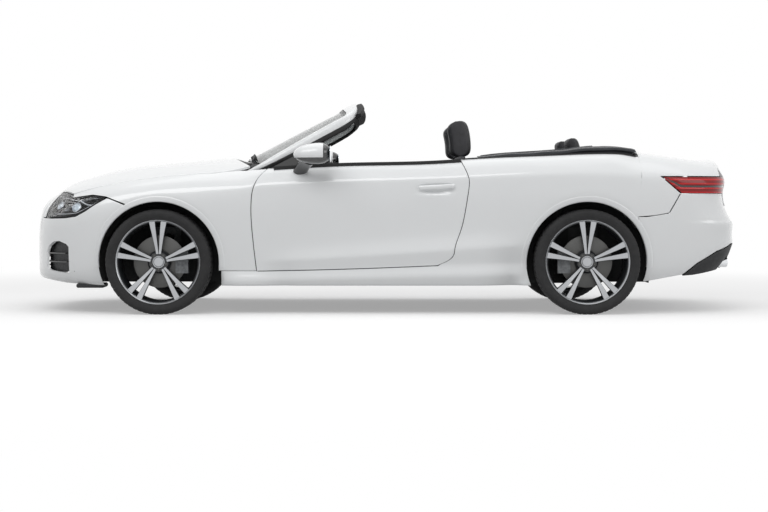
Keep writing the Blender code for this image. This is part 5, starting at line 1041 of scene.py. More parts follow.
def front_fender():
    """The front wing: the flank from headlamp to door, split evenly, with the wheel's arch cut out of it."""
    x_at = side_x(lambda z: WING_NOSE_X, lambda z: door_front(z) - DOOR_GAP)
    foot = WING_FOOT_SHARES[-1][1] * HEIGHT
    outer = flank(x_at, lambda x: foot, steps(140, 0.2), steps(72, 0.2), top_half_width_at=wing_top)
    outer = hem(outer)
    inner = inward(outer, INNER)
    inner[:, -1] = outer[:, -1] - (0, 0, INNER)
    inner[:, 0, 2] = outer[:, 0, 2]
    inner[-1, :, 0] -= 0.004
    fender = shell("fender_left", outer, inner, "white_pearl_lacquer")
    lamp_side = [(x * HALF_LENGTH, z * HEIGHT) for x, z in WING_FOOT_SHARES[:-2]]
    lamp_side = [(-HALF_LENGTH, 0.0), (-HALF_LENGTH, lamp_side[0][1])] + lamp_side + [(lamp_side[-1][0], 0.0)]
    cut(fender, wheel_room(ARCH_RADIUS, -1, FRONT_AXLE_X), drawn(lamp_side, "Y", -WIDTH, 0.0))
    pair(fender)


def door_outline():
    """The left door's outer skin, as fine as its creases need."""
    x_at = side_x(lambda z: door_front(z), lambda z: door_rear(z) - SHUT_GAP / 2)
    return flank(x_at, lambda x: door_foot_line(x) + SHUT_GAP / 2, steps(110, 0.2), steps(100, 0.1), belt_line)


def door():
    """The door: its skin with the shut edges rolled in, a wall to the cabin's side, and the hinges' pockets."""
    outer = hem(door_outline())
    # The handle's recess is a dish pressed into the skin
    dish = np.exp(-(((outer[..., 0] - 0.335) / 0.105) ** 4) - ((outer[..., 2] - 0.812) / 0.03) ** 4)
    outer = inward(outer, 0.014 * dish[..., None])
    inner = outer.copy()
    inner[..., 1] = -WALL_FACE_Y
    inner[0, :, 0] += 0.004
    inner[-1, :, 0] -= 0.004
    piece = shell("door_left", outer, inner, "white_pearl_lacquer", "door_left_body", 35)
    px, py = DOOR_PIN
    outline = [(px + dx, -(py + dy)) for dx, dy in POCKET]
    cut(piece, *(drawn(outline, "Z", h - HINGE_HALF, h + HINGE_HALF) for h in HINGE_HEIGHTS))
    pair(piece)


def quarter():
    """The rear quarter and sill: the flank behind the door and under it, with the door's room cut out."""
    columns = refine(QUARTER_COLUMN_SHARES, 9) * HALF_LENGTH
    low, high = columns[0], columns[-1]

    def top_at(x):
        beside_boot = np.clip((x - DECK_START_X) / (LID_FRONT_X - DECK_START_X), 0, 1)
        return DECK_HALF_WIDTH + (LID_HALF_WIDTH + SHUT_GAP - DECK_HALF_WIDTH) * beside_boot

    rows = steps(70, 0.1)
    shares = (columns - low) / (high - low)
    outer = flank(lambda u, z: low + (high - low) * u, skirt_line, shares, rows, top_half_width_at=top_at)
    outer = hem(outer)
    rows = np.concatenate([[0], [0.001], rows[1:-1], [0.999], [1]])
    thin = inward(outer, INNER)
    thin[:, -1] = outer[:, -1] - (0, 0, INNER)
    wall = outer.copy()
    wall[..., 1] = np.maximum(-WALL_FACE_Y, outer[..., 1] + INNER)
    wall[..., 2] = np.minimum(outer[..., 2], outer[:, -1:, 2] - INNER * (2 - rows))
    beside_cabin = (outer[..., 0] < DECK_START_X)[..., None]
    piece = shell("quarter_left", outer, np.where(beside_cabin, wall, thin), "white_pearl_lacquer")
    seam = WING_FOOT_SHARES[-1][1] * HEIGHT - SHUT_GAP / 2
    x = float(door_front(np.array(seam)))
    skin = door_outline()[..., (0, 2)]
    edge = skin[-1] + (SHUT_GAP, 0)
    outline = [(-HALF_LENGTH, seam), (x - DOOR_GAP, seam)]
    outline += (skin[1:-1, 0] - (0, SHUT_GAP)).tolist() + [(edge[0] - (0, SHUT_GAP)).tolist()] + edge[1:].tolist()
    past = edge[-1] + (edge[-1] - edge[-5]) * 2
    outline += [past.tolist(), (-HALF_LENGTH, float(past[1]))]
    tail = [(x * HALF_LENGTH, z * HEIGHT) for x, z in QUARTER_TAIL_CUT_SHARES]
    tools = [wheel_room(ARCH_RADIUS, -1, axle) for axle in (FRONT_AXLE_X, REAR_AXLE_X)]
    cut(piece, *tools, drawn(outline, "Y", -WIDTH, 0.0), drawn(tail, "Y", -WIDTH, 0.0))
    pair(piece)


def arch_lips():
    """The returned flange inside each arch: a thin ring that follows the panel's edge, a few millimetres deep."""
    for axle, end in ((FRONT_AXLE_X, "front"), (REAR_AXLE_X, "rear")):
        angles = np.radians(np.linspace(-14, 194, 121))
        x, z = axle + ARCH_RADIUS * np.cos(angles), ROLLING_RADIUS + ARCH_RADIUS * np.sin(angles)
        skin = fan_hit(x, fan_angle(x, height=z))
        keep = z > 0.3
        y = skin[keep, 1]
        section = []
        for grow, deep in ((0.0006, 0.003), (0.0006, 0.03), (-0.003, 0.03), (-0.003, 0.004), (-0.0018, 0.0022)):
            r = ARCH_RADIUS + grow
            section.append(xyz(axle + r * np.cos(angles[keep]), y + deep, ROLLING_RADIUS + r * np.sin(angles[keep])))
        pair(make_piece(f"arch_lip_{end}_left", *capped(np.stack(section, 1)), "white_pearl_lacquer"))


def arch_bands():
    """The flat band round each arch: a strip of the flank lifted 2.6 mm, with its outer edge faded into the panel."""
    reach = ARCH_RADIUS + np.array([0.0004, 0.002, 0.006, 0.012, 0.022, 0.029, 0.033, 0.035])
    lift = np.array([0.0016, 0.0024, 0.0026, 0.0026, 0.0026, 0.0024, 0.0012, -0.0004])
    for axle, end in ((FRONT_AXLE_X, "front"), (REAR_AXLE_X, "rear")):
        angles = np.radians(np.linspace(-5, 185, 141))
        x, z = axle + np.outer(np.cos(angles), reach), ROLLING_RADIUS + np.outer(np.sin(angles), reach)
        skin = fan_hit(x, fan_angle(x, height=z))
        outer = inward(skin, -lift[None, :, None])
        pair(shell(f"arch_band_{end}_left", outer, inward(skin, 0.0015), "white_pearl_lacquer"))


def wheel_liners():
    """The rear wheelhouses' inner walls: upright plates between each rear wheel and the boot floor."""
    for end, low in (("left", -0.606), ("right", 0.6)):
        box(f"rear_wheelhouse_{end}", (REAR_AXLE_X - 0.36, low, 0.245), (REAR_AXLE_X + 0.34, low + 0.006, 0.64),
            0.002, "moulded_plastic")


def boot_lid():
    """The boot lid: the field over the deck and down the tail, fanned about a line inside the boot."""
    u, v = grid(steps(100, 0.2), np.linspace(-1, 1, 111))
    y = v * LID_HALF_WIDTH
    first = np.arctan2(LID_FRONT_X - LID_FAN_X, LID_FAN_RISE)
    angle = first + (pi / 2 - first) * u
    start = xyz(LID_FAN_X, y, LID_FOOT_Z)
    for _ in range(5):
        outer = cast(start, xyz(np.sin(angle), 0.0, np.cos(angle)))
        fix = np.arctan2(LID_FRONT_X - LID_FAN_X, outer[0, :, 2] - LID_FOOT_Z)
        angle = fix[None, :] * (1 - u) + pi / 2 * u
    # A dish for the plate between two soft edges, and a sharper spoiler lip above it
    plate = np.exp(-((outer[..., 1] / 0.34) ** 8) - ((outer[..., 2] - 0.815) / 0.085) ** 8)
    outer = inward(outer, 0.012 * (plate * (outer[..., 0] > 2.1))[..., None])
    outer = hem(outer)
    inner = inward(outer, INNER)
    inner[:2, :, 0] += 0.003
    inner[-1, :, 2] = outer[-1, :, 2]
    lid = shell("boot_lid", outer, inner, "white_pearl_lacquer", "boot_lid_body")
    notches = []
    for side in (-1, 1):
        middle, wide = side * LID_HINGE[0], LID_HINGE[1]
        notches.append(slab((1.6, middle - wide, 1.0), (LID_HINGE[2], middle + wide, 1.5), 0.001))
    cut(lid, *notches)


LID_HINGE = (0.2, 0.042, 1.697)


def front_bumper():
    """The nose: a level band round the field, with the grille's and the intake's openings and the arches cut."""
    rows = BUMPER_TOP_SHARES
    angles = np.linspace(rows[0][0], rows[-1][0], 110)
    highs = edge_heights(rows, 1, angles, BONNET_GAP)
    lows = skirt_line(band_hit(np.radians(angles), np.full_like(angles, FAN_HEIGHT), -1)[..., 0])
    angles, lows, highs = both_sides(angles, lows, highs)
    outer = hem(band(angles, lows, highs, steps(72, 0.2), -1))
    piece = shell("front_bumper", outer, inward(outer, INNER), "white_pearl_lacquer")
    tools = [wheel_room(ARCH_RADIUS, side, FRONT_AXLE_X) for side in (-1, 1)]
    for half_width, low, high, round_off in (
        (0.42, 0.43, 0.66, 0.05), (0.48, 0.245, 0.345, 0.03),
    ):
        tools.append(drawn(rounded(half_width, low, high, round_off), "X", -LENGTH, -2.1))
    for side in (-1, 1):
        fog = [(side * y, z) for y, z in FOG_OPENING]
        tools.append(drawn(fog, "X", -LENGTH, -2.055))
    cut(piece, *tools)


# The fog inlet, seen from the front: the heights of its two bars, and its outline as (|y|, z)
FOG_BAR_HEIGHTS = (0.338, 0.394)
FOG_OPENING = (
    (0.65, 0.3), (0.668, 0.284), (0.79, 0.262), (0.812, 0.272), (0.822, 0.3), (0.814, 0.42), (0.8, 0.456),
    (0.772, 0.474), (0.735, 0.47), (0.69, 0.44), (0.664, 0.4),
)


def rounded(half_width, low, high, radius, steps_each=8):
    """A rounded rectangle in (across, height) pairs."""
    middle, half = (low + high) / 2, (high - low) / 2
    points = []
    for turn, sy, sz in ((0, 1, 1), (90, -1, 1), (180, -1, -1), (270, 1, -1)):
        for a in np.radians(np.linspace(turn, turn + 90, steps_each)):
            across = sy * (half_width - radius) + radius * cos(a)
            points.append((across, middle + sz * (half - radius) + radius * sin(a)))
    return points


def nose_openings():
    """What shows in the nose: a lattice plate, level slats across both openings, and two bars in each fog inlet."""
    box("grille", (-2.24, -0.46, 0.24), (-2.216, 0.46, 0.67), 0.002, "lattice_plastic")
    fog_y = np.linspace(0.665, 0.792, 13)
    fog_section = [(-0.008, -0.0025), (0.012, -0.004), (0.012, 0.004), (-0.008, 0.004)]
    slats = []
    # Each row is (places across, heights, depth behind the skin, section)
    for y, heights, depth, section in (
        (np.linspace(-0.405, 0.405, 33), np.linspace(0.452, 0.638, 8), 0.022,
         [(-0.01, -0.0025), (0.006, -0.0035), (0.006, 0.0035), (-0.01, 0.0045)]),
        (np.linspace(-0.465, 0.465, 41), (0.268, 0.295, 0.322), 0.03,
         [(-0.014, -0.003), (0.01, -0.005), (0.01, 0.005), (-0.014, 0.005)]),
        (-fog_y, FOG_BAR_HEIGHTS, 0.02, fog_section), (fog_y, FOG_BAR_HEIGHTS, 0.02, fog_section),
    ):
        slats += [sweep(xyz(band_x(y, z) + depth, y, z), section) for z in heights]
    make_piece("nose_slats", *gather(*slats), "black_lacquer")
    backs = []
    for side in (-1, 1):
        y = side * np.linspace(0.645, 0.8, 15)
        z = np.linspace(0.275, 0.47, 9)
        y, z = grid(y, z)
        sheet = xyz(np.minimum(band_x(y, z) + 0.045, -2.02), y, z)
        backs.append(shell_parts(sheet, sheet + (0.006, 0, 0)))
    make_piece("fog_inlet_backs", *gather(*backs), "lattice_plastic")


def band_x(y, z):
    """Where the nose's surface lies, for places across the car and heights."""
    y, z = np.broadcast_arrays(np.asarray(y, float), np.asarray(z, float))
    angle = np.arctan2(np.full_like(y, 0.55), -y)
    for _ in range(8):
        hit = band_hit(angle, z, -1)
        angle = np.arctan2(-BAND_X - hit[..., 0], -y)
    return band_hit(angle, z, -1)[..., 0]


def under_lip():
    """The black spoiler under the bumper, following its lower edge round the nose."""
    angles = np.radians(np.linspace(54, 126, 81))
    path = inward(band_hit(angles, np.full_like(angles, 0.25), -1), 0.03)
    path[:, 2] = 0.236
    section = [(-0.01, -0.016), (0.012, -0.016), (0.014, 0.0), (0.01, 0.014), (-0.01, 0.014)]
    flaps = [slab((-2.01, low, 0.168), (-1.83, low + 0.19, 0.196), 0.008) for low in (-0.79, 0.6)]
    make_piece("under_lip", *gather(sweep(path, section), *flaps), "moulded_plastic")


REAR_BUMPER_FIRST = -6.6


def rear_bumper():
    """The rear bumper: a level band round the tail from arch to arch."""
    rows = REAR_BUMPER_SHARES
    angles = np.linspace(REAR_BUMPER_FIRST, rows[-1][0], 110)
    lows, highs = edges_of(rows, angles)
    angles, lows, highs = both_sides(angles, lows, highs + 0.0022)
    outer = band(angles, lows, highs, steps(72, 0.2), 1)
    # The crease across the bumper: above a line 0.60 m up the skin steps in by 6 mm
    step = 0.5 + 0.5 * np.tanh((0.6 - outer[..., 2]) / 0.006)
    fade = np.clip((outer[..., 0] - 1.95) / 0.2, 0, 1) * np.clip((outer[..., 2] - 0.33) / 0.25, 0, 1)
    outer = inward(outer, 0.006 * (fade * (1 - step))[..., None])
    outer = hem(outer)
    piece = shell("rear_bumper", outer, inward(outer, INNER, squared(angles)), "white_pearl_lacquer")
    cut(piece, *(wheel_room(ARCH_RADIUS, side, REAR_AXLE_X) for side in (-1, 1)))


def diffuser():
    """The black panel under the rear bumper, with four upright fins and round rooms for the tips."""
    rows = DIFFUSER_SHARES
    angles = np.linspace(rows[0][0], rows[-1][0], 60)
    angles, lows, highs = both_sides(angles, *edges_of(rows, angles))
    v = steps(24, 0.1)
    outer = band(angles, lows, highs, v, 1)
    lip = (v**4)[None, :, None]
    outer = inward(outer, 0.016) * (1 - lip) + outer * lip
    piece = shell("rear_diffuser", outer, inward(outer, INNER), "moulded_plastic")
    cut(piece, *(tube((2.0, side * 0.6, 0.322), (2.6, side * 0.6, 0.322), 0.05, 48) for side in (-1, 1)))
    fins = []
    for y in (-0.33, -0.11, 0.11, 0.33):
        fins.append(slab((2.15, y - 0.006, 0.286), (2.262, y + 0.006, 0.345), 0.003))
    make_piece("diffuser_fins", *gather(*fins), "moulded_plastic")


QUARTER_COLUMN_SHARES = (
    -0.45, -0.34, -0.2, -0.06, 0.08, 0.18, 0.215, 0.25, 0.3, 0.37, 0.46, 0.56, 0.66, 0.7055,
    0.712, 0.745, 0.79, 0.83, 0.87, 0.9, 0.92, 0.9385,
)
SCREEN_EDGE_SHARES = (
    (-0.396, 0.77, 0.649, 0.03, 0.02), (-0.366, 0.782, 0.675, 0.03, 0.024), (-0.34, 0.794, 0.6985, 0.03, 0.026),
    (-0.315, 0.786, 0.724, 0.03, 0.032), (-0.217, 0.714, 0.821, 0.03, 0.042), (-0.13, 0.645, 0.903, 0.032, 0.044),
    (-0.112, 0.618, 0.921, 0.036, 0.04), (-0.108, 0.575, 0.934, 0.046, 0.034), (-0.112, 0.48, 0.947, 0.06, 0.028),
    (-0.12, 0.3, 0.9615, 0.068, 0.024), (-0.125, 0.0, 0.9695, 0.07, 0.024),
)
EDGE_POINTS = 70
SCREEN_AIM = (-0.55, 1.15)
SCREEN_SLOPE = radians(28.4)
SCREEN_NORMAL = np.array([-sin(SCREEN_SLOPE), 0.0, cos(SCREEN_SLOPE)])
GLASS_FOOT_BOW, GLASS_TOP_BOW, GLASS_FOOT_CROWN, GLASS_TOP_CROWN = 0.145, 0.04, 0.026, 0.045
SCREEN_FOOT = (-0.799, 0.985)
COWL_HALF_WIDTH, COWL_GLASS_HALF_WIDTH, COWL_GAP, COWL_DROP, COWL_BOTTOM = 0.69, 0.735, 0.01, 0.01, 0.905


LAMP_FRONT_X = -2.205


def lamp_grid(fine=48, high=36):
    rows = HEADLAMP_SHARES
    angles = np.linspace(rows[0][0], rows[-1][0], fine)
    lows, highs = edge_heights(rows, 1, angles, 0), edge_heights(rows, 2, angles, BONNET_GAP)
    return band(angles, lows, highs, steps(high, 0.2), -1)


def headlamps():
    """Each headlamp: a thin clear cover over a dark bowl with two lens barrels and a light guide along its foot."""
    outer = lamp_grid()
    # The stretch nearest the nose is painted, and the clear cover starts behind it
    split = int(np.argmax(outer[:, outer.shape[1] // 2, 0] < LAMP_FRONT_X)) if outer[0, 0, 0] > outer[-1, 0, 0] else 0
    if split:
        skin = hem(outer[split:], 0.002, 0.0015)
        pair(shell("headlamp_surround_left", skin, inward(skin, 0.004), "white_pearl_lacquer"))
        outer = outer[: split + 1]
    cover = shell("headlamp_left", hem(outer, 0.002, 0.0015), inward(hem(outer, 0.002, 0.0015), 0.0028),
                  "clear_polycarbonate")
    pair(cover)
    # The bowl falls away behind the cover, deepest in the middle
    u, v = grid(np.linspace(0, 1, outer.shape[0]), steps(outer.shape[1], 0.2))
    depth = 0.005 + 0.034 * (np.sin(pi * u) * np.sin(pi * v)) ** 0.35
    floor = inward(outer, depth[..., None])
    pair(shell("headlamp_bowl_left", floor, inward(floor, 0.003), "seal_rubber"))
    barrels, lenses, guides = [], [], []
    for share, radius in ((0.42, 0.034), (0.72, 0.03)):
        i, j = int(share * (outer.shape[0] - 1)), outer.shape[1] // 2
        centre, n = inward(outer[i : i + 1, j : j + 1], 0.02)[0, 0], normals_at(outer[i : i + 1, j : j + 1])[0, 0]
        ring, lens = barrel(radius)
        turn = np.array(Vector(n).to_track_quat("Z", "Y").to_matrix())
        for parts, (points, faces) in ((barrels, ring), (lenses, lens)):
            parts.append((points.reshape(-1, 3) @ turn.T + centre, faces))
    pair(make_piece("headlamp_barrels_left", *gather(*barrels), "lamp_silver"))
    pair(make_piece("headlamp_lenses_left", *gather(*lenses), "lamp_lens_glass"))
    for row, first, last, wide in ((6, 4, -9, 0.005), (outer.shape[1] - 8, 4, -4, 0.0034)):
        guides.append(sweep(inward(outer[first:last, row], 0.01), circle(wide, 10, 0.6)))
    # A slanted blade splits the lamp ahead of its outer corner
    blade = np.stack([outer[7 + k // 3, 5 + k] for k in range(0, 26)])
    guides.append(sweep(inward(blade, 0.012), circle(0.0065, 10, 0.5)))
    pair(make_piece("headlamp_guides_left", *gather(*guides), "lamp_silver"))
    edge = np.concatenate([outer[1:-1, 1], outer[-2, 1:-1], outer[-2:0:-1, -2], outer[1, -2:0:-1]])
    pair(make_piece("headlamp_rim_left", *sweep(inward(edge, 0.0045), circle(0.0042, 8), closed=True), "seal_rubber"))


def barrel(radius):
    """A stepped ring and a domed lens, both turned round Z: the ring is a closed profile, the dome part of a ball."""
    profile = [(radius, -0.012), (radius, 0.004), (radius * 0.93, 0.006), (radius * 0.84, 0.0),
               (radius * 0.84, -0.012)]
    ring, faces = turned(profile, 40)
    dome = [(radius * 0.82 * sin(a), -0.004 + 0.01 * cos(a)) for a in np.linspace(0.02, pi / 2, 9)]
    dome += [(radius * 0.82, -0.01), (0.0008, -0.01)]
    lens, lens_faces = turned(dome, 40)
    return (ring[..., (0, 2, 1)], faces), (lens[..., (0, 2, 1)], lens_faces)


def tail_lamps():
    """Each tail lamp: a red cover that wraps from the flank round to the boot lid, with two dark bands inside it."""
    rows = TAIL_LAMP_SHARES
    angles = np.linspace(rows[0][0], rows[-1][0], 60)
    v = steps(40, 0.2)
    outer = band(angles, *edges_of(rows, angles), v, 1, LID_HALF_WIDTH + SHUT_GAP)
    # A sculpted groove runs along the lamp, 5 mm deep
    groove = 0.005 * np.exp(-(((v - 0.42) / 0.1) ** 2))[None, :, None]
    skin = hem(inward(outer, groove), 0.002, 0.0015)
    pair(shell("tail_lamp_left", skin, inward(skin, 0.012, squared(angles)), "red_acrylic"))
    path = inward(outer[1:-1, int(0.42 * 39)], -0.0002)
    section = [(-0.0018, -0.006), (0.0018, -0.006), (0.0018, 0.006), (-0.0018, 0.006)]
    pair(make_piece("tail_lamp_band_left", *sweep(inward(path, 0.004), section), "black_lacquer"))


def ring_of(share):
    """The windscreen opening's edge, rounded by a spline through its table, from the left foot to the right one."""
    rows = np.array(SCREEN_EDGE_SHARES)
    t = np.concatenate([[0], np.cumsum(np.linalg.norm(np.diff(rows[:, :3] * (2.35, 0.925, 1.41), axis=0), axis=1))])
    fine = np.concatenate([np.linspace(t[0], t[-1], share)])
    columns = [spline(np.stack([t, rows[:, k]], -1), 1.0, 1.0)(fine) for k in range(5)]
    columns = [np.interp(fine, t, rows[:, k]) * 0.35 + c * 0.65 for k, c in enumerate(columns)]
    half = np.stack(columns[:3], -1) * (HALF_LENGTH, HALF_WIDTH, HEIGHT)
    size = np.stack(columns[3:], -1) * HEIGHT
    half[-1, 1] = 0
    return np.concatenate([half * (1, -1, 1), half[-2::-1]]), np.concatenate([size, size[-2::-1]])


def frame_axes(edge):
    """For each point of the opening's edge, the way out of the opening in the screen's plane."""
    tangent = np.gradient(edge, axis=0)
    tangent /= np.linalg.norm(tangent, axis=1, keepdims=True)
    out = np.cross(SCREEN_NORMAL, tangent)
    out /= np.linalg.norm(out, axis=1, keepdims=True)
    return out * np.sign(np.sum(out * (edge - (SCREEN_AIM[0], 0, SCREEN_AIM[1])), axis=1))[:, None]


def windscreen_frame():
    """The frame: a rounded hollow-looking section carried round the opening, with a rubber seal on its rear face."""
    edge, size = ring_of(EDGE_POINTS)
    out = frame_axes(edge)
    wide, deep = size[:, :1], size[:, 1:]

    def carried(section):
        """A section in shares of (width outwards, depth backwards), carried round the opening."""
        return np.stack([edge + out * wide * a - SCREEN_NORMAL * deep * b for a, b in section], 1)

    section = ((0.02, 0.06), (0.1, 0.01), (0.45, 0.0), (0.8, 0.08), (0.96, 0.26), (1.0, 0.5), (0.97, 0.82),
               (0.86, 0.98), (0.1, 1.0), (0.0, 0.9))
    frame_piece = make_piece("windscreen_frame", *capped(carried(section)), "white_pearl_lacquer")
    cut(frame_piece, slab((-2.0, -1.0, 0.0), (0.0, 1.0, COWL_BOTTOM + 0.0003), 0.001))
    seal = carried(((0.3, 1.0), (0.95, 0.86), (1.02, 1.02), (0.9, 1.3), (0.3, 1.36)))
    make_piece("windscreen_seal", *capped(seal[5:-6]), "seal_rubber")
    # The roof's catches and its header seal sit along the rear of the top rail
    high = edge[:, 2] > 0.925 * HEIGHT
    top = slice(np.argmax(high), len(edge) - np.argmax(high[::-1]))
    path = (edge + out * wide * 0.92 - SCREEN_NORMAL * deep * 0.75)[top] + (0.018, 0, -0.004)
    section = [(-0.03, -0.012), (0.026, -0.014), (0.034, -0.004), (0.03, 0.01), (0.008, 0.016), (-0.03, 0.012)]
    make_piece("header_seal", *sweep(path, section, up=SCREEN_NORMAL), "seal_rubber", smooth=50)
    border = carried(((-0.25, 0.3), (0.05, 0.1), (0.05, 0.4), (-0.25, 0.45)))
    make_piece("windscreen_border", *capped(border[8:-8]), "seal_rubber")


def screen_rows(count=26, across=61):
    edge, _ = ring_of(EDGE_POINTS)
    out = frame_axes(edge)
    top = edge - out * 0.001
    half = len(top) // 2
    left = top[: half + 1]
    table = np.array(SCREEN_EDGE_SHARES) * (HALF_LENGTH, HALF_WIDTH, HEIGHT, 1, 1)
    z = np.linspace(table[2, 2], table[7, 2], count)
    climb = left[: np.argmax(left[:, 2] >= table[7, 2]) + 1]
    x, y = np.interp(z, climb[:, 2], climb[:, 0]), np.interp(z, climb[:, 2], -climb[:, 1])
    share = ((z[-1] - z) / (z[-1] - z[0]))[:, None]
    v = np.linspace(-1, 1, across)[None, :]
    bow = GLASS_TOP_BOW + (GLASS_FOOT_BOW - GLASS_TOP_BOW) * share
    rise = GLASS_TOP_CROWN * (1 - share) * (1 - np.abs(v) ** 2.2) + GLASS_FOOT_CROWN * share * (1 - v * v)
    return np.stack(np.broadcast_arrays(x[:, None] - bow * (1 - v * v), v * y[:, None], z[:, None] + rise), -1)


def windscreen_glass():
    """The bent pane: level rows between the pillars, bowed forwards and crowned in the middle."""
    outer = screen_rows()
    shell("windscreen_glass", outer, outer - SCREEN_NORMAL * 0.0055, "laminated_glass")
    # The black band printed along the pane's foot
    sheet = outer[:3] - SCREEN_NORMAL * 0.0065
    shell("windscreen_foot_band", sheet, sheet - SCREEN_NORMAL * 0.0012, "seal_rubber")


def cowl_and_wipers():
    """The cowl's ribbed panel between bonnet and pane, and the two wiper arms that rest on the pane's foot."""
    u, v = grid(np.linspace(0, 1, 9), np.linspace(-1, 1, 81))
    y = v * COWL_HALF_WIDTH
    front = tail_edge_x(y) + COWL_GAP
    share = 1 - (y / COWL_GLASS_HALF_WIDTH) ** 2
    rear = SCREEN_FOOT[0] - GLASS_FOOT_BOW * share - 0.004
    roof, foot = roof_at(front, y)[..., 2] - COWL_DROP, SCREEN_FOOT[1] + GLASS_FOOT_CROWN * share - COWL_DROP
    outer = xyz(front * (1 - u) + rear * u, y, roof * (1 - u) + foot * u - 0.004 * np.sin(pi * u))
    inner = outer.copy()
    inner[..., 2] -= 0.03
    piece = shell("cowl", outer, inner, "moulded_plastic")
    cut(piece, *(slab((-1.2, y - 0.034, 0.8), (-0.874, y + 0.034, 1.3), 0.001) for y in (-ARM_Y, ARM_Y)))
    pane = screen_rows(26, 121)
    blade = [(-0.004, -0.006), (0.004, -0.006), (0.006, 0.002), (0.0, 0.008), (-0.006, 0.002)]
    arm = [(-0.006, -0.003), (0.006, -0.003), (0.005, 0.004), (-0.005, 0.004)]
    parts, blades = [], []
    for start, tip in ((-0.52, 0.02), (0.1, 0.6)):
        share_y = np.linspace(start, tip, 25)
        column = np.clip(np.round((share_y / COWL_GLASS_HALF_WIDTH + 1) * 60).astype(int), 0, 120)
        row = np.round(np.linspace(1, 2, 25)).astype(int)
        line = pane[row, column] + SCREEN_NORMAL * 0.006
        line[:, 1] = share_y
        blades.append(sweep(line, blade, up=SCREEN_NORMAL))
        root = np.array([line[0, 0] - 0.014, start - 0.05, line[0, 2] - 0.012])
        middle = line[12] + SCREEN_NORMAL * 0.008
        arm_path = np.linspace(0, 1, 9)[:, None] * (middle - root) + root
        arm_path[:, 2] += 0.003 * np.sin(pi * np.linspace(0, 1, 9))
        parts.append(sweep(arm_path, arm, up=SCREEN_NORMAL))
        parts.append(tube(root - (0, 0, 0.012), root + (0, 0, 0.006), 0.011))
    make_piece("wiper_blades", *gather(*blades), "seal_rubber")
    make_piece("wiper_arms", *gather(*parts), "moulded_plastic")


def mirrors():
    """Each door mirror: a rounded white shell over a black foot, with its glass set in the rear face."""
    (x0, x1), (z0, z1), (y0, y1) = MIRROR_X, MIRROR_Z, MIRROR_Y
    turn, rise = grid(turns(64), np.linspace(-1, 1, 33))
    # A superellipse in front view that swells forwards and is cut flat at the rear
    lift = np.sin(rise * pi / 2)
    power = lambda c, e: np.sign(c) * np.abs(c) ** e
    ring = np.sqrt(np.clip(1 - lift**2, 0, 1))
    cx, cy, cz = (x0 + x1) / 2, -(y0 + y1) / 2, (z0 + z1) / 2
    x = cx + (x1 - x0) / 2 * power(np.cos(turn), 0.85) * ring**0.75
    y = cy + (y1 - y0) / 2 * power(np.sin(turn), 0.75) * ring**0.72
    z = cz + (z1 - z0) / 2 * lift * (1 - 0.16 * np.clip((cx - x) / 0.12, -1, 1))
    z = z + 0.01 * (x - x0) / (x1 - x0)
    for part, coat in (("cap", "white_pearl_lacquer"), ("foot", "black_lacquer")):
        rows = slice(12, 33) if part == "cap" else slice(0, 33)
        skin = xyz(x, y, z)[:, rows]
        if part == "foot":
            skin = np.stack([cx, cy, cz]) + (skin - (cx, cy, cz)) * 0.975
        name = "mirror_left" if part == "cap" else "mirror_foot_left"
        piece = make_piece(name, *capped(skin.transpose(1, 0, 2)), coat, "door_left_body")
        rear = x1 - (0.058 if part == "cap" else 0.014)
        cut(piece, slab((rear, -y1 - 0.1, z0 - 0.1), (x1 + 0.1, -y0 + 0.1, z1 + 0.1), 0.001))
        pair(piece)
    glass = [(cy + (y1 - y0) / 2 * 0.86 * power(cos(a), 0.7), cz + 0.004 + (z1 - z0) / 2 * 0.8 * power(sin(a), 0.7))
             for a in turns(48)]
    pane = drawn(glass, "X", x1 - 0.0145, x1 - 0.0115)
    pair(make_piece("mirror_glass_left", *pane, "mirror_silver", "door_left_body"))
    # The arm leaves the door's front corner, rises and reaches out to the shell
    t = np.linspace(0, 1, 15)[:, None]
    start, end = np.array([-0.545, -0.85, 0.922]), np.array([-0.48, -0.99, 0.992])
    path = start + (end - start) * t + np.array([0, 0, 0.012]) * np.sin(pi * t)
    section = circle(0.046, 20, 0.55)
    pair(make_piece("mirror_arm_left", *sweep(path, section, up=(0, 0.5, 1)), "black_lacquer", "door_left_body"))


def door_trim():
    """What the door carries outside: the handle, the belt's black strip, and the black corner piece at the mirror."""
    x = np.linspace(0.228, 0.452, 33)
    z = 0.826 + (x - 0.228) * 0.055
    skin = fan_hit(x, fan_angle(x, height=z))
    # The grip stands 8 mm off the skin between two feet
    lift = 0.006 + 0.012 * np.sin(pi * np.linspace(0, 1, 33)) ** 0.4
    path = inward(skin, -lift[:, None])
    path[:, 2] = z - 0.004
    section = [(-0.007, -0.011), (0.002, -0.014), (0.006, -0.006), (0.006, 0.006), (0.002, 0.012), (-0.007, 0.012)]
    grip = make_piece("door_handle_left", *sweep(path, section), "white_pearl_lacquer", "door_left_body", 60)
    pair(grip)
    x = np.linspace(-0.715, 0.5, 140)
    top = belt_line(x)
    edge = fan_hit(x, fan_angle(x, height=top - 0.012))
    path = xyz(x, edge[:, 1] + 0.012, top - 0.002)
    section = [(-0.018, -0.012), (0.015, -0.01), (0.0155, 0.002), (0.008, 0.01), (-0.018, 0.01)]
    section = [(-a, b) for a, b in section]
    pair(make_piece("belt_strip_left", *sweep(path, section), "seal_rubber", "door_left_body"))
    outline = [(-0.735, 0.95), (-0.56, 0.962), (-0.33, 0.98), (-0.36, 0.99), (-0.545, 1.02), (-0.59, 1.025)]
    pair(make_piece("mirror_corner_left", *drawn(outline, "Y", -0.805, -0.78), "black_lacquer", "door_left_body"))


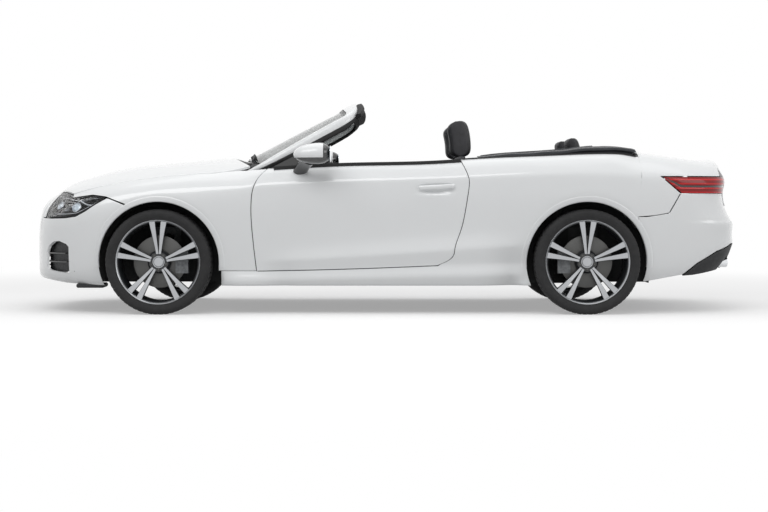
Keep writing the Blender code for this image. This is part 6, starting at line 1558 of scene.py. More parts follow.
def quarter_trim():
    """The belt strip's stretch over the quarter."""
    x = np.linspace(0.512, 1.64, 110)
    path = xyz(x, -0.775, roof_at(x, np.full_like(x, -0.775))[..., 2] + 0.002)
    section = [(-0.012, -0.006), (0.012, -0.006), (0.01, 0.004), (-0.01, 0.005)]
    pair(make_piece("quarter_strip_left", *sweep(path, section), "seal_rubber"))


def exhaust_tips():
    """Two bright oval tips with dark insides, and the muffler's rounded drum."""
    profile = circle(1.0, 48)
    # Each ring is (place along the car, half-width, half-height): the outside, the lip, then the inside
    tip = ((2.04, 0.066, 0.034), (2.27, 0.069, 0.037), (2.276, 0.0685, 0.0365), (2.276, 0.0645, 0.0325),
           (2.262, 0.063, 0.031), (2.12, 0.062, 0.03))
    parts, dark = [], []
    for y in (-0.555, 0.555):
        rings = []
        for x, ry, rz in tip:
            rings.append(np.column_stack([np.full(48, x), y + profile[:, 0] * ry, 0.331 + profile[:, 1] * rz]))
        parts.append(capped(np.stack(rings)))
        # A dark disc deep in each tip, in the seals' black rubber finish, is painted shade
        disc = np.column_stack([np.full(48, 2.124), y + profile[:, 0] * 0.061, 0.331 + profile[:, 1] * 0.029])
        dark.append(capped(np.stack([disc, disc + (0.002, 0, 0)])))
    make_piece("exhaust", *gather(*parts), "bright_chrome", smooth=50)
    make_piece("exhaust_shadow", *gather(*dark), "seal_rubber")
    box("muffler", (1.78, -0.5, 0.25), (2.056, 0.5, 0.455), 0.028, "cast_aluminium")


def plates_and_badges():
    """A blank plate on the boot lid's seat and its lamp bar above."""
    box("rear_plate", (2.286, -0.255, 0.768), (2.2935, 0.255, 0.872), 0.003, "plate_white", "boot_lid_body")
    path = xyz(2.262, np.linspace(-0.24, 0.24, 21), 0.905)
    make_piece("plate_lamp_bar", *sweep(path, circle(0.008, 12, 0.6)), "bright_chrome", "boot_lid_body")


def seams():
    """Rubber strips that close the view through the shut gaps a little below the skin."""
    z = np.linspace(0.3, 0.94, 60)
    for name, x in (("front", door_front(z) - 0.004), ("rear", door_rear(z) + 0.002)):
        skin = fan_hit(x, fan_angle(x, height=z))
        path = skin + (0, 0.024, 0)
        pair(make_piece(f"door_gap_{name}_left", *sweep(path, circle(0.007, 8), up=(0, 1, 0)), "seal_rubber"))


def tyre_parts():
    """A tyre about the Y axis: a rounded section with four grooves round it, then tread blocks cut by slots."""
    profile = []
    for y, r in ((0.098, 0.266), (0.107, 0.27), (0.11, 0.278), (0.117, 0.29), (0.1212, 0.302), (0.1222, 0.312),
                 (0.1205, 0.322), (0.116, 0.331), (0.109, 0.3375), (0.1, 0.3405)):
        profile.append((r, y))
    for y in (0.083, 0.048, 0.016):
        profile += [(0.3418, y + 0.0045), (0.335, y + 0.0035), (0.335, y - 0.0035), (0.342, y - 0.0045)]
    return profile + [(r, -y) for r, y in profile[::-1]] + [(0.262, -0.096), (0.262, 0.096)]


GROUND_GAP = 0.0005


def tyre(place_name, x, side):
    """One tyre: the turned section, closed, with slots pressed into the shoulder and rings on the side wall."""
    steps_round = 300
    profile = np.array(tyre_parts())
    a = turns(steps_round)[:, None]
    r = np.broadcast_to(profile[:, 0], (steps_round, len(profile))).copy()
    y = np.broadcast_to(profile[:, 1], (steps_round, len(profile))).copy()
    # Slots: every fifth step round, the tread between the grooves drops by 5 mm on the shoulder blocks
    tread = (r > 0.3385) & (np.abs(y) > 0.02)
    slot = (np.arange(steps_round)[:, None] % 5 == 0) & tread
    r = np.where(slot, r - 0.0045, r)
    # Fine raised rings on the side wall near the rim and at half height
    ring = 0.0012 * np.exp(-(((r - 0.284) / 0.0015) ** 2)) + 0.001 * np.exp(-(((r - 0.322) / 0.003) ** 2))
    y = y + np.sign(y) * ring * (np.abs(y) > 0.09)
    points = xyz(r * np.cos(a), y, r * np.sin(a)) + (x, side * HALF_TRACK, ROLLING_RADIUS)
    points[..., 2] = np.maximum(points[..., 2], GROUND_GAP)
    make_piece(f"tyre_{place_name}", points, grid_faces(steps_round, len(profile), True, True), "tyre_rubber",
               f"wheel_{place_name}", 30)


def spoke_parts():
    """Five twin spokes about the Y axis with their outer face towards -Y: machined faces and grey pocket walls."""
    faces_part, walls_part = [], []
    t = np.linspace(0, 1, 15)
    reach = 0.052 + (0.264 - 0.052) * t
    # The centre line of one arm leaves the hub near the pair's middle line and opens out to 40 mm at the rim
    middle = 0.0085 + (0.0385 - 0.0085) * t**1.15
    wide = 0.0078 + (0.0205 - 0.0078) * t**1.2
    face_y = -(0.066 + 0.034 * np.sin(pi / 2 * np.clip(t * 1.05, 0, 1)) ** 1.6)
    for spoke in range(5):
        turn = 2 * pi * spoke / 5
        c, s = cos(turn), sin(turn)
        for hand in (-1, 1):
            section = []
            for a, b in ((-1.0, 0.003), (-0.9, 0.0), (0.9, 0.0), (1.0, 0.003), (1.1, 0.03), (-1.1, 0.03)):
                u = hand * middle + a * wide
                section.append(xyz(u * c + reach * s, face_y + b, reach * c - u * s))
            rings = np.stack(section, 1)
            top = rings[:, 1:3].copy()
            top = np.stack([top[:, 0], top[:, 1], top[:, 1] + (0, 0.0012, 0), top[:, 0] + (0, 0.0012, 0)], 1)
            top[..., 1] -= 0.0008
            faces_part.append(capped(top))
            walls_part.append(capped(rings))
    return faces_part, walls_part


# A wheel's turned parts: steps round, and the closed profile as (radius, place along the axle, outwards is -Y)
WHEEL_PROFILES = {
    "lip": (160, ((0.2722, -0.1105), (0.2745, -0.1085), (0.2745, -0.104), (0.271, -0.0985), (0.264, -0.0985),
                  (0.2632, -0.101), (0.267, -0.106))),
    "barrel": (120, ((0.26, -0.0985), (0.2665, -0.099), (0.269, -0.096), (0.2615, 0.09), (0.2735, 0.103),
                     (0.2735, 0.11), (0.268, 0.11), (0.253, 0.09), (0.251, 0.02), (0.256, -0.09))),
    "hub": (80, ((0.0005, -0.064), (0.062, -0.064), (0.07, -0.056), (0.076, -0.04), (0.076, 0.017),
                 (0.0005, 0.017))),
    "hub_face": (80, ((0.033, -0.0672), (0.0345, -0.0684), (0.0385, -0.068), (0.0395, -0.064), (0.033, -0.064))),
    "cap": (64, ((0.0005, -0.0716), (0.02, -0.0712), (0.029, -0.0696), (0.0315, -0.067), (0.0315, -0.063),
                 (0.0005, -0.063))),
    "disc": (120, ((0.078, 0.014), (0.168, 0.014), (0.17, 0.012), (0.17, 0.004), (0.166, 0.003),
                   (0.166, -0.001), (0.17, -0.002), (0.17, -0.009), (0.168, -0.01), (0.078, -0.01))),
    "bolt": (6, ((0.0005, -0.0735), (0.0058, -0.0735), (0.0075, -0.0715), (0.0075, -0.065), (0.0095, -0.064),
                 (0.0005, -0.063))),
    "well": (24, ((0.0115, -0.0678), (0.0135, -0.0682), (0.014, -0.066), (0.0115, -0.065))),
}
BOLT_RADIUS = 0.05


def wheel(place_name, x, side):
    """One wheel's rim pieces: machined faces and lip, grey barrel and pockets, brake disc, bolts and blank cap."""
    faces_part, walls_part = spoke_parts()
    parts = {kind: turned(profile, steps_round) for kind, (steps_round, profile) in WHEEL_PROFILES.items()}
    bolts = []
    for turn in turns(5) + pi / 5:
        for kind in ("bolt", "well"):
            points, faces = parts[kind]
            bolts.append((points + (BOLT_RADIUS * sin(turn), 0, BOLT_RADIUS * cos(turn)), faces))
    groups = (
        ("rim", gather(*faces_part, parts["lip"], parts["hub_face"]), "machined_aluminium"),
        ("rim_pockets", gather(*walls_part, parts["barrel"], parts["hub"]), "wheel_grey_lacquer"),
        ("rim_cap", gather(parts["cap"]), "machined_aluminium"), ("rim_bolts", gather(*bolts), "cast_iron"),
        ("rim_disc", gather(parts["disc"]), "cast_iron"),
    )
    for kind, (points, faces), coat in groups:
        points = points * (1, -side, 1) if side > 0 else points
        moved = points + (x, side * HALF_TRACK, ROLLING_RADIUS)
        piece = make_piece(f"{kind}_{place_name}", moved, faces, coat, f"wheel_{place_name}", 32)
        store = np.empty(len(piece.data.vertices) * 3)
        piece.data.vertices.foreach_get("co", store)
        at = store.reshape(-1, 3) - (x, 0, ROLLING_RADIUS)
        layer = piece.data.attributes.new("radius", "FLOAT", "POINT")
        layer.data.foreach_set("value", np.hypot(at[:, 0], at[:, 2]))


def all_wheels():
    for place_name, x, side in (
        ("front_left", FRONT_AXLE_X, -1), ("front_right", FRONT_AXLE_X, 1),
        ("rear_left", REAR_AXLE_X, -1), ("rear_right", REAR_AXLE_X, 1),
    ):
        tyre(place_name, x, side)
        wheel(place_name, x, side)


SEAT_Y, SEAT_HALF = 0.37, 0.245
STEERING_CENTRE, STEERING_TILT = np.array([-0.33, -0.37, 0.905]), radians(24)


def cushion(centre_rows, half_width, thickness, puff=1.0, columns=41, channel=None):
    """A padded slab along a line of the side view: its two skins part by a crown that closes round the rim.

    centre_rows are (x, z) points along the padding's middle. Across the car the skins bulge as 1 - |v|^n, and the
    channels are shallow grooves at equal steps.
    """
    rows = np.asarray(centre_rows, float)
    t = np.concatenate([[0], np.cumsum(np.linalg.norm(np.diff(rows, axis=0), axis=1))])
    fine = np.linspace(0, t[-1], 61)
    line = np.stack([spline(np.stack([t, rows[:, k]], -1), 1.0, 1.0)(fine) for k in (0, 1)], -1)
    way = np.gradient(line, axis=0)
    way /= np.linalg.norm(way, axis=1, keepdims=True)
    side = np.stack([-way[:, 1], way[:, 0]], -1)
    v = np.linspace(-1, 1, columns)
    long_share = np.linspace(-1, 1, len(fine))
    crown = (1 - np.abs(long_share)[:, None] ** 6) ** 0.5 * (1 - np.abs(v)[None, :] ** 6) ** 0.5
    bolster = 1 + 0.55 * puff * np.exp(-(((np.abs(v) - 0.8) / 0.16) ** 2))[None, :]
    groove = np.ones_like(crown)
    if channel:
        inside = (np.abs(v) < 0.62)[None, :]
        wave = np.abs(np.sin(pi * channel * (fine / t[-1])))[:, None]
        groove = np.where(inside, 1 - 0.1 * (1 - wave) ** 3, 1)
        seam = np.exp(-(((np.abs(v) - 0.63) / 0.025) ** 2))[None, :]
        groove = groove * (1 - 0.16 * seam)
    height = thickness / 2 * crown * groove
    top = height * bolster
    y = np.broadcast_to(v * half_width, crown.shape)
    front = xyz(line[:, :1] + side[:, :1] * top, y, line[:, 1:] + side[:, 1:] * top)
    back = xyz(line[:, :1] - side[:, :1] * height, y, line[:, 1:] - side[:, 1:] * height)
    return front, back


def seat_pieces(y, name):
    """A front seat: base cushion, backrest with bolsters, ribbed headrest on two posts, and a plastic foot."""
    base_line = [(-0.21, 0.48), (-0.15, 0.505), (-0.02, 0.49), (0.13, 0.462), (0.29, 0.45)]
    rest_line = [(0.335, 0.5), (0.385, 0.64), (0.44, 0.82), (0.5, 0.96), (0.535, 1.03)]
    parts = [pad(base_line, SEAT_HALF - 0.005, 0.09, 1.0, 7, y), pad(rest_line, SEAT_HALF - 0.01, 0.085, 1.1, 9, y)]
    seat = make_piece(name, *gather(*parts), "smooth_leather", smooth=60)
    rest_line = [(0.512, 1.03), (0.512, 1.11), (0.502, 1.19), (0.48, 1.266)]
    rest = make_piece(name.replace("seat", "headrest"), *headrest(rest_line, 0.128, 0.134, 0.0045, 0.95, y),
                      "smooth_leather", smooth=60)
    posts = [tube((0.522, y + s * 0.055, 1.0), (0.53, y + s * 0.055, 1.085), 0.006) for s in (-1, 1)]
    make_piece(name + "_posts", *gather(*posts), "bright_chrome")
    box(name + "_base", (-0.205, y - 0.215, 0.224), (0.33, y + 0.215, 0.43), 0.03, "moulded_plastic")
    # A line of thread down the backrest on each side of its middle panel
    thread_line = ((0.3, 0.52), (0.345, 0.66), (0.398, 0.82), (0.452, 0.95), (0.485, 1.02))
    lines = [np.array([(x, y + side * 0.15, z) for x, z in thread_line]) for side in (-1, 1)]
    threads = [sweep(line, circle(0.0016, 6), up=(0, 1, 0)) for line in lines]
    make_piece(name + "_stitches", *gather(*threads), "stitching_thread")


def pad(centre_rows, half_width, thickness, puff, channel, y):
    """A cushion at a place across the car, as a closed form."""
    front, back = cushion(centre_rows, half_width, thickness, puff, channel=channel)
    return shell_parts(front + (0, y, 0), back + (0, y, 0))


def headrest(centre_rows, half_width, thickness, depth, reach, y):
    """A cushion with ten shallow upright flutes pressed into both faces, out to a share of its half-width."""
    front, back = cushion(centre_rows, half_width, thickness, 0.0, 61)
    v = np.linspace(-1, 1, 61)
    flute = depth * np.abs(np.sin(pi * 5 * v)) ** 0.6 * (np.abs(v) < reach)
    front[..., 0] -= flute
    back[..., 0] += flute
    return shell_parts(front + (0, y, 0), back + (0, y, 0))


def rear_seat():
    """The rear bench: two hollowed places on one base, a shared backrest, and a low ribbed headrest at each place."""
    base_line = [(0.8, 0.5), (0.9, 0.52), (1.04, 0.505), (1.17, 0.49)]
    back_line = [(1.205, 0.54), (1.25, 0.66), (1.3, 0.8), (1.34, 0.895)]
    rest_line = [(1.3, 0.945), (1.292, 1.02), (1.278, 1.085), (1.258, 1.155)]
    parts, rests, posts = [], [], []
    for y in (-0.285, 0.285):
        parts += [pad(base_line, 0.27, 0.08, 0.7, 5, y), pad(back_line, 0.27, 0.08, 0.7, 6, y)]
    seat = make_piece("rear_seat", *gather(*parts), "smooth_leather", smooth=60)
    box("rear_seat_base", (0.8, -0.54, 0.224), (1.24, 0.54, 0.465), 0.02, "tufted_carpet")
    for y in (-0.33, 0.33):
        rests.append(headrest(rest_line, 0.125, 0.08, 0.004, 2, y))
        posts += [tube((1.3, y + s * 0.05, 0.88), (1.298, y + s * 0.05, 0.975), 0.006) for s in (-1, 1)]
    rest = make_piece("rear_headrests", *gather(*rests), "smooth_leather", smooth=60)
    make_piece("rear_headrest_posts", *gather(*posts), "bright_chrome")


def dashboard():
    """The dashboard: a padded top carried across the car, a hood over two dials, a display, vents and a strip."""
    y = np.linspace(-0.626, 0.626, 61)
    outline = [(-0.935, 0.9), (-0.83, 0.958), (-0.7, 0.97), (-0.58, 0.945), (-0.535, 0.915), (-0.52, 0.88),
               (-0.53, 0.82), (-0.56, 0.76), (-0.6, 0.69), (-0.7, 0.65), (-0.85, 0.66), (-0.935, 0.72)]
    closed = np.array(outline + outline[:1])
    t = np.linspace(0, len(outline), 73)[:-1]
    ring = np.stack([np.interp(t, range(len(closed)), closed[:, k]) for k in (0, 1)], -1)
    ring = (np.roll(ring, 1, 0) + 2 * ring + np.roll(ring, -1, 0)) / 4
    hood = np.exp(-(((y + 0.37) / 0.165) ** 4))
    rings = xyz(ring[:, 0], y[:, None], ring[:, 1])
    upper = (ring[:, 1] > 0.9)[None, :]
    rings[..., 2] += np.where(upper, 0.018 * hood[:, None], 0)
    rings[..., 0] += np.where(upper & (ring[:, 0] > -0.62)[None, :], 0.02 * hood[:, None], 0)
    make_piece("dashboard", *capped(rings), "smooth_leather", smooth=50)
    box("instrument_screen", (-0.53, -0.5, 0.838), (-0.508, -0.24, 0.915), 0.006, "screen_glass")
    box("centre_display", (-0.52, -0.115, 0.815), (-0.505, 0.115, 0.905), 0.006, "screen_glass")
    box("dash_trim", (-0.534, -0.6, 0.785), (-0.52, 0.6, 0.799), 0.004, "brushed_trim")
    vents, fins = [], []
    for middle, wide in ((-0.56, 0.045), (-0.175, 0.045), (0.175, 0.045), (0.56, 0.045)):
        low, high = middle - wide, middle + wide
        vents.append(slab((-0.534, low, 0.822), (-0.514, high, 0.868), 0.008))
        for z in (0.834, 0.845, 0.856):
            fins.append(slab((-0.517, low + 0.006, z - 0.0015), (-0.509, high - 0.006, z + 0.0015), 0.001))
    make_piece("dash_vents", *gather(*vents), "black_lacquer")
    make_piece("dash_vent_fins", *gather(*fins), "brushed_trim")
    axis = np.array([cos(STEERING_TILT), 0, sin(STEERING_TILT)])
    column = tube(STEERING_CENTRE - axis * 0.235, STEERING_CENTRE - axis * 0.034, 0.033, 32)
    root = STEERING_CENTRE - axis * 0.06
    stalks = [tube(root, root + (0.0, hand * 0.135, 0.03), 0.0065) for hand in (-1, 1)]
    make_piece("steering_column", *column, "moulded_plastic")
    make_piece("column_stalks", *gather(*stalks), "moulded_plastic")


def console():
    """The centre console: a rounded ridge with a selector, a glossy tray and the ring of a cup well."""
    shares = ((-0.235, 0.2275), (0.3, 0.2275), (0.29, 0.4), (0.15, 0.43), (-0.06, 0.4), (-0.2, 0.44))
    outline = np.array(shares) * (HALF_LENGTH, HEIGHT)
    piece = make_piece("centre_console", *drawn(outline, "Y", -0.092, 0.092), "moulded_plastic")
    bevel = piece.modifiers.new("round", "BEVEL")
    bevel.width, bevel.segments = 0.014, 4
    apply_modifiers(piece)
    piece.data.shade_smooth()
    piece.data.set_sharp_from_angle(angle=radians(40))
    box("console_deck", (-0.4, -0.07, 0.585), (-0.13, 0.07, 0.603), 0.006, "black_lacquer")
    lever = tube((-0.3, 0, 0.6), (-0.285, 0, 0.65), 0.01)
    knob = slab((-0.312, -0.022, 0.645), (-0.258, 0.022, 0.69), 0.012)
    make_piece("gear_selector", *gather(lever, knob), "smooth_leather")
    ring, faces = turned([(0.036, 0.0), (0.04, 0.0), (0.04, 0.008), (0.036, 0.008)], 40)
    make_piece("console_ring", ring[..., (0, 2, 1)] + (-0.21, 0, 0.601), faces, "bright_chrome")


def steering_wheel():
    """The steering wheel: a thick leather rim, three spokes, a padded hub and a bright line, tilted to the column."""
    axis = Vector((cos(STEERING_TILT), 0, sin(STEERING_TILT)))
    turn = np.array(axis.to_track_quat("Z", "Y").to_matrix())

    def placed(part):
        return np.asarray(part[0]).reshape(-1, 3) @ turn.T + STEERING_CENTRE, part[1]

    a = turns(96)
    path = xyz(0.18 * np.cos(a), 0.18 * np.sin(a), np.zeros(96))
    rim = sweep(path, circle(0.0148, 16), closed=True)
    hub = slab((-0.052, -0.058, -0.026), (0.056, 0.058, 0.012), 0.016)
    spokes = []
    for direction in ((0, 1, 0), (0, -1, 0), (1, 0, 0)):
        d = np.array(direction, float)
        line = d * np.linspace(0.045, 0.172, 9)[:, None] + (0, 0, -0.006)
        spokes.append(sweep(line, [(-0.016, -0.007), (0.016, -0.007), (0.014, 0.006), (-0.014, 0.006)]))
    make_piece("steering_wheel", *gather(placed(rim), placed(hub)), "smooth_leather", "steering_wheel_body", 45)
    make_piece("steering_spokes", *gather(*(placed(s) for s in spokes)), "brushed_trim", "steering_wheel_body", 45)


def cabin_lining():
    """Carpets, door cards with armrests and pulls, belts, pedals and the inner mirror."""
    carpets = [slab((-0.9, low, 0.221), (0.76, low + 0.515, 0.233), 0.004) for low in (-0.64, 0.125)]
    make_piece("carpets", *gather(*carpets), "tufted_carpet")
    x, z = grid(np.linspace(-0.6, 0.42, 61), np.linspace(0.42, 0.955, 41))
    swell = 0.016 * np.exp(-(((z - 0.66) / 0.045) ** 4)) * np.exp(-(((x - 0.02) / 0.34) ** 6))
    top = 0.01 * np.exp(-(((z - 0.9) / 0.06) ** 2))
    y = -0.741 + 0.004 + swell + top
    near, far = door_front(z) + 0.045, door_rear(z) - 0.045
    x = near + (far - near) * (x + 0.6) / 1.02
    sheet = xyz(x, y, z)
    card = shell("door_card_left", sheet, xyz(x, -0.744, z), "smooth_leather", "door_left_body", 60)
    pair(card)
    pull = xyz(np.linspace(-0.22, 0.02, 21), -0.716, 0.745 + 0.012 * np.sin(np.linspace(0, pi, 21)))
    pair(make_piece("door_pull_left", *sweep(pull, circle(0.008, 12)), "brushed_trim", "door_left_body"))
    path = np.array([(0.6, 0.615, 0.9), (0.62, 0.625, 0.7), (0.62, 0.635, 0.45), (0.6, 0.635, 0.3)])
    section = [(-0.024, -0.0008), (0.024, -0.0008), (0.024, 0.0008), (-0.024, 0.0008)]
    belts = [sweep(path * (1, side, 1), section, up=(1, 0, 0)) for side in (-1, 1)]
    make_piece("seat_belts", *gather(*belts), "webbing")
    go = slab((-0.86, -0.3, 0.33), (-0.845, -0.25, 0.43), 0.004)
    stop = slab((-0.85, -0.43, 0.36), (-0.835, -0.35, 0.42), 0.004)
    make_piece("pedals", *gather(go, stop), "brushed_trim")
    path = np.array([(-0.3, 0, 1.352), (-0.29, 0, 1.33), (-0.275, 0, 1.312)])
    stem = sweep(path, circle(0.008, 12), up=(0, 1, 0))
    head = slab((-0.292, -0.12, 1.262), (-0.262, 0.12, 1.322), 0.014)
    make_piece("inner_mirror", *gather(stem, head), "moulded_plastic")
    box("inner_mirror_glass", (-0.2635, -0.108, 1.27), (-0.261, 0.108, 1.314), 0.001, "mirror_silver")


# The cover's height along the car, then the well's edge under it, seen from above
TONNEAU_LINE_SHARES = (
    (0.262, 0.738), (0.302, 0.747), (0.411, 0.76), (0.502, 0.7715), (0.574, 0.783), (0.638, 0.785), (0.702, 0.776),
)
TONNEAU_WELL_SHARES = (
    (0.2, 0.64), (0.48, 0.64), (0.52, 0.628), (0.545, 0.605), (0.575, 0.56), (0.59, 0.5), (0.594, 0.3),
)
TONNEAU_HALF_WIDTH = 0.742


def tonneau():
    """The cover over the folded roof: a fabric sheet draped over its bows, U-shaped, with raised seams and a hem."""
    line = spline(TONNEAU_LINE_SHARES, HALF_LENGTH, HEIGHT)
    first, last = TONNEAU_LINE_SHARES[0][0], TONNEAU_LINE_SHARES[-1][0]
    u, v = grid(np.linspace(first, last, 150) * HALF_LENGTH, np.linspace(-1, 1, 161))
    y = v * TONNEAU_HALF_WIDTH
    rise = line(u) * (1 - 0.02 * np.abs(v) ** 4)
    # The fabric dips between two hidden bows by 3.5 mm and puckers finely near its rear edge
    dip = 0.0035 * (0.5 + 0.5 * np.cos(2 * pi * (u - 0.71) / 0.235))
    rise = rise - dip - 0.0006 * np.sin(90 * y) * np.clip((u - 1.55) / 0.1, 0, 1)
    for place_y in (-0.36, 0.36):
        rise = rise + 0.0016 * np.exp(-(((y - place_y) / 0.006) ** 2))
    outer = xyz(u, y, rise - 0.001)
    outer = fold_edges(outer)
    cover = shell("tonneau_cover", outer, outer - (0, 0, 0.003), "acrylic_canvas", smooth=60)
    well = np.array(TONNEAU_WELL_SHARES) * (HALF_LENGTH, HALF_WIDTH)
    well = np.concatenate([well, well[::-1] * (1, -1)])
    cut(cover, drawn(well, "Z", 0.0, 2.0))
    surface_area(cover) / 2
    # The folded roof under it fills the well's walls down to the deck
    stack = outer[2:-2:3, 2:-2:4].copy()
    stack[..., 2] -= 0.005
    foot = stack.copy()
    foot[..., 2] = 0.972
    pile = shell("folded_roof", stack, foot, "acrylic_canvas", smooth=60)
    cut(pile, drawn(well, "Z", 0.0, 2.0))
    edge = densify(well)
    x, y = edge[edge[:, 0] > 0.63].T
    points = xyz(x + 0.004, y * 1.012, line(x) * (1 - 0.02 * np.abs(y / 0.745) ** 4) - 0.003)
    make_piece("tonneau_hem", *sweep(points, circle(0.0055, 10)), "acrylic_canvas", smooth=60)


def densify(points, each=8):
    """A line of points with every stretch split evenly."""
    points = np.asarray(points, float)
    t = np.linspace(0, len(points) - 1, (len(points) - 1) * each + 1)
    return np.stack([np.interp(t, range(len(points)), points[:, k]) for k in (0, 1)], -1)


def fold_edges(points, fall=0.012):
    """A sheet with the last row of points at its rear and side edges lowered, where its hem turns down."""
    out = points.copy()
    for edge in (out[:, 0], out[:, -1], out[-1]):
        edge[..., 2] -= fall
    return out


def surface_area(piece):
    areas = np.empty(len(piece.data.polygons))
    piece.data.polygons.foreach_get("area", areas)
    return float(areas.sum())


# The photograph's camera: place, aim and lens
CAMERA_PLACE = (0.0, -12.0, 0.768)
CAMERA_PITCH_DEG = 2.0
CAMERA_LENS = 80.6
SENSOR = 36.0

KEPT_FINISHES = {
    "floor_pan": "underbody_coating", "engine_block": "cast_aluminium", "front_subframe": "underbody_coating",
    "rear_axle": "cast_aluminium", "knuckle_left": "cast_aluminium", "knuckle_right": "cast_aluminium",
}


def dress_solids():
    """Hide the solids that finer pieces stand for, and give the kept ones their real finish."""
    for node in frame["nodes"]:
        if node not in KEPT_FINISHES:
            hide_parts(node)
    for node, coat in KEPT_FINISHES.items():
        solid = frame["nodes"][node]
        for place in solid.material_slots:
            place.material = finish_of(coat)


def seen_rays(tree):
    """1 for the rays that show the background: the camera's, and those that metal and glass send on."""
    path = add_node(tree, "ShaderNodeLightPath").outputs
    rays = {0: path["Is Camera Ray"], 1: path["Is Glossy Ray"]}
    pair_of = add_node(tree, "ShaderNodeMath", rays, operation="MAXIMUM")
    both = {0: pair_of.outputs[0], 1: path["Is Transmission Ray"]}
    return add_node(tree, "ShaderNodeMath", both, operation="MAXIMUM").outputs[0]


def studio():
    """The white paper floor, the lamps and the camera of the photograph."""
    scene = bpy.context.scene
    settings = scene.convertible_stage
    mesh = bpy.data.meshes.new("floor")
    mesh.from_pydata([(-60, -60, 0), (60, -60, 0), (60, 60, 0), (-60, 60, 0)], [], [(0, 1, 2, 3)])
    mesh.materials.append(finish_of("studio_floor"))
    floor = bpy.data.objects.new("floor", mesh)
    scene.collection.objects.link(floor)
    world = scene.world or bpy.data.worlds.new("studio_world")
    scene.world = world
    world.use_nodes = True
    tree = world.node_tree
    tree.nodes.clear()
    seen = seen_rays(tree)
    around = add_node(tree, "ShaderNodeTexCoord").outputs["Generated"]
    split = add_node(tree, "ShaderNodeSeparateXYZ", {"Vector": around})
    # A studio seen in the lacquer: dark low down, a bright roof light above, grey walls between
    wall = add_node(tree, "ShaderNodeValToRGB", {"Fac": split.outputs["Z"]})
    stops = wall.color_ramp.elements
    stops[0].position, stops[0].color = 0.0, (0.62, 0.62, 0.63, 1)
    stops[1].position, stops[1].color = 1.0, (1.35, 1.35, 1.35, 1)
    for position, level in ((0.1, 0.5), (0.3, 0.62), (0.55, 1.05)):
        made = stops.new(position)
        made.color = (level, level, level * 1.01, 1)
    light = add_node(tree, "ShaderNodeBackground", {"Color": wall.outputs["Color"], "Strength": settings.sky})
    white = add_node(tree, "ShaderNodeBackground", {"Color": (1, 1, 1, 1), "Strength": 1.0})
    mixed = add_node(tree, "ShaderNodeMixShader", {0: seen, 1: light.outputs[0], 2: white.outputs[0]})
    add_node(tree, "ShaderNodeOutputWorld", {"Surface": mixed.outputs[0]})
    for name, place_at, aim, size, power in (
        ("key_light", (-2.5, -6.0, 5.6), (0, 0, 0.4), (7.0, 3.0), settings.key),
        ("roof_light", (0.5, 0.5, 7.0), (0, 0, 0.0), (9.0, 5.0), settings.roof),
        ("fill_light", (6.0, -4.5, 3.0), (0.6, 0, 0.5), (4.0, 3.0), settings.fill),
    ):
        lamp = bpy.data.lights.new(name, "AREA")
        lamp.shape, lamp.size, lamp.size_y, lamp.energy = "RECTANGLE", *size, power
        holder = bpy.data.objects.new(name, lamp)
        holder.location = place_at
        holder.rotation_euler = (Vector(aim) - Vector(place_at)).to_track_quat("-Z", "Y").to_euler()
        scene.collection.objects.link(holder)
    camera = bpy.data.cameras.new("camera")
    camera.lens, camera.sensor_width = CAMERA_LENS, SENSOR
    holder = bpy.data.objects.new("camera", camera)
    holder.location = CAMERA_PLACE
    holder.rotation_euler = (radians(90 - CAMERA_PITCH_DEG), 0, 0)
    scene.collection.objects.link(holder)
    scene.camera = holder
    scene.view_settings.view_transform = "Standard"


class BodySettings(bpy.types.PropertyGroup):
    """What the body's painted pieces share."""

    paint: FloatVectorProperty(name="Paint", description="Colour of the lacquer under its clear coat",
                               subtype="COLOR", size=3, min=0, max=1, default=linear("#EEF0F1")[:3])
    hem: FloatProperty(name="Edge roll", description="How far a panel's edge rolls in at its shut line",
                       default=0.0022, min=0.0, max=0.004, unit="LENGTH")


class StageSettings(bpy.types.PropertyGroup):
    """The studio round the car."""

    shadow: FloatProperty(name="Shadow", description="How much of the paper's tone comes from the lamps",
                          default=0.72, min=0, max=1)
    lit: FloatProperty(name="Paper light", description="How bright the lamps make white paper beside the car",
                       default=0.9, min=0, max=2)
    bounce: FloatProperty(name="Bounce", description="How pale the floor is for the light it sends back up",
                          default=0.5, min=0, max=1)
    sky: FloatProperty(name="Sky", description="Strength of the light from all round", default=0.47, min=0, max=4)
    key: FloatProperty(name="Key", description="Power of the key light", default=200.0, min=0, unit="POWER")
    roof: FloatProperty(name="Roof", description="Power of the roof light", default=95.0, min=0, unit="POWER")
    fill: FloatProperty(name="Fill", description="Power of the fill light", default=70.0, min=0, unit="POWER")


def operator(name, label, text, *steps_to_run):
    """An operator class that makes one piece or one group of like pieces."""

    def execute(self, context):
        for step in steps_to_run:
            step()
        return {"FINISHED"}

    members = {"__doc__": text, "bl_idname": f"convertible.{name}", "bl_label": label, "execute": execute}
    return type(f"CONVERTIBLE_OT_{name}", (bpy.types.Operator,), members)


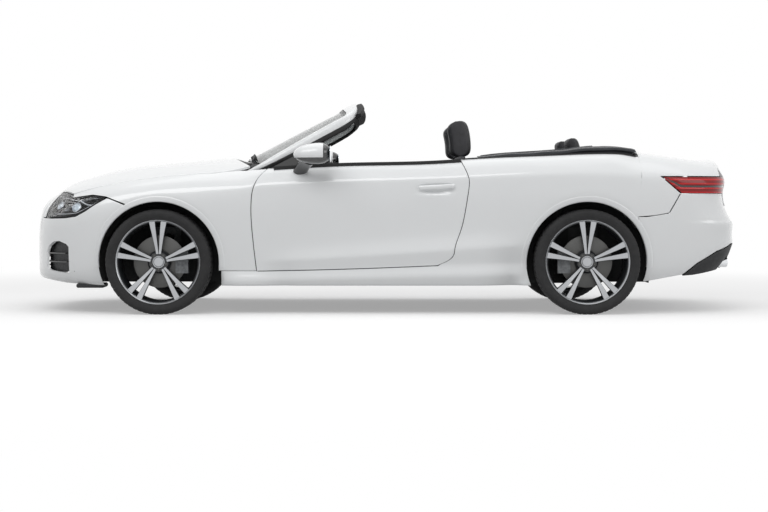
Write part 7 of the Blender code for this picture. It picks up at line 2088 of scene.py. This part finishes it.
OPERATORS = (
    operator("bonnet", "Bonnet", "Make the bonnet and its arms.", bonnet),
    operator("fenders", "Fenders", "Make both front wings.", front_fender),
    operator("doors", "Doors", "Make both doors with their outer trim.", door, door_trim),
    operator("quarters", "Quarters", "Make both rear quarters with the sills.", quarter, quarter_trim, arch_lips,
             arch_bands, wheel_liners, seams),
    operator("boot_lid", "Boot lid", "Make the boot lid with its blank plate.", boot_lid, plates_and_badges),
    operator("front_end", "Front end", "Make the front bumper with its openings.", front_bumper, nose_openings,
             under_lip),
    operator("rear_end", "Rear end", "Make the rear bumper, diffuser and exhaust.", rear_bumper, diffuser,
             exhaust_tips),
    operator("lamps", "Lamps", "Make the head lamps and tail lamps.", headlamps, tail_lamps),
    operator("screen", "Windscreen", "Make the frame, pane, cowl and wipers.", windscreen_frame, windscreen_glass,
             cowl_and_wipers),
    operator("mirrors", "Mirrors", "Make both door mirrors.", mirrors),
    operator("wheels", "Wheels", "Make all four wheels.", all_wheels),
    operator("seats", "Seats", "Make the seats.", lambda: seat_pieces(-SEAT_Y, "front_seat_left"),
             lambda: seat_pieces(SEAT_Y, "front_seat_right"), rear_seat),
    operator("cabin", "Cabin", "Make the dashboard, console, steering wheel and linings.", dashboard, console,
             steering_wheel, cabin_lining),
    operator("tonneau", "Roof cover", "Make the cover over the folded roof.", tonneau),
    operator("solids", "Solids", "Dress or hide the packed solids.", dress_solids),
    operator("stage", "Studio", "Make the floor, lamps and camera.", studio),
)


class CONVERTIBLE_PT_panel(bpy.types.Panel):
    """All steps in the order in which main() runs them."""

    bl_idname = "CONVERTIBLE_PT_panel"
    bl_label = "Convertible car"
    bl_space_type = "VIEW_3D"
    bl_region_type = "UI"
    bl_category = "Convertible"

    def draw(self, context):
        for settings in (context.scene.convertible_body, context.scene.convertible_stage):
            for name in settings.bl_rna.properties.keys():
                if name not in ("rna_type", "name"):
                    self.layout.prop(settings, name)
        for made in OPERATORS:
            self.layout.operator(made.bl_idname)


CLASSES = (BodySettings, StageSettings, *OPERATORS, CONVERTIBLE_PT_panel)


def register():
    for made in CLASSES:
        bpy.utils.register_class(made)
    bpy.types.Scene.convertible_body = PointerProperty(type=BodySettings)
    bpy.types.Scene.convertible_stage = PointerProperty(type=StageSettings)


def unregister():
    del bpy.types.Scene.convertible_stage
    del bpy.types.Scene.convertible_body
    for made in reversed(CLASSES):
        bpy.utils.unregister_class(made)


def main():
    register()
    for made in OPERATORS:
        call = getattr(bpy.ops.convertible, made.bl_idname.split(".")[1])
        if call() != {"FINISHED"}:
            raise RuntimeError(f"{made.bl_label} did not finish")
    bpy.context.view_layer.update()


if __name__ == "__main__":
    main()
